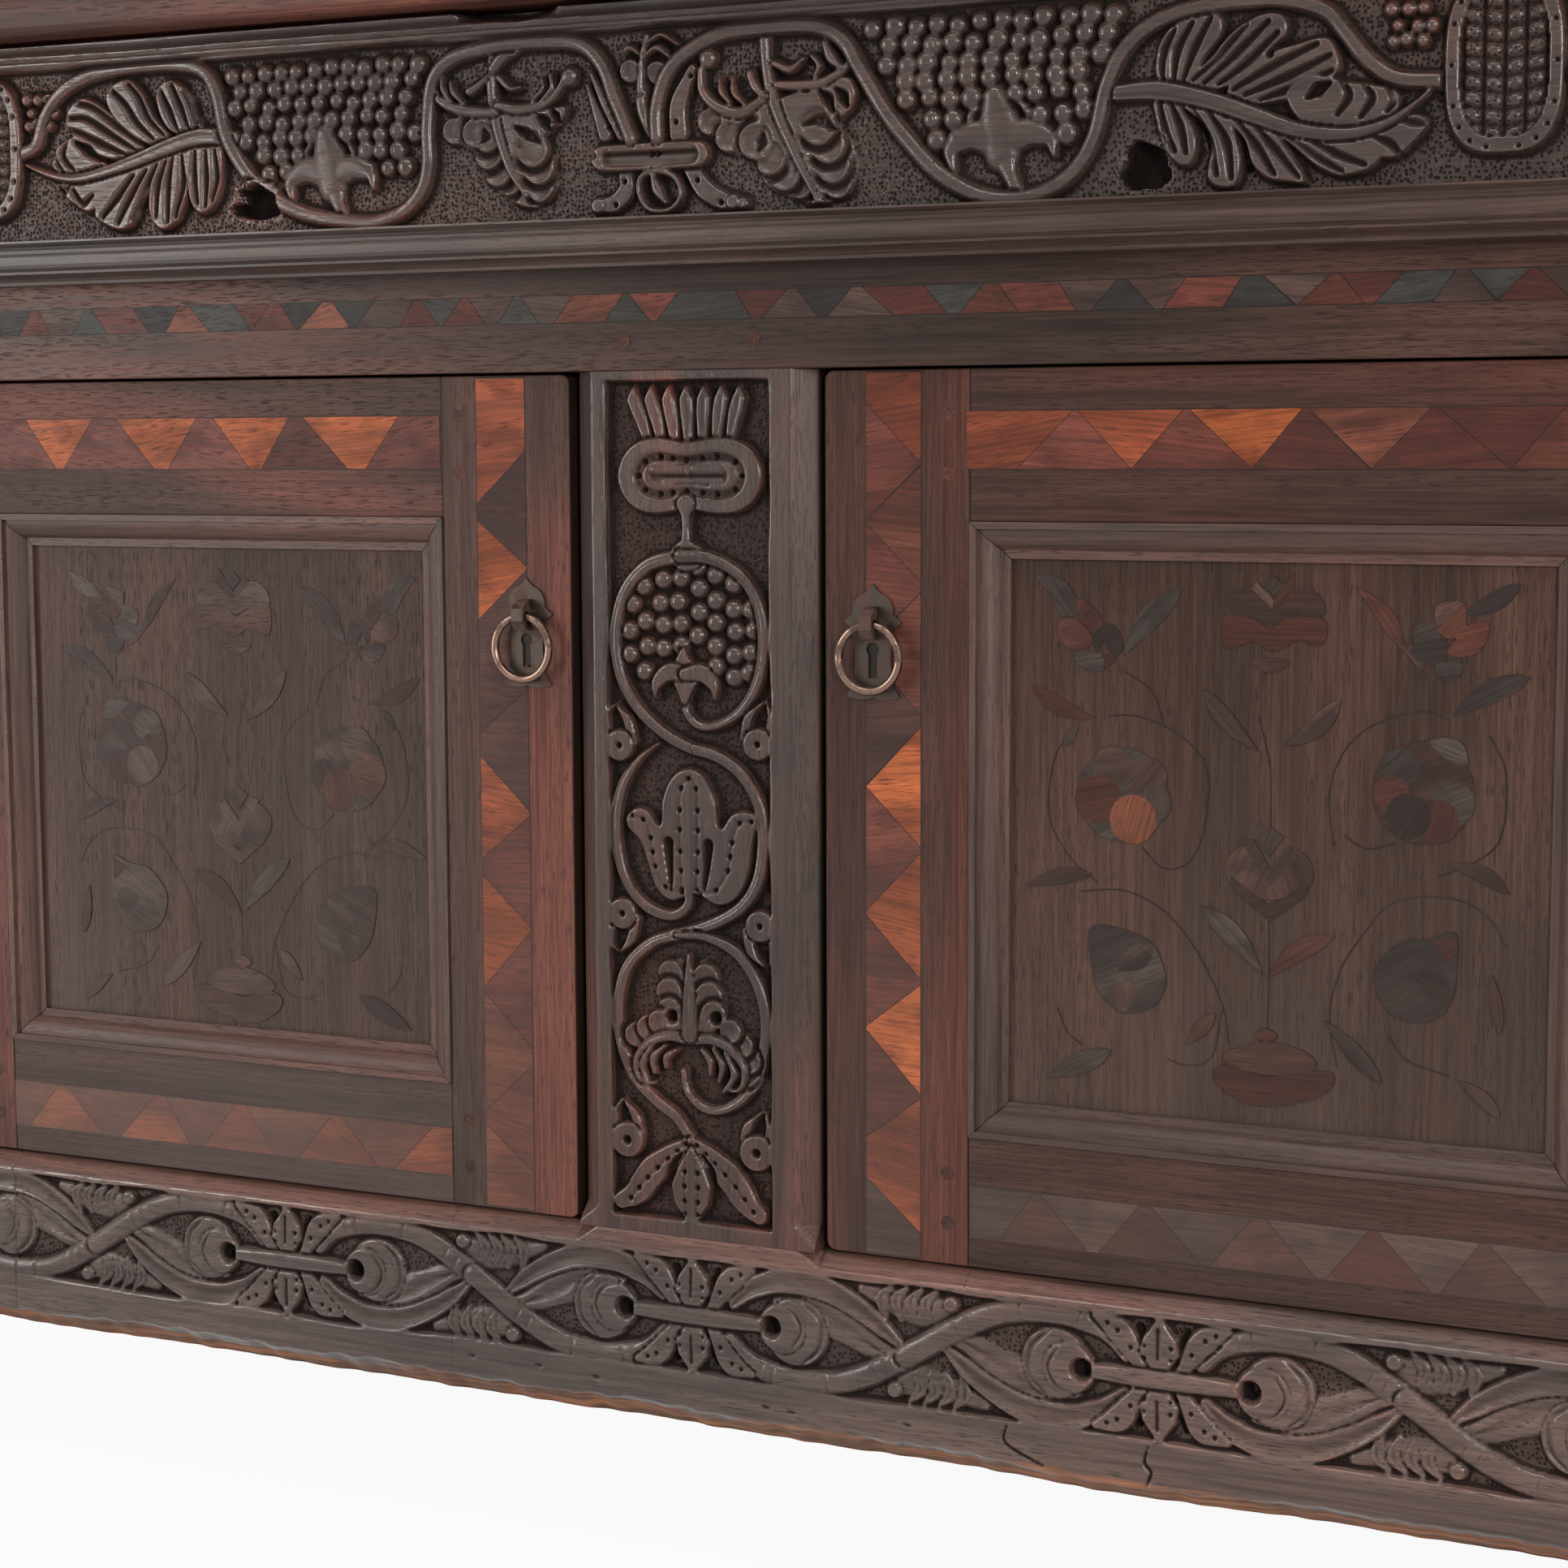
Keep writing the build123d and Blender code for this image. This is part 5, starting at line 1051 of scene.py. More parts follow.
FLUTED_LEAVES = (
    ([(-313, 889), (-317, 898), (-322, 910), (-330, 919), (-340, 921), (-348, 914), (-346, 900), (-338, 889),
      (-325, 886)],
     ([(-317, 889), (-320, 902), (-327, 914)], [(-323, 889), (-329, 903), (-336, 918)],
      [(-331, 888), (-338, 902), (-344, 914)])),
    ([(-338, 887), (-350, 900), (-357, 913), (-368, 923), (-380, 921), (-387, 912), (-380, 898), (-362, 885),
      (-350, 881)],
     ([(-342, 887), (-354, 898), (-361, 911), (-369, 920)],
      [(-350, 885), (-363, 896), (-372, 908), (-381, 916)])),
    ([(-358, 882), (-380, 900), (-392, 909), (-405, 914), (-417, 906), (-418, 894), (-408, 886), (-392, 876),
      (-370, 873)],
     ([(-359, 882), (-376, 893), (-395, 906), (-408, 910)],
      [(-364, 879), (-384, 890), (-402, 900), (-415, 901)],
      [(-370, 876), (-390, 884), (-408, 892), (-416, 894)])),
    ([(-392, 876), (-408, 890), (-420, 888), (-431, 880), (-430, 871), (-420, 862), (-400, 860),
      (-385, 866)],
     ([(-425, 887), (-429, 878), (-422, 869)], [(-418, 886), (-421, 877), (-413, 869)])),
    ([(-300, 880), (-298, 866), (-301, 850), (-308, 840), (-317, 838), (-324, 846), (-326, 858), (-328, 874),
      (-320, 880)],
     ([(-304, 877), (-303, 860), (-307, 846)], [(-311, 877), (-311, 860), (-312, 843)],
      [(-319, 877), (-320, 860), (-318, 845)])),
    ([(-326, 878), (-325, 858), (-328, 842), (-336, 832), (-346, 829), (-354, 836), (-356, 848), (-352, 862),
      (-344, 875)],
     ([(-329, 875), (-329, 856), (-335, 837)], [(-336, 874), (-340, 856), (-341, 835)],
      [(-341, 872), (-348, 856), (-350, 838)])),
    ([(-344, 873), (-350, 860), (-360, 848), (-366, 836), (-374, 830), (-386, 832), (-398, 840), (-392, 852),
      (-378, 864), (-360, 871)],
     ([(-348, 870), (-358, 854), (-368, 836)], [(-356, 867), (-369, 851), (-379, 835)],
      [(-366, 864), (-380, 850), (-391, 839)])),
    ([(-372, 867), (-385, 852), (-400, 842), (-412, 846), (-424, 856), (-420, 864), (-400, 864)],
     ([(-398, 853), (-407, 848), (-414, 857)], [(-415, 862), (-421, 856), (-428, 859)])),
    ([(303, 882), (301, 895), (305, 908), (315, 916), (328, 920), (338, 917), (339, 907), (330, 896),
      (322, 884), (312, 880)],
     ([(306, 885), (306, 898), (312, 911)], [(312, 884), (314, 900), (322, 914)],
      [(317, 884), (323, 900), (332, 916)])),
    ([(318, 882), (332, 897), (345, 910), (360, 917), (372, 915), (374, 905), (366, 898), (352, 884),
      (335, 878)],
     ([(322, 884), (336, 896), (351, 911)], [(328, 882), (345, 896), (363, 912)],
      [(336, 881), (352, 892), (368, 906)])),
    ([(340, 878), (360, 895), (380, 901), (394, 903), (400, 896), (402, 886), (396, 880), (380, 872),
      (352, 870)],
     ([(344, 878), (365, 889), (389, 899)], [(350, 875), (372, 883), (396, 893)],
      [(358, 872), (378, 878), (397, 885)])),
    ([(372, 876), (388, 884), (405, 880), (418, 878), (430, 874), (432, 864), (420, 857), (400, 856),
      (380, 860)],
     ([(402, 880), (406, 872), (400, 863)], [(414, 877), (418, 870), (412, 861)],
      [(426, 875), (430, 869), (426, 863)])),
    ([(300, 877), (302, 862), (306, 850), (314, 841), (322, 840), (326, 850), (324, 860), (318, 869),
      (312, 876)],
     ([(304, 875), (307, 860), (313, 848)], [(310, 874), (316, 860), (319, 847)])),
    ([(314, 873), (328, 860), (331, 846), (330, 834), (336, 828), (346, 828), (350, 838), (348, 852),
      (342, 864), (330, 870)],
     ([(322, 870), (331, 854), (336, 835)], [(331, 868), (341, 852), (344, 833)])),
    ([(340, 864), (350, 852), (354, 840), (362, 832), (374, 829), (384, 829), (378, 842), (366, 858),
      (352, 865)],
     ([(347, 862), (358, 848), (367, 834)], [(356, 860), (368, 846), (380, 832)])),
    ([(364, 859), (378, 846), (392, 835), (404, 831), (418, 834), (424, 842), (412, 850), (390, 855)],
     ([(371, 855), (386, 844), (403, 834)], [(384, 852), (400, 843), (415, 837)])),
    ([(404, 851), (414, 842), (430, 839), (440, 846), (448, 856), (440, 862), (424, 856)],
     ([(419, 851), (428, 847), (433, 841)], [(430, 860), (440, 857), (447, 856)])))
for outline, flutes in FLUTED_LEAVES:
    frieze.blade(outline, 4.7, flutes)
for line in ([(-411, 886), (-402, 881), (-392, 874)], [(384, 872), (390, 876), (396, 879)]):
    frieze.cut(line, (2, 8, 2), 4, to=0.4)
frieze.pits([(364, 895), (-358, 842), (352, 838)], 2.4, 2.5)
frieze.member([(-290, 883), (-315, 885), (-340, 880), (-365, 873), (-390, 867), (-412, 864), (-432, 867),
               (-452, 874)], (10, 12, 11.5, 10.5, 9, 8, 6, 3), 5.0, "lined", 0.7)
frieze.member([(280, 880), (303, 880), (330, 874), (355, 865), (380, 856), (405, 853), (425, 857),
               (440, 866), (449, 874)], (10, 12, 11, 11, 10, 9, 8, 6, 3), 5.0, "lined", 0.7)

hanging_leaf(frieze,
             [(-98, 889), (-112, 888), (-128, 889), (-140, 884), (-138, 876), (-128, 871), (-120, 866),
              (-116, 856), (-108, 847), (-99, 840), (-90, 835), (-80, 833), (-68, 838), (-63, 848),
              (-66, 860), (-71, 870), (-66, 877), (-57, 883), (-56, 891), (-70, 890), (-85, 887)],
             ((-95, 848, 7.5, 60), (-103, 856, 10, 60), (-109, 866, 10, 60), (-110, 875, 9, 60),
              (-132, 880, 8.5, 50), (-118, 878, 9, 0), (-74, 845, 9, 120), (-75, 857, 11, 120),
              (-79, 867, 11, 120)),
             ([(-113, 880), (-112, 876), (-114, 873)], [(-90, 880), (-83, 876), (-75, 871)],
              [(-75, 886), (-70, 882), (-68, 877)], [(-66, 889), (-63, 884), (-60, 880)]),
             [(-104, 922), (-106, 906), (-104, 888), (-100, 872), (-93, 855), (-83, 840)])
hanging_leaf(frieze,
             [(72, 886), (58, 882), (44, 884), (32, 884), (28, 878), (34, 871), (41, 868), (43, 862),
              (52, 858), (60, 857), (66, 853), (68, 845), (76, 837), (86, 833), (96, 829), (106, 828),
              (117, 832), (126, 841), (128, 852), (124, 864), (118, 872), (126, 879), (129, 890), (122, 898),
              (100, 893), (86, 890)],
             ((94, 839, 7.5, 80), (84, 846, 10, 60), (75, 855, 10, 60), (37, 877, 8, 30), (49, 868, 9, 40),
              (66, 865, 11, 0), (117, 839, 8.5, 120), (114, 850, 11, 120), (111, 861, 11, 120),
              (105, 871, 11, 120)),
             ([(70, 869), (69, 865), (67, 860)], [(97, 873), (105, 875), (115, 869)],
              [(106, 890), (111, 886), (114, 879)], [(116, 891), (120, 887), (123, 881)]),
             [(72, 926), (73, 908), (76, 892), (82, 875), (92, 855), (105, 830)])
LEAF_STROKES = (([(-146, 907), (-143, 899), (-132, 893), (-118, 890), (-104, 889)], (4, 7, 8, 8, 7)),
                ([(-102, 893), (-88, 890), (-72, 892), (-62, 898), (-57, 905)], (6, 8, 7, 6, 5)),
                ([(-105, 914), (-97, 922), (-83, 927)], (8, 9, 5)),
                ([(-101, 909), (-93, 902), (-86, 903)], (5, 5, 2)),
                ([(-108, 910), (-115, 905), (-121, 902)], (4, 6, 7)),
                ([(-140, 912), (-139, 904), (-134, 897)], (2, 5, 3)),
                ([(-134, 909), (-132, 902), (-126, 896)], (2, 5, 3)),
                ([(-66, 909), (-65, 901), (-72, 894)], (3, 4.5, 3)),
                ([(-72, 907), (-71, 901), (-79, 894)], (2, 4, 2)),
                ([(32, 906), (33, 894), (42, 885), (57, 881), (73, 889)], (5, 7, 8, 8, 6)),
                ([(80, 895), (95, 894), (108, 895), (120, 901), (127, 908)], (6, 7, 7, 6, 4)),
                ([(52, 901), (53, 892), (59, 886)], (2, 4.5, 3)),
                ([(44, 900), (45, 893), (50, 887)], (2, 4.5, 3)),
                ([(63, 902), (66, 895), (72, 889)], (6, 7, 4)),
                ([(78, 907), (88, 903), (97, 909)], (5, 6, 2)),
                ([(101, 910), (106, 904), (103, 898)], (3, 4.5, 3)),
                ([(109, 917), (113, 908), (120, 902)], (4, 8, 4)),
                ([(-39, 908), (-30, 890), (-20, 872)], (3, 7, 7)),
                ([(0, 871), (-6, 886), (-7, 900)], (6, 9, 8)),
                ([(-7, 896), (-6, 912), (-2, 927)], (6, 5, 4)),
                ([(-20, 914), (-14, 921), (-7, 916)], (2, 5, 2)),
                ([(-3, 916), (4, 920), (12, 914)], (2, 5, 2)), ([(-2, 923), (7, 927), (17, 921)], (2, 4, 2)))
for line, width in LEAF_STROKES:
    frieze.member(line, width, 4.8, "round", 0.8)
for x, z, toward in ((-14, 908, -40), (3, 906, -140)):
    frieze.scallop(x, z, 7, math.radians(toward))
for x, z in ((-54, 907), (36, 912)):
    frieze.dome(x, z, 6.3, 5.0)
for line, width, holes in (
        ([(-43, 902), (-37, 888), (-31, 873)], (3, 7, 10), [(-28, 877)]),
        ([(17, 871), (17, 888), (26, 907)], (13, 12, 7), [(15.5, 878), (25, 903)]),
        ([(-18, 851), (-17, 842), (-25, 834), (-38, 833)], (10, 12, 12, 8), [(-18, 846), (-24, 833)]),
        ([(25, 851), (33, 840), (45, 833), (58, 831)], (11, 13, 12, 8), [(29, 845), (44, 832)])):
    frieze.member(line, width, 3.6, "flat", 0.8)
    frieze.pits(holes, 1.6, 3)
for x, z in ((-35, 833), (52, 832)):
    frieze.disc(x, z, 5, 4.8, 3.0)
frieze.member([(-32, 859.5), (30, 859.5)], (16, 16.5, 16), 5.0, "flat", 0.6)
frieze.cut([(-27, 859.5), (25, 859.5)], (11.5, 12.5, 11.5), 3.0, to=2.4)
frieze.member([(-28, 864), (26, 864)], (3, 3.6, 3), 4.4, "flat", 2.4)
frieze.cut([(-31, 861.5), (28, 861.5)], (0.8, 1.6, 0.8), 1.8)
frieze.pits([(-37, 861), (3, 861), (-1, 861)], 1.6, 3)
frieze.member([(6, 851), (16, 846), (18.5, 836), (11, 829), (-2, 830), (-8.5, 840), (-6, 849)], 4.4, 4.6,
              "round", 0.8, closed=True)
frieze.member([(0, 850), (3, 841), (9, 833)], (3, 8.5, 3), 4.4, "round", 0.6)

for x in (-221, 213):
    for radius, z in ((27, 849), (18, 864)):
        near, distance, _, _ = frieze.radial(x, z, radius)
        frieze.H[near] *= smoothstep(radius - 3, radius, distance)
    frieze.member([(x + 12, 828), (x + 6, 841), (x + 1, 854)], (8, 11, 20), 4.6, "round", 0.5)
    for tip in (((-16, 862), (-28, 855), (-26, 843)), ((16, 862), (29, 858), (32, 849))):
        arm = [(x, 857)] + [(x + out, z) for out, z in tip]
        frieze.member(arm, (19, 18, 13, 4), 4.7, "round", 0.5, over=False)
    frieze.member([(x + 1, 852), (x, 864), (x - 2, 874), (x - 3, 882)], (22, 26, 23, 14), 5.0, "round", 0.5,
                  over=False)

for vine in (VINE_LEFT, VINE_RIGHT):
    frieze.member(vine, (10, 10.5, 11, 10, 10.5, 10), 5.0, "round", 0.3)

for s in (-1, 1):
    across, level = frieze.X - s * POD_X, frieze.Z - POD_Z
    body = oblong(across, level, *POD_HALF)
    inner = oblong(across, level - 1, *HATCHED_HALF)
    slant = frieze.Z + across * 0.14
    hatched = np.abs(np.sin(across * math.pi / 10.5)) * np.abs(np.sin(slant * math.pi / 8.2))
    pillow = 0.6 + 3.9 * hatched ** 0.3
    frieze.H = np.where(body < 1, 0.8 + 3.9 * smoothstep(0, 0.16, 1 - body), frieze.H)
    frieze.H = np.where(inner < 1, np.minimum(pillow, 1.0 + 3.6 * smoothstep(0, 0.06, 1 - inner)), frieze.H)
    turn = np.radians(np.arange(0, 360, 20))
    c, d = signed_power(np.cos(turn), 0.67), signed_power(np.sin(turn), 0.67)
    frieze.pits(zip(s * POD_X + 26.5 * c, POD_Z + 41.5 * d), 1.3, 2.2)
    beyond = np.flatnonzero(s * frieze.xs > POD_X)
    mirrored = np.searchsorted(frieze.xs, s * 2 * POD_X - frieze.xs[beyond] - FRIEZE_STEP / 2)
    frieze.H[:, beyond] = frieze.H[:, mirrored]

frieze.field(frieze.Z - FRIEZE_TOP_FIELD + 0.5 * waves(frieze.X, 0, 90, 34), 4.7, 2.0)
for z, width, depth in ((932.5, 2.2, 1.6), (937.5, 1.6, 0.7), (942.5, 2.4, 1.2)):
    line = z + 0.35 * waves(frieze.X, 0, 150, int(z))
    frieze.H -= depth * np.clip(1 - ((frieze.Z - line) / width) ** 2, 0, 1)
frieze.ease()
frieze_ground = frieze.punch(2.7, 0.3, 35, below=1.5) * (frieze.Z < FRIEZE_TOP_FIELD - 1)
frieze.H += 0.12 * waves(frieze.X, frieze.Z, 40, 36)
# painted shade: the hatched middle of each pod is counted as sunk ground, so it is darkened and punched like
# the ground
in_pod = oblong(np.abs(frieze.X) - POD_X, frieze.Z - POD_Z - 1, *HATCHED_HALF) < 1
frieze_ground = np.maximum(frieze_ground, in_pod * 0.9)
lost = smoothstep(-3, 3, frieze.Z - (943.5 + 1.5 * waves(frieze.X, 0, 26, 37)))
lost *= smoothstep(-132, -120, frieze.X) * smoothstep(-58, -72, frieze.X)
frieze.H -= 9 * lost
THROUGH = SUNK - (FRIEZE_BACK - FRIEZE_FACE - 0.5) / FRIEZE_DEEP
for x, z, width, rise in ((-278, 840, 17, 15), (294, 836, 14, 19)):
    ragged = 1 + 0.12 * waves(frieze.X, frieze.Z, 16, 38)
    dome = np.hypot((frieze.X - x) / width, np.maximum(frieze.Z - z, (z - frieze.Z) * 2.6) / rise)
    frieze.H = np.where(dome < ragged * 1.25, np.minimum(frieze.H, 1.2), frieze.H)
    frieze.H = np.where(dome < ragged, THROUGH, frieze.H)
    # painted shade: a ground value of 2 paints the inside of each hole black
    frieze_ground = np.where(dome < ragged * 0.95, 2.0, frieze_ground)
frieze.H = np.minimum(frieze.H, SUNK)
end, far, near = high[0], 525.0, 174.75
FRIEZE_SPLITS = ((-end, -far, 2), (-far, -near, 1), (-near, near, 1), (near, far, 1), (far, end, 2))
frieze_oak = carved_oak("carved_frieze_oak", "x", 13, rub=0.25, gloss=0.44, ground_shade=0.25)
for piece in carved_pieces("carved_frieze", frieze, FRIEZE_FACE, FRIEZE_BACK, FRIEZE_SPLITS, frieze_oak,
                           frieze_ground, FRIEZE_DEEP):
    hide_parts("frieze_board")

# ---- ledge --------------------------------------------------------------------------------------------
# Two wide boards that close the lower stage; the front edge is rounded over and rubbed red by hands.
LEDGE_WAX, LEDGE_RUBBED = (0.096, 0.048, 0.040, 1), (0.200, 0.066, 0.046, 1)
finish_node(oak("ledge_oak", "x", 15, LEDGE_WAX, LEDGE_RUBBED, rub=0.7, gloss=0.2), "ledge_boards")

# ---- lower doors --------------------------------------------------------------------------------------
# Each door is a pegged frame of four oak members round a panel. Bands of coloured wood are let into the
# rails and the lock stile, and a mitred moulding is bradded round the panel.
DOOR_TONES = {"right": ((0.058, 0.034, 0.028, 1), (0.155, 0.046, 0.029, 1)),
              "left": ((0.072, 0.047, 0.040, 1), (0.200, 0.062, 0.044, 1))}
BAND_HIGH, BAND_LOW = (682.0, 714.6), (238.6, 269.4)
for number, (hand, (waxed, rubbed)) in enumerate(DOOR_TONES.items()):
    door = "door_" + hand
    # the left door takes far more of the dusty layer with its painted floor reflection than the right
    worn, dust_and_light = (0.4, 0.32) if hand == "left" else (0.35, 0.04)
    handled = (-0.170, -0.105, 0.1, 0.6) if hand == "left" else (0.105, 0.170, 0.5, 0.5)
    for k, (member, grain, rub) in enumerate((("lock_stile", "z", handled), ("hinge_stile", "z", worn),
                                              ("top_rail", "x", worn), ("bottom_rail", "x", worn - 0.25))):
        low, high = mm_box(f"{door}_{member}")
        wood = oak(f"{door}_{member}_oak", grain, 20 + 5 * number + k, waxed, rubbed, rub, gloss=0.13,
                   bands=0.8, dust_and_light=dust_and_light if grain == "x" else 0.1, seams=(low[0], high[0]))
        finish_node(wood, f"{door}_{member}")


MOULDING_WAX = (0.088, 0.054, 0.045, 1)


def mitred_oak(name, middle, half, place, rub=0.3, gloss=0.34):
    """Moulding oak whose grain turns at the mitres of a frame round the middle: it runs up where a point
    is further out in x than in z, measured from the sight edges. The mitre itself is a thin dark line."""
    material, tree, shader = new_material(name)
    axes = node(tree, "SeparateXYZ", {0: node(tree, "TexCoord").outputs["Object"]}).outputs
    out = []
    for axis, centre, sight in ((axes[0], middle[0], half[0]), (axes[2], middle[1], half[1])):
        away = calc(tree, "ABSOLUTE", calc(tree, "SUBTRACT", axis, centre * MM))
        out.append(calc(tree, "SUBTRACT", away, sight * MM))
    apart = calc(tree, "SUBTRACT", *out)
    upright = calc(tree, "GREATER_THAN", apart, 0.0)
    figures = [node(tree, "Group", {"Vector": figured(tree, grain, place), "Waxed": MOULDING_WAX, "Rub": rub},
                    node_tree=OAK_FIGURE).outputs for grain in ("x", "z")]
    colour = tint(tree, upright, figures[0]["Color"], figures[1]["Color"])
    mitre = ramp(tree, calc(tree, "ABSOLUTE", apart), 0.0005, 0.0002)
    colour = tint(tree, mitre, colour, DIRT)
    height = calc(tree, "SUBTRACT", tint(tree, upright, figures[0]["Height"], figures[1]["Height"]), mitre)
    coat(tree, shader, colour, figures[0]["Roughness"], gloss, height, 0.4, 0.4)
    return material


PANEL_RUBBED = (0.120, 0.056, 0.042, 1)
PANEL_TONES = {"left": (0.072, 0.046, 0.038, 1), "right": (0.055, 0.031, 0.023, 1)}
for number, hand in enumerate(("left", "right")):
    low, high = mm_box(f"door_{hand}_moulding")
    middle, half = (low + high) / 2, (high - low) / 2
    wood = mitred_oak(f"door_{hand}_moulding_oak", (middle[0], middle[2]), (half[0], half[2]), 30 + number)
    finish_node(wood, f"door_{hand}_moulding")
    panel_oak = oak(f"door_{hand}_panel_oak", "z", 33 + number, PANEL_TONES[hand], PANEL_RUBBED, rub=0.3,
                    relief=0.8, gloss=0.13, bands=0.35, dust_and_light=0.28)
    finish_node(panel_oak, f"door_{hand}_panel")

right_top = [(173.5, 173.5), (238, 204), (240, 272), (302, 272), (305, 341), (369, 341), (372, 406),
             (439, 407), (442, 481), (509, 481), (526, 526)]
right_low = [(177, 177), (217, 195), (220, 250), (281, 256), (287, 318), (347, 322), (354, 384), (413, 388),
             (417, 448), (474, 452), (477, 510), (526, 526)]
left_top = [(-526, -526), (-500, -475), (-444, -469), (-426, -395), (-361, -384), (-348, -320), (-289, -311),
            (-279, -245), (-207, -232), (-177, -177)]
left_low = [(-526, -526), (-488, -515), (-482, -452), (-408, -438), (-400, -380), (-342, -370), (-335, -312),
            (-267, -294), (-260, -232), (-190, -220), (-176, -176)]
right_strip = [(737, 737), (720, 685), (653, 684), (651, 618), (580, 612), (579, 541), (500, 535), (499, 465),
               (426, 462), (424, 388), (358, 385), (356, 320), (292, 318), (268, 238), (223, 223)]
left_strip = [(737, 737), (661, 693), (651, 623), (590, 621), (520, 549), (506, 473), (442, 470), (432, 401),
              (361, 399), (359, 325), (283, 315), (275, 247), (223, 223)]
DOOR_FACE = mm_box("door_right_lock_stile")[0][1]
PULL_X = 116
keyhole = np.array([(-3.6, 563), (3.6, 563), (4.2, 575), (5.4, 580), (3.4, 584), (-3.4, 584), (-5.4, 580),
                    (-4.2, 575)])
for name, shapes, edges, body, seed in (
        ("door_right_top_band", band(right_top, "ororOrarra", *BAND_HIGH), (173.5, 526, *BAND_HIGH),
         "door_right", 51),
        ("door_right_bottom_band", band(right_low, "dkdkdkdrdkd", *BAND_LOW), (177, 526, *BAND_LOW),
         "door_right", 52),
        ("door_left_top_band", band(left_top, "rOrOrOrOr", *BAND_HIGH), (-526, -177, *BAND_HIGH),
         "door_left", 53),
        ("door_left_bottom_band", band(left_low, "aoaoaoaoao", *BAND_LOW), (-526, -176, *BAND_LOW),
         "door_left", 54),
        ("door_right_strip", band(right_strip, "orarakOrOrOrod", 111.0, 145.8, True),
         (110.6, 146.2, 222.6, 737.4), "door_right", 55),
        ("door_left_strip", band(left_strip, "okOkkorOrara", -151.0, -116.2, True),
         (-151.4, -115.8, 222.6, 737.4), "door_left", 56)):
    if "strip" in name:
        shapes.append((keyhole + (PULL_X if body == "door_right" else -PULL_X, 0), "g"))
    inlay_pieces(name, shapes, DOOR_FACE, body, seed, glue_bed(*edges))

# ---- marquetry ----------------------------------------------------------------------------------------
# Thin sawn pieces let into each panel: a low vase, a stem with a tulip and a carnation, round flowers
# in curling stalks at the sides, and leaves of bog oak. Dark glue outlines every piece.


def round_shape(*points):
    """A closed smooth outline through the points."""
    return smooth_curve(points, closed=True, gap=3.0)


def leaf(foot, tip, width, bow=0.12):
    """A pointed leaf: across from foot to tip it is width times sin(pi t) to the power 0.75, fuller beyond
    the middle, and its spine bows sideways by a share of its length."""
    t = np.linspace(0, 1, 9)
    foot, tip = np.array(foot, float), np.array(tip, float)
    along = tip - foot
    across = np.array([-along[1], along[0]]) / np.linalg.norm(along)
    spine = foot + t[:, None] * along + across * (bow * np.linalg.norm(along) * np.sin(math.pi * t))[:, None]
    half = (width / 2 * np.sin(math.pi * t ** 1.25) ** 0.75)[:, None] * across
    return np.vstack([spine + half, (spine - half)[-2:0:-1]])


def round_piece(x, z, radius):
    """A disc of 18 sides."""
    turn = np.linspace(0, math.tau, 18, endpoint=False)
    return np.column_stack([x + radius * np.cos(turn), z + radius * np.sin(turn)])


def stalk(points, width):
    """A strip of even width along a smooth curve."""
    line = smooth_curve(points, gap=6.0)
    way = np.gradient(line, axis=0)
    across = np.stack([-way[:, 1], way[:, 0]], 1) / np.linalg.norm(way, axis=1, keepdims=True) * width / 2
    return np.vstack([line + across, (line - across)[::-1]])


STALK_WIDTH = 0.55
STALK_LINES = ([(350, 434), (350.5, 405), (350, 372)], [(343, 547), (348, 528), (350, 516), (350.5, 486)],
               [(255, 544), (270, 545), (288, 540), (303, 531), (313, 518), (314.5, 500), (310, 475),
                (301, 462), (288, 460), (276, 471)],
               [(233, 535), (223, 518), (220, 486), (233, 463), (250, 449)],
               [(264, 570), (281, 559), (288, 541)],
               [(386, 478), (383, 505), (388, 524), (398, 538), (412, 547), (434, 553), (448, 549)],
               [(392, 484), (404, 477), (420, 481)],
               [(470, 541), (479, 522), (478, 490), (468, 476), (444, 464)],
               [(240, 444), (265, 446), (284, 439), (297, 429), (309, 414), (319, 396), (325, 382),
                (328, 363)],
               [(401, 427), (417, 447), (438, 453), (460, 451), (474, 441), (481, 428)],
               [(390, 355), (385, 385), (392, 412), (401, 427)], [(226, 376), (232, 362), (241, 356)],
               [(418, 376), (428, 363), (452, 356)], [(324, 383), (318, 355), (304, 349), (292, 352)])
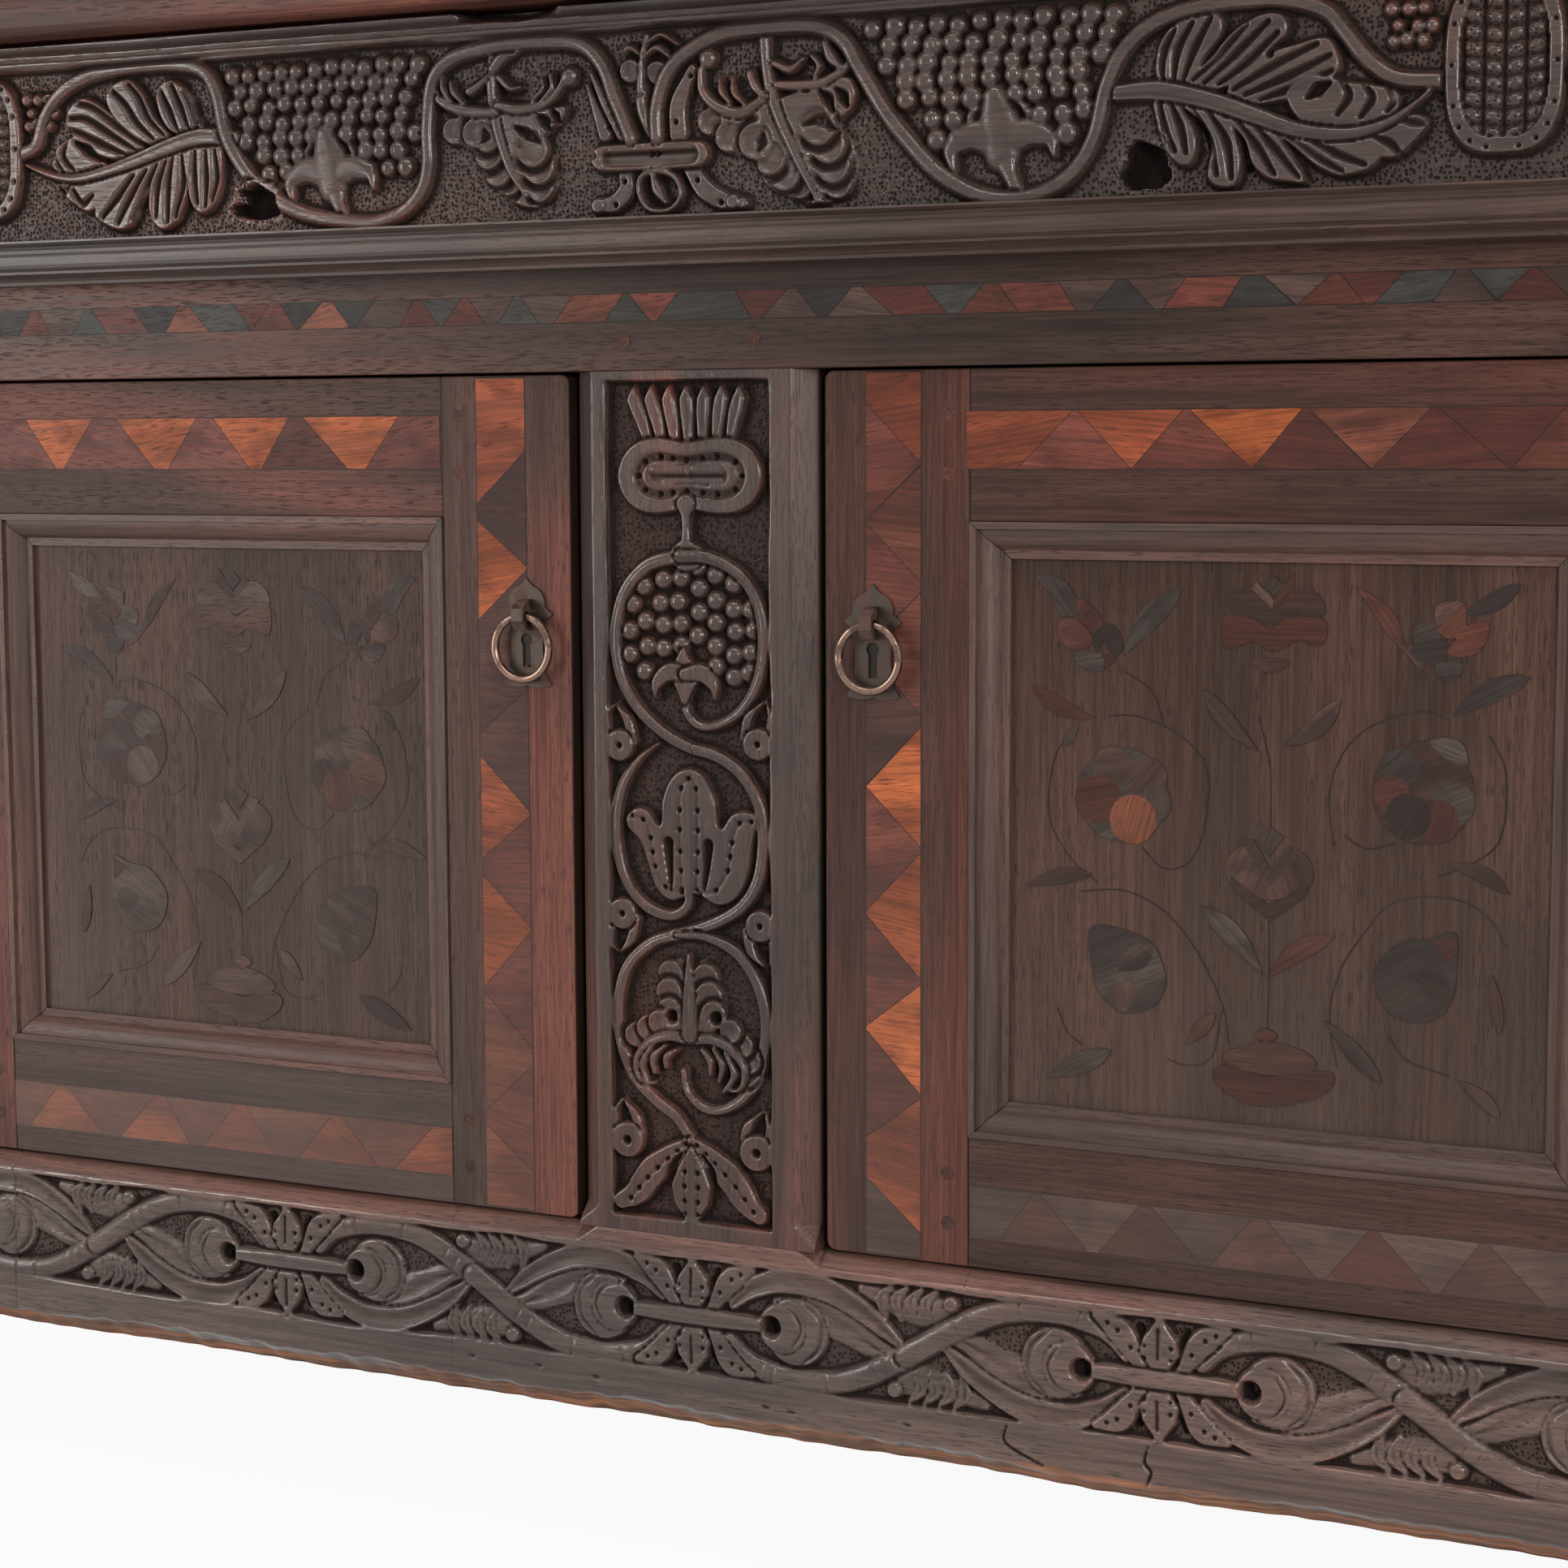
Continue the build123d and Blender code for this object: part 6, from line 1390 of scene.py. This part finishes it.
MARQUETRY = [(stalk(line, STALK_WIDTH), "g") for line in STALK_LINES] + [
    (leaf((264, 578), (298, 616), 13, 0.06), "b", 0.8), (leaf((249, 542), (209, 560), 10, 0.08), "r", 2.7),
    (round_shape((212, 622), (226, 621), (233, 614), (239, 602), (227, 600), (221, 611)), "b", 2.2),
    (round_shape((236, 609), (246, 605), (252, 596), (248, 589), (239, 597)), "r", 0.9),
    (round_shape((226, 597), (235, 598), (246, 588), (243, 582), (231, 582), (225, 589)), "r", 0.3),
    (round_shape((245, 589), (256, 596), (263, 589), (263, 580), (257, 579), (252, 587), (249, 580)), "n",
     0.5),
    (round_shape((235, 580), (251, 579), (252, 570), (245, 569), (238, 572)), "b", 0.2),
    (np.array([(252.5, 579.0), (261, 577), (253, 570)]), "r", 0.2),
    (leaf((237, 539), (229, 526), 6, 0), "n", 1.2), (leaf((396, 619), (423, 585), 9, 0.08), "r", 2.2),
    (leaf((417, 591), (434, 575), 6, 0.1), "k", 2.3),
    (round_shape((428, 597), (440, 601), (442, 590), (432, 584)), "b", 0.4),
    (round_shape((440, 609), (449, 612), (455, 611), (452, 600), (441, 599)), "k", 0.4),
    (round_shape((441, 597), (447, 603), (455, 611), (456, 598), (448, 592)), "o", 0.9),
    (round_shape((453, 598), (468, 601), (466, 589), (458, 583), (446, 584), (451, 592)), "o", 0.3),
    (round_shape((427, 586), (440, 592), (447, 589), (444, 579), (433, 579)), "b", 0.2),
    (round_shape((440, 578), (454, 580), (454, 573), (445, 569)), "b", 0.1),
    (leaf((454, 605), (485, 622), 10, -0.05), "b", 0.6), (leaf((450, 551), (491, 573), 12, 0.05), "b", 0.5),
    (round_shape((338, 577), (349, 571), (360, 577), (350, 579)), "k", 0.0),
    (round_shape((322, 601), (331, 602), (340, 600), (349, 595), (356, 600), (365, 602), (380, 600),
                 (378, 587), (364, 589), (357, 585), (349, 583), (339, 588), (324, 584)),
     "o", 0.0),
    (round_shape((323, 603), (326, 614), (338, 618), (350, 607), (362, 616), (372, 617), (379, 609),
                 (378, 602), (364, 603), (349, 597), (340, 601)),
     "k", 0.0),
    (np.array([(350.0, 606), (338, 617), (341, 621), (350.5, 611)]), "d", 2.3),
    (np.array([(351.0, 605), (362, 614), (362, 626), (350.5, 611.5)]), "r", 0.9),
    (np.array([(350.0, 624), (357, 619), (351, 613), (345, 619)]), "n", 0.9),
    (round_piece(264, 500, 27), "b", 0.5), (round_piece(258, 516, 11.5), "d", 0.2),
    (round_piece(279, 510, 11.5), "k", 0.9), (round_piece(283, 496, 10.0), "n", 1.5),
    (round_piece(250, 497, 14.0), "o", 0.2), (round_piece(270.5, 486.5, 14.0), "O", 1.3),
    (round_piece(435, 509, 28), "k", 0.4), (round_piece(422, 522, 11), "b", 0.7),
    (round_piece(417.5, 508, 10), "r", 0.2), (leaf((437, 537), (459, 526), 12, 0.1), "b", 2.8),
    (round_piece(451, 504, 12), "b", 0.4), (round_piece(443, 494, 12), "r", 1.4),
    (round_piece(427, 496, 12.5), "n", 1.0), (leaf((449, 471), (482, 457), 9, 0.1), "d", 2.7),
    (round_shape((338, 474), (327, 469), (325, 460), (330, 453), (349, 446), (350, 455)), "k", 1.1),
    (round_shape((362, 474), (372, 470), (375, 461), (371, 453), (351, 446), (350, 455)), "k", 1.9),
    (np.array([(334.0, 477), (341, 479), (350.5, 463), (361, 476), (366, 471), (350.5, 453)]), "d", 0.9),
    (np.array([(327.0, 459), (350, 443), (373, 457), (371, 449), (351, 434), (330, 450)]), "d", 0.3),
    (np.array([(350.0, 470), (343, 480), (351, 486), (358, 481)]), "n", 1.2),
    (leaf((343, 528), (311, 561), 10, 0.05), "d", 2.3), (leaf((357, 531), (389, 558), 11, -0.08), "d", 0.7),
    (leaf((347, 404), (311, 440), 12, -0.05), "b", 2.4), (leaf((350, 402), (387, 428), 11, 0.08), "r", 0.6),
    (round_shape((245, 422), (258, 425), (281, 418), (290, 402), (290, 391), (283, 381), (267, 376),
                 (256, 382), (248, 395)),
     "b", 0.4),
    (round_shape((260, 393), (274, 391), (267, 377), (259, 382)), "d", 1.5),
    (leaf((262, 400), (283, 415), 14, 0), "n", 0.6),
    (round_shape((411, 413), (424, 427), (440, 430), (454, 434), (455, 415), (453, 399), (446, 388),
                 (434, 384), (419, 388), (411, 400)),
     "b", 0.5),
    (np.array([(442.0, 428), (454, 433), (453, 417)]), "r", 0.5),
    (leaf((432, 408), (452, 404), 16, 0), "n", 2.8), (leaf((206, 445), (246, 454), 9, 0.05), "d", 0.2),
    (leaf((303, 361), (320, 380), 8, 0), "a", 0.9), (leaf((220, 335), (259, 354), 12, 0), "b", 0.5),
    (leaf((457, 354), (480, 336), 8, 0.05), "d", 2.4), (leaf((383, 381), (415, 349), 10, 0), "b", 2.3),
    (leaf((474, 413), (479, 381), 7, 0), "k", 1.7),
    (round_shape((326, 358), (346, 366), (368, 364), (378, 357), (374, 351), (350, 348), (328, 352)), "a",
     0.0),
    (round_shape((319, 346), (328, 352), (350, 347), (384, 353), (388, 346), (377, 337), (347, 330),
                 (327, 336)),
     "r", 0.0),
    (round_shape((343, 370), (349, 374), (356, 370), (350, 366)), "r", 0.2)]
PANEL_WOODS = {"o": (0.160, 0.050, 0.030), "O": (0.220, 0.066, 0.034), "a": (0.115, 0.052, 0.038),
               "r": (0.120, 0.038, 0.026), "k": (0.080, 0.038, 0.031), "d": (0.088, 0.048, 0.038),
               "b": (0.062, 0.050, 0.044), "n": (0.050, 0.034, 0.028), "g": (0.020, 0.014, 0.012)}
PANEL_FACE = mm_box("door_right_panel")[0][1]


def faded(hand, share):
    """The woods of a panel's pieces, each mixed with the panel's own colour by a share."""
    return {key: np.array(colour) * (1 - share) + np.array(PANEL_TONES[hand][:3]) * share
            for key, colour in PANEL_WOODS.items()}


inlay_pieces("door_right_marquetry", MARQUETRY, PANEL_FACE, "door_right", 57, 0.16, faded("right", 0.25), 0.4)
mirrored = [(np.asarray(outline) * (-1, 1) + (7, -8), wood, *(math.pi - turn for turn in turns))
            for outline, wood, *turns in MARQUETRY]
inlay_pieces("door_left_marquetry", mirrored, PANEL_FACE, "door_left", 58, 0.12, faded("left", 0.66), 0.3)

# ---- ironwork -----------------------------------------------------------------------------------------
# Forged iron gone brown: a shaped plate with a keyhole and a flat staple on each lock stile, a drop ring
# polished by use, plate hinges, and inside each door a box lock with its bolt.


def iron(name, base, rust, rough, place, patch=0.5, metallic=0.85):
    """Old iron: bare metal with rust in slow patches, small pits, and hammer-soft unevenness."""
    material, tree, shader = new_material(name)
    vector = node(tree, "Mapping", {"Vector": node(tree, "TexCoord").outputs["Object"],
                                    "Location": (place, place * 0.3, 0)}).outputs[0]
    cloud = node(tree, "TexNoise", {"Vector": vector, "Scale": 90.0, "Detail": 4.0}).outputs[0]
    speck = node(tree, "TexNoise", {"Vector": vector, "Scale": 900.0, "Detail": 3.0}).outputs[0]
    rusted = calc(tree, "MULTIPLY", ramp(tree, cloud, 0.62 - 0.3 * patch, 0.72 - 0.3 * patch),
                  ramp(tree, speck, 0.3, 0.6, 0.5, 1.0))
    join(tree, tint(tree, rusted, base, rust), shader.inputs["Base Color"])
    bare = calc(tree, "SUBTRACT", 1.0, calc(tree, "MULTIPLY", rusted, 0.8))
    join(tree, calc(tree, "MULTIPLY", bare, metallic), shader.inputs["Metallic"])
    join(tree, calc(tree, "ADD", rough, calc(tree, "MULTIPLY", rusted, 0.3)), shader.inputs["Roughness"])
    height = calc(tree, "ADD", cloud, calc(tree, "MULTIPLY", speck, 0.25))
    join(tree, node(tree, "Bump", {"Height": height, "Strength": 0.35, "Distance": 0.3 * MM}).outputs[0],
         shader.inputs["Normal"])
    return material


RUST = (0.080, 0.038, 0.026, 1)
plate_iron = iron("plate_iron", (0.062, 0.046, 0.038, 1), RUST, 0.42, 1, 0.45)
hinge_iron = iron("hinge_iron", (0.080, 0.067, 0.061, 1), RUST, 0.48, 2, 0.7)
ring_iron = iron("ring_iron", (0.230, 0.145, 0.110, 1), (0.075, 0.036, 0.026, 1), 0.22, 3, 0.5, 1.0)
finish_node(plate_iron, "door_left_ring_plate", "door_right_ring_plate")
finish_node(hinge_iron, "carcass_hinge_leaves", "door_left_hinge_leaves", "door_right_hinge_leaves",
            "door_left_lock_case", "door_right_lock_case", "door_left_lock_bolt", "door_right_lock_bolt",
            "upper_pivot_pins")


RING_STEPS, BAR_STEPS = 72, 20


def drop_ring(name, hand, seed):
    """A forged ring: a round bar carried round a circle; both the bar's size and the circle's radius
    swell a little in slow waves, as hammer work does."""
    low, high = mm_box(f"door_{hand}_ring")
    bar = (high[1] - low[1]) / 2
    middle, radius = (low + high) / 2, (high[2] - low[2]) / 2 - bar
    t, s = np.meshgrid(np.arange(RING_STEPS) * math.tau / RING_STEPS,
                       np.arange(BAR_STEPS) * math.tau / BAR_STEPS, indexing="ij")
    random = np.random.default_rng(seed)
    swell = sum(np.sin(k * t + random.uniform(0, math.tau)) for k in (2, 3, 5)) / 3
    thick = bar * (0.965 + 0.035 * swell)
    out = radius - 0.12 + 0.1 * np.sin(2 * t + seed) + thick * np.cos(s)
    points = np.stack([middle[0] + out * np.cos(t), middle[1] + thick * np.sin(s),
                       middle[2] + out * np.sin(t)], -1)
    i, j = np.meshgrid(np.arange(RING_STEPS), np.arange(BAR_STEPS), indexing="ij")
    k, m = (i + 1) % RING_STEPS, (j + 1) % BAR_STEPS
    quads = np.stack([i * BAR_STEPS + j, i * BAR_STEPS + m, k * BAR_STEPS + m, k * BAR_STEPS + j], -1)
    ring = put_mesh(name, points.reshape(-1, 3) * MM, quads.reshape(-1, 4).tolist(), f"ring_{hand}",
                    ring_iron)
    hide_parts(f"door_{hand}_ring")


drop_ring("ring_pull_left", "left", 61)
drop_ring("ring_pull_right", "right", 62)

# ---- upper stage --------------------------------------------------------------------------------------
# A smaller cupboard set back on the ledge: panelled doors either side of a carved panel, and a carved
# cornice frieze carried in front on two turned columns.
finish_node(oak("upper_post_oak", "z", 71, rub=0.35), "upper_posts", "upper_muntins")
finish_node(oak("upper_rail_oak", "x", 72, rub=0.35), "upper_rails")
finish_node(oak("upper_side_oak", "z", 73, rub=0.3), "upper_side_panels")
finish_node(oak("upper_back_oak", "z", 74, waxed=BACKING, rub=0.15, gloss=0.06), "upper_back_boards")
finish_node(oak("cornice_board_oak", "x", 75, rub=0.4), "cornice_boards", "cornice_soffit")
finish_node(oak("cornice_moulding_oak", "x", 76, rub=0.35, gloss=0.35), "cornice_moulding")
for number, hand in enumerate(("left", "right")):
    low, high = mm_box(f"upper_door_{hand}_frame")
    middle, half = (low + high) / 2, (high - low) / 2 - 54
    wood = mitred_oak(f"upper_door_{hand}_frame_oak", (middle[0], middle[2]), (half[0], half[2]),
                      77 + number, 0.5, 0.18)
    finish_node(wood, f"upper_door_{hand}_frame")
    finish_node(oak(f"upper_door_{hand}_panel_oak", "z", 79 + number, waxed=(0.080, 0.042, 0.032, 1),
                    rub=0.35), f"upper_door_{hand}_panel")


def turned(name, stations, places, body, material, sides=48, along_y=False):
    """Turnings in one mesh: each station (height, radius, squareness) gives a ring of points where the
    radius times the sign and size of cosine and sine raised to 2 over squareness makes the section round
    at 2 and nearly square at 16. The ends are closed by flat caps. places are the axes, one each."""
    s = np.asarray(stations, float)
    t = (np.arange(sides) + 0.5) * math.tau / sides
    power = 2 / s[:, 2:3]
    c = s[:, 1:2] * signed_power(np.cos(t), power)
    d = s[:, 1:2] * signed_power(np.sin(t), power)
    h = np.repeat(s[:, 0:1], sides, 1)
    points, faces = [], []
    for number, (x, y) in enumerate(places):
        points.append(np.stack([x + c, h, y - d] if along_y else [x + c, y + d, h], -1).reshape(-1, 3))
        first = number * sides * len(s)
        faces += [[first + corner for corner in face] for face in tube(len(s), sides)]
    return put_mesh(name, np.vstack(points) * MM, faces, body, material)


low, high = mm_box("turned_columns")
base, top = low[2], high[2]
foot, cap = base + 46, top - 34
COLUMN_HALF = 27.0


def arc(first, through, last, count=12):
    """Stations on the parabola through three (height, radius) points."""
    t = np.linspace(0, 1, count)
    heights = first[0] + t * (last[0] - first[0])
    curve = np.polyfit([first[0], through[0], last[0]], [first[1], through[1], last[1]], 2)
    return [(h, float(np.polyval(curve, h)), 2.0) for h in heights]


stations = [(base, COLUMN_HALF - 0.8, 16), (base + 0.8, COLUMN_HALF, 16), (foot - 1.2, COLUMN_HALF, 16),
            (foot - 0.2, COLUMN_HALF - 1, 14), (foot, 20.5, 2), (foot + 3.5, 20, 2)]
stations += arc((foot + 4, 20), (foot + 10, 25), (foot + 16, 20))
stations += [(foot + 17, 16, 2), (foot + 18, 15, 2)]
stations += arc((foot + 22, 14), (foot + 84, 26), (foot + 146, 16), 30)
stations += [(foot + 150, 14, 2), (foot + 156, 13, 2), (foot + 159, 17, 2), (foot + 160, 18, 2)]
stations += arc((foot + 161, 18.4), (foot + 167, 22.5), (foot + 173, 18.4))
stations += [(foot + 174, 18, 2), (foot + 175, 15, 2), (foot + 178, 14.5, 2)]
stations += arc((foot + 179, 14.5), (foot + 255, 17.5), (cap - 41, 13.6), 30)
stations += [(cap - 40, 13.5, 2), (cap - 37, 18.4, 2), (cap - 36, 19, 2), (cap - 30, 19, 2),
             (cap - 29, 17, 2), (cap - 27, 16, 2)]
stations += arc((cap - 26, 16.3), (cap - 16, 17.8), (cap - 8, 23))
stations += [(cap - 7, 24.5, 2), (cap - 4, 25, 2), (cap - 0.1, 25, 2), (cap, COLUMN_HALF - 1, 14),
             (cap + 1, COLUMN_HALF, 16), (top - 0.8, COLUMN_HALF, 16), (top, COLUMN_HALF - 0.8, 16)]
column_y = (low[1] + high[1]) / 2
column_x = high[0] - COLUMN_HALF
columns = turned("turned_column_pair", stations, [(-column_x, column_y), (column_x, column_y)], "carcass",
                 oak("turned_oak", "z", 81, rub=0.45, relief=0.3, gloss=0.35))
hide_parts("turned_columns")

knob_oak = oak("knob_oak", "y", 82, waxed=SMOKED, rub=0.6, relief=0.25, gloss=0.4)
for hand in ("left", "right"):
    low, high = mm_box(f"upper_door_{hand}_knob")
    x, z = (low[0] + high[0]) / 2, (low[2] + high[2]) / 2
    tip, back = low[1], high[1]
    face = tip + 24
    knob = [(tip, 1.5, 2), (tip + 0.1, 4.0, 2), (tip + 0.6, 6.5, 2)]
    knob += arc((tip + 1.4, 8.6), (tip + 9, 13.4), (tip + 17.5, 7.5))
    knob += [(tip + 18.4, 6.2, 2), (tip + 20, 6.0, 2), (tip + 21.2, 7.4, 2), (tip + 21.6, 8.8, 2),
             (face, 9, 2), (face + 0.1, 5, 2), (back, 5, 2)]
    piece = turned(f"upper_knob_{hand}", knob, [(x, z)], f"upper_door_{hand}", knob_oak,
                   sides=40, along_y=True)
    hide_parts(f"upper_door_{hand}_knob")

CORNICE_STEP = 1.25
LUNETTE = 140.0
low, high = mm_box("cornice_frieze")
moulding_foot = mm_box("cornice_moulding")[0][2]
soffit_top = mm_box("cornice_soffit")[1][2]
CORNICE_BACK = low[1] + 22
cornice = Carving((low[0], high[0]), (low[2], high[2]), CORNICE_STEP)
spring = soffit_top + 4
for number in range(-5, 6):
    middle = number * LUNETTE
    for k, turn in enumerate(np.radians([18, 47, 76, 104, 133, 162])):
        c, s = math.cos(turn), math.sin(turn)
        cornice.member([(middle + 14 * c, spring + 10 * s), (middle + 32 * c, spring + 30 * s),
                        (middle + 46 * c, spring + 49 * s)], (4, 11, 13, 9), 4.6, "flute", 0.9)
    turns = np.radians(np.arange(0, 181, 15))
    cornice.member([(middle + 61 * math.cos(a), spring + 66 * math.sin(a)) for a in turns], (9, 9.5, 9), 4.9,
                   "lined", 0.6)
    cornice.disc(middle, spring + 2, 12, 4.8, 0.8, eye=3.0)
    between = middle + LUNETTE / 2
    for lean in (-1, 0, 1):
        cornice.member([(between, spring + 34), (between + lean * 9, spring + 50),
                        (between + lean * 20, spring + 64)], (5, 9, 8, 4), 4.5, "round", 0.9)
outside = np.maximum(np.maximum(spring - 3 - cornice.Z, cornice.Z - (moulding_foot - 6)),
                     np.abs(cornice.X) - 686)
cornice.field(outside + 0.4 * waves(cornice.X, cornice.Z, 80, 91), SUNK)
cornice.ease()
cornice_ground = cornice.punch(4.2, 0.6, 92) * (outside < 0)
cornice.H = np.minimum(cornice.H + 0.1 * waves(cornice.X, cornice.Z, 40, 93), SUNK)
cornice_oak = carved_oak("carved_cornice_oak", "x", 83, rub=0.35)
half = high[0]
for piece in carved_pieces("carved_cornice", cornice, low[1], CORNICE_BACK,
                           ((-half, -230, 1), (-230, 230, 1), (230, half, 1)), cornice_oak, cornice_ground):
    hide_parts("cornice_frieze")
RETURN_THICK = 20.0
RETURN_GAP = 0.3
depth = CORNICE_BACK + RETURN_GAP
for side, name in ((-1, "left"), (1, "right")):
    x0, x1 = sorted((side * half, side * (half - RETURN_THICK)))
    corners = np.array([(x, y, z) for x in (x0, x1) for y in (depth, high[1]) for z in (low[2], high[2])])
    sides = [(0, 1, 3, 2), (4, 6, 7, 5), (0, 4, 5, 1), (2, 3, 7, 6), (0, 2, 6, 4), (1, 5, 7, 3)]
    piece = put_mesh(f"cornice_return_{name}", corners * MM, sides, "carcass",
                     oak(f"cornice_return_{name}_oak", "y", 84, rub=0.35), False)
    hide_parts("cornice_frieze")

PANEL_STEP = 1.3
low, high = mm_box("upper_centre_panel")
niche = Carving((low[0], high[0]), (low[2], high[2]), PANEL_STEP)
x0, foot = (low[0] + high[0]) / 2, low[2] + 30
arch_z = high[2] - 125
for s in (-1, 1):
    niche.member([(s * 108, foot + 10), (s * 108, arch_z)], (17, 17), 4.7, "ribbed", 0.8)
    niche.member([(s * 122, arch_z + 5), (s * 94, arch_z + 5)], (10, 10), 4.9, "round", 0.8)
    niche.member([(s * 122, foot + 6), (s * 94, foot + 6)], (12, 12), 4.9, "round", 0.8)
turns = np.radians(np.arange(0, 181, 12))
niche.member([(108 * math.cos(a), arch_z + 8 + 88 * math.sin(a)) for a in turns], (17, 17), 4.7, "lined",
             0.8, dots=14.0)
niche.member([(0, foot + 8), (3, foot + 90), (0, arch_z + 20)], (9, 8, 7), 4.8, "lined", 0.8)
for k, z in enumerate(np.linspace(foot + 40, arch_z - 20, 4)):
    for s in (-1, 1):
        reach = 66 - 4 * k
        niche.member([(s * 3, z), (s * reach * 0.5, z + 12), (s * reach, z + 38), (s * reach * 0.8, z + 58)],
                     (6, 8, 8, 6), 4.7, "lined", 0.8)
        niche.disc(s * reach * 0.72, z + 56, 9, 4.6, 0.8, eye=2.5)
        for j in range(3):
            niche.scallop(s * (20 + 13 * j), z + 3 + 6 * j, 9, -math.pi / 2 + s * 0.7, 4.5, 1.5)
for lean in (-2, -1, 0, 1, 2):
    niche.member([(0, arch_z + 12), (lean * 13, arch_z + 38), (lean * 24, arch_z + 66 - abs(lean) * 10)],
                 (6, 15, 17, 8), 4.6, "flute", 0.9)
niche.member([(-34, foot + 8), (34, foot + 8)], (20, 22, 20), 4.8, "flat", 0.7, dots=12.0)
outside = np.maximum(np.abs(niche.X) - 140, np.maximum(low[2] + 18 - niche.Z, niche.Z - (high[2] - 18)))
niche.field(outside, SUNK)
niche.ease()
niche_ground = niche.punch(3.6, 0.6, 94) * (outside < 0)
niche.H = np.minimum(niche.H + 0.1 * waves(niche.X, niche.Z, 40, 95), SUNK)
[piece] = carved_pieces("carved_centre_panel", niche, low[1], high[1], ((low[0], high[0], 1),),
                        carved_oak("carved_panel_oak", "z", 85, rub=0.35), niche_ground)
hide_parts("upper_centre_panel")

# ---- camera, floor and light ------------------------------------------------------------------------
# A pale floor that runs on out of sight, two tall softboxes to the right of the camera, a wide soft light
# overhead and a large one on the left.
FLOOR_WHITE = 0.94             # how much of the floor's look is plain white
FILL = 0.15                    # strength of the light from all around


def looked_at(tree):
    """1 where a ray comes from the camera, a glossy surface or a clear one, and 0 for light itself."""
    rays = node(tree, "LightPath").outputs
    mirrored = calc(tree, "MAXIMUM", rays["Is Glossy Ray"], rays["Is Transmission Ray"])
    return calc(tree, "MAXIMUM", rays["Is Camera Ray"], mirrored)


floor_size = 8.0
floor_mesh = bpy.data.meshes.new("floor")
corners = [(sx * floor_size, sy * floor_size, 0) for sx, sy in ((-1, -1), (1, -1), (1, 1), (-1, 1))]
floor_mesh.from_pydata(corners, [], [(0, 1, 2, 3)])
floor = bpy.data.objects.new("floor", floor_mesh)
bpy.context.scene.collection.objects.link(floor)
material, tree, shader = new_material("pale_floor")
for key, value in (("Base Color", (0.86, 0.855, 0.85, 1)), ("Roughness", 0.8), ("Specular IOR Level", 0.1)):
    join(tree, value, shader.inputs[key])
glow = node(tree, "Emission", {"Color": (1, 1, 1, 1), "Strength": 1.0})
white = calc(tree, "MULTIPLY", looked_at(tree), FLOOR_WHITE)
mixed = node(tree, "MixShader", {0: white, 1: shader.outputs[0], 2: glow.outputs[0]})
join(tree, mixed.outputs[0], tree.nodes["Material Output"].inputs["Surface"])
floor_mesh.materials.append(material)

world = bpy.data.worlds.new("studio")
bpy.context.scene.world = world
world.use_nodes = True
tree = world.node_tree
join(tree, (1, 1, 1, 1), tree.nodes["Background"].inputs["Color"])
join(tree, ramp(tree, looked_at(tree), 0.0, 1.0, FILL, 1.0), tree.nodes["Background"].inputs["Strength"])


def softbox(name, place, target, size, power):
    """A rectangular lamp at a place, turned to face a target."""
    lamp = bpy.data.lights.new(name, "AREA")
    lamp.shape = "RECTANGLE"
    lamp.size, lamp.size_y = size
    lamp.energy = power
    lamp.color = (1, 0.98, 0.95)
    holder = bpy.data.objects.new(name, lamp)
    holder.location = place
    aim = np.array(target) - np.array(place)
    holder.rotation_euler = (math.atan2(math.hypot(aim[0], aim[1]), -aim[2]), 0,
                             math.atan2(aim[1], aim[0]) - math.pi / 2)
    bpy.context.scene.collection.objects.link(holder)


softbox("key_light", (1.85, -2.2, 1.35), (0.05, -0.2, 0.6), (0.2, 0.9), 25)
softbox("side_light", (2.45, -1.1, 1.1), (0.1, -0.2, 0.6), (0.16, 0.9), 13)
softbox("top_light", (0.1, -1.3, 2.9), (0.0, -0.1, 0.7), (2.4, 0.8), 23)
softbox("left_light", (-2.4, -2.4, 1.0), (-0.35, -0.2, 0.45), (1.0, 1.8), 38)

EYE = (0.8589, -1.8093, 0.6966)
YAW, PITCH, ROLL = 0.46085, 0.10984, -0.00403
LENS = 70.81                   # focal length on a 36 mm wide frame, mm
camera_data = bpy.data.cameras.new("camera")
camera_data.lens = LENS
camera_data.sensor_width = 36.0
camera_data.clip_end = 50.0
camera = bpy.data.objects.new("camera", camera_data)
camera.location = EYE
forward = np.array([-math.sin(YAW) * math.cos(PITCH), math.cos(YAW) * math.cos(PITCH), -math.sin(PITCH)])
level = np.array([math.cos(YAW), math.sin(YAW), 0])
upright = np.cross(level, forward)
right = level * math.cos(ROLL) + upright * math.sin(ROLL)
up = -level * math.sin(ROLL) + upright * math.cos(ROLL)
camera.rotation_euler = Matrix(np.stack([right, up, -forward], 1).tolist()).to_euler()
bpy.context.scene.collection.objects.link(camera)
bpy.context.scene.camera = camera
bpy.context.scene.view_settings.view_transform = "Standard"
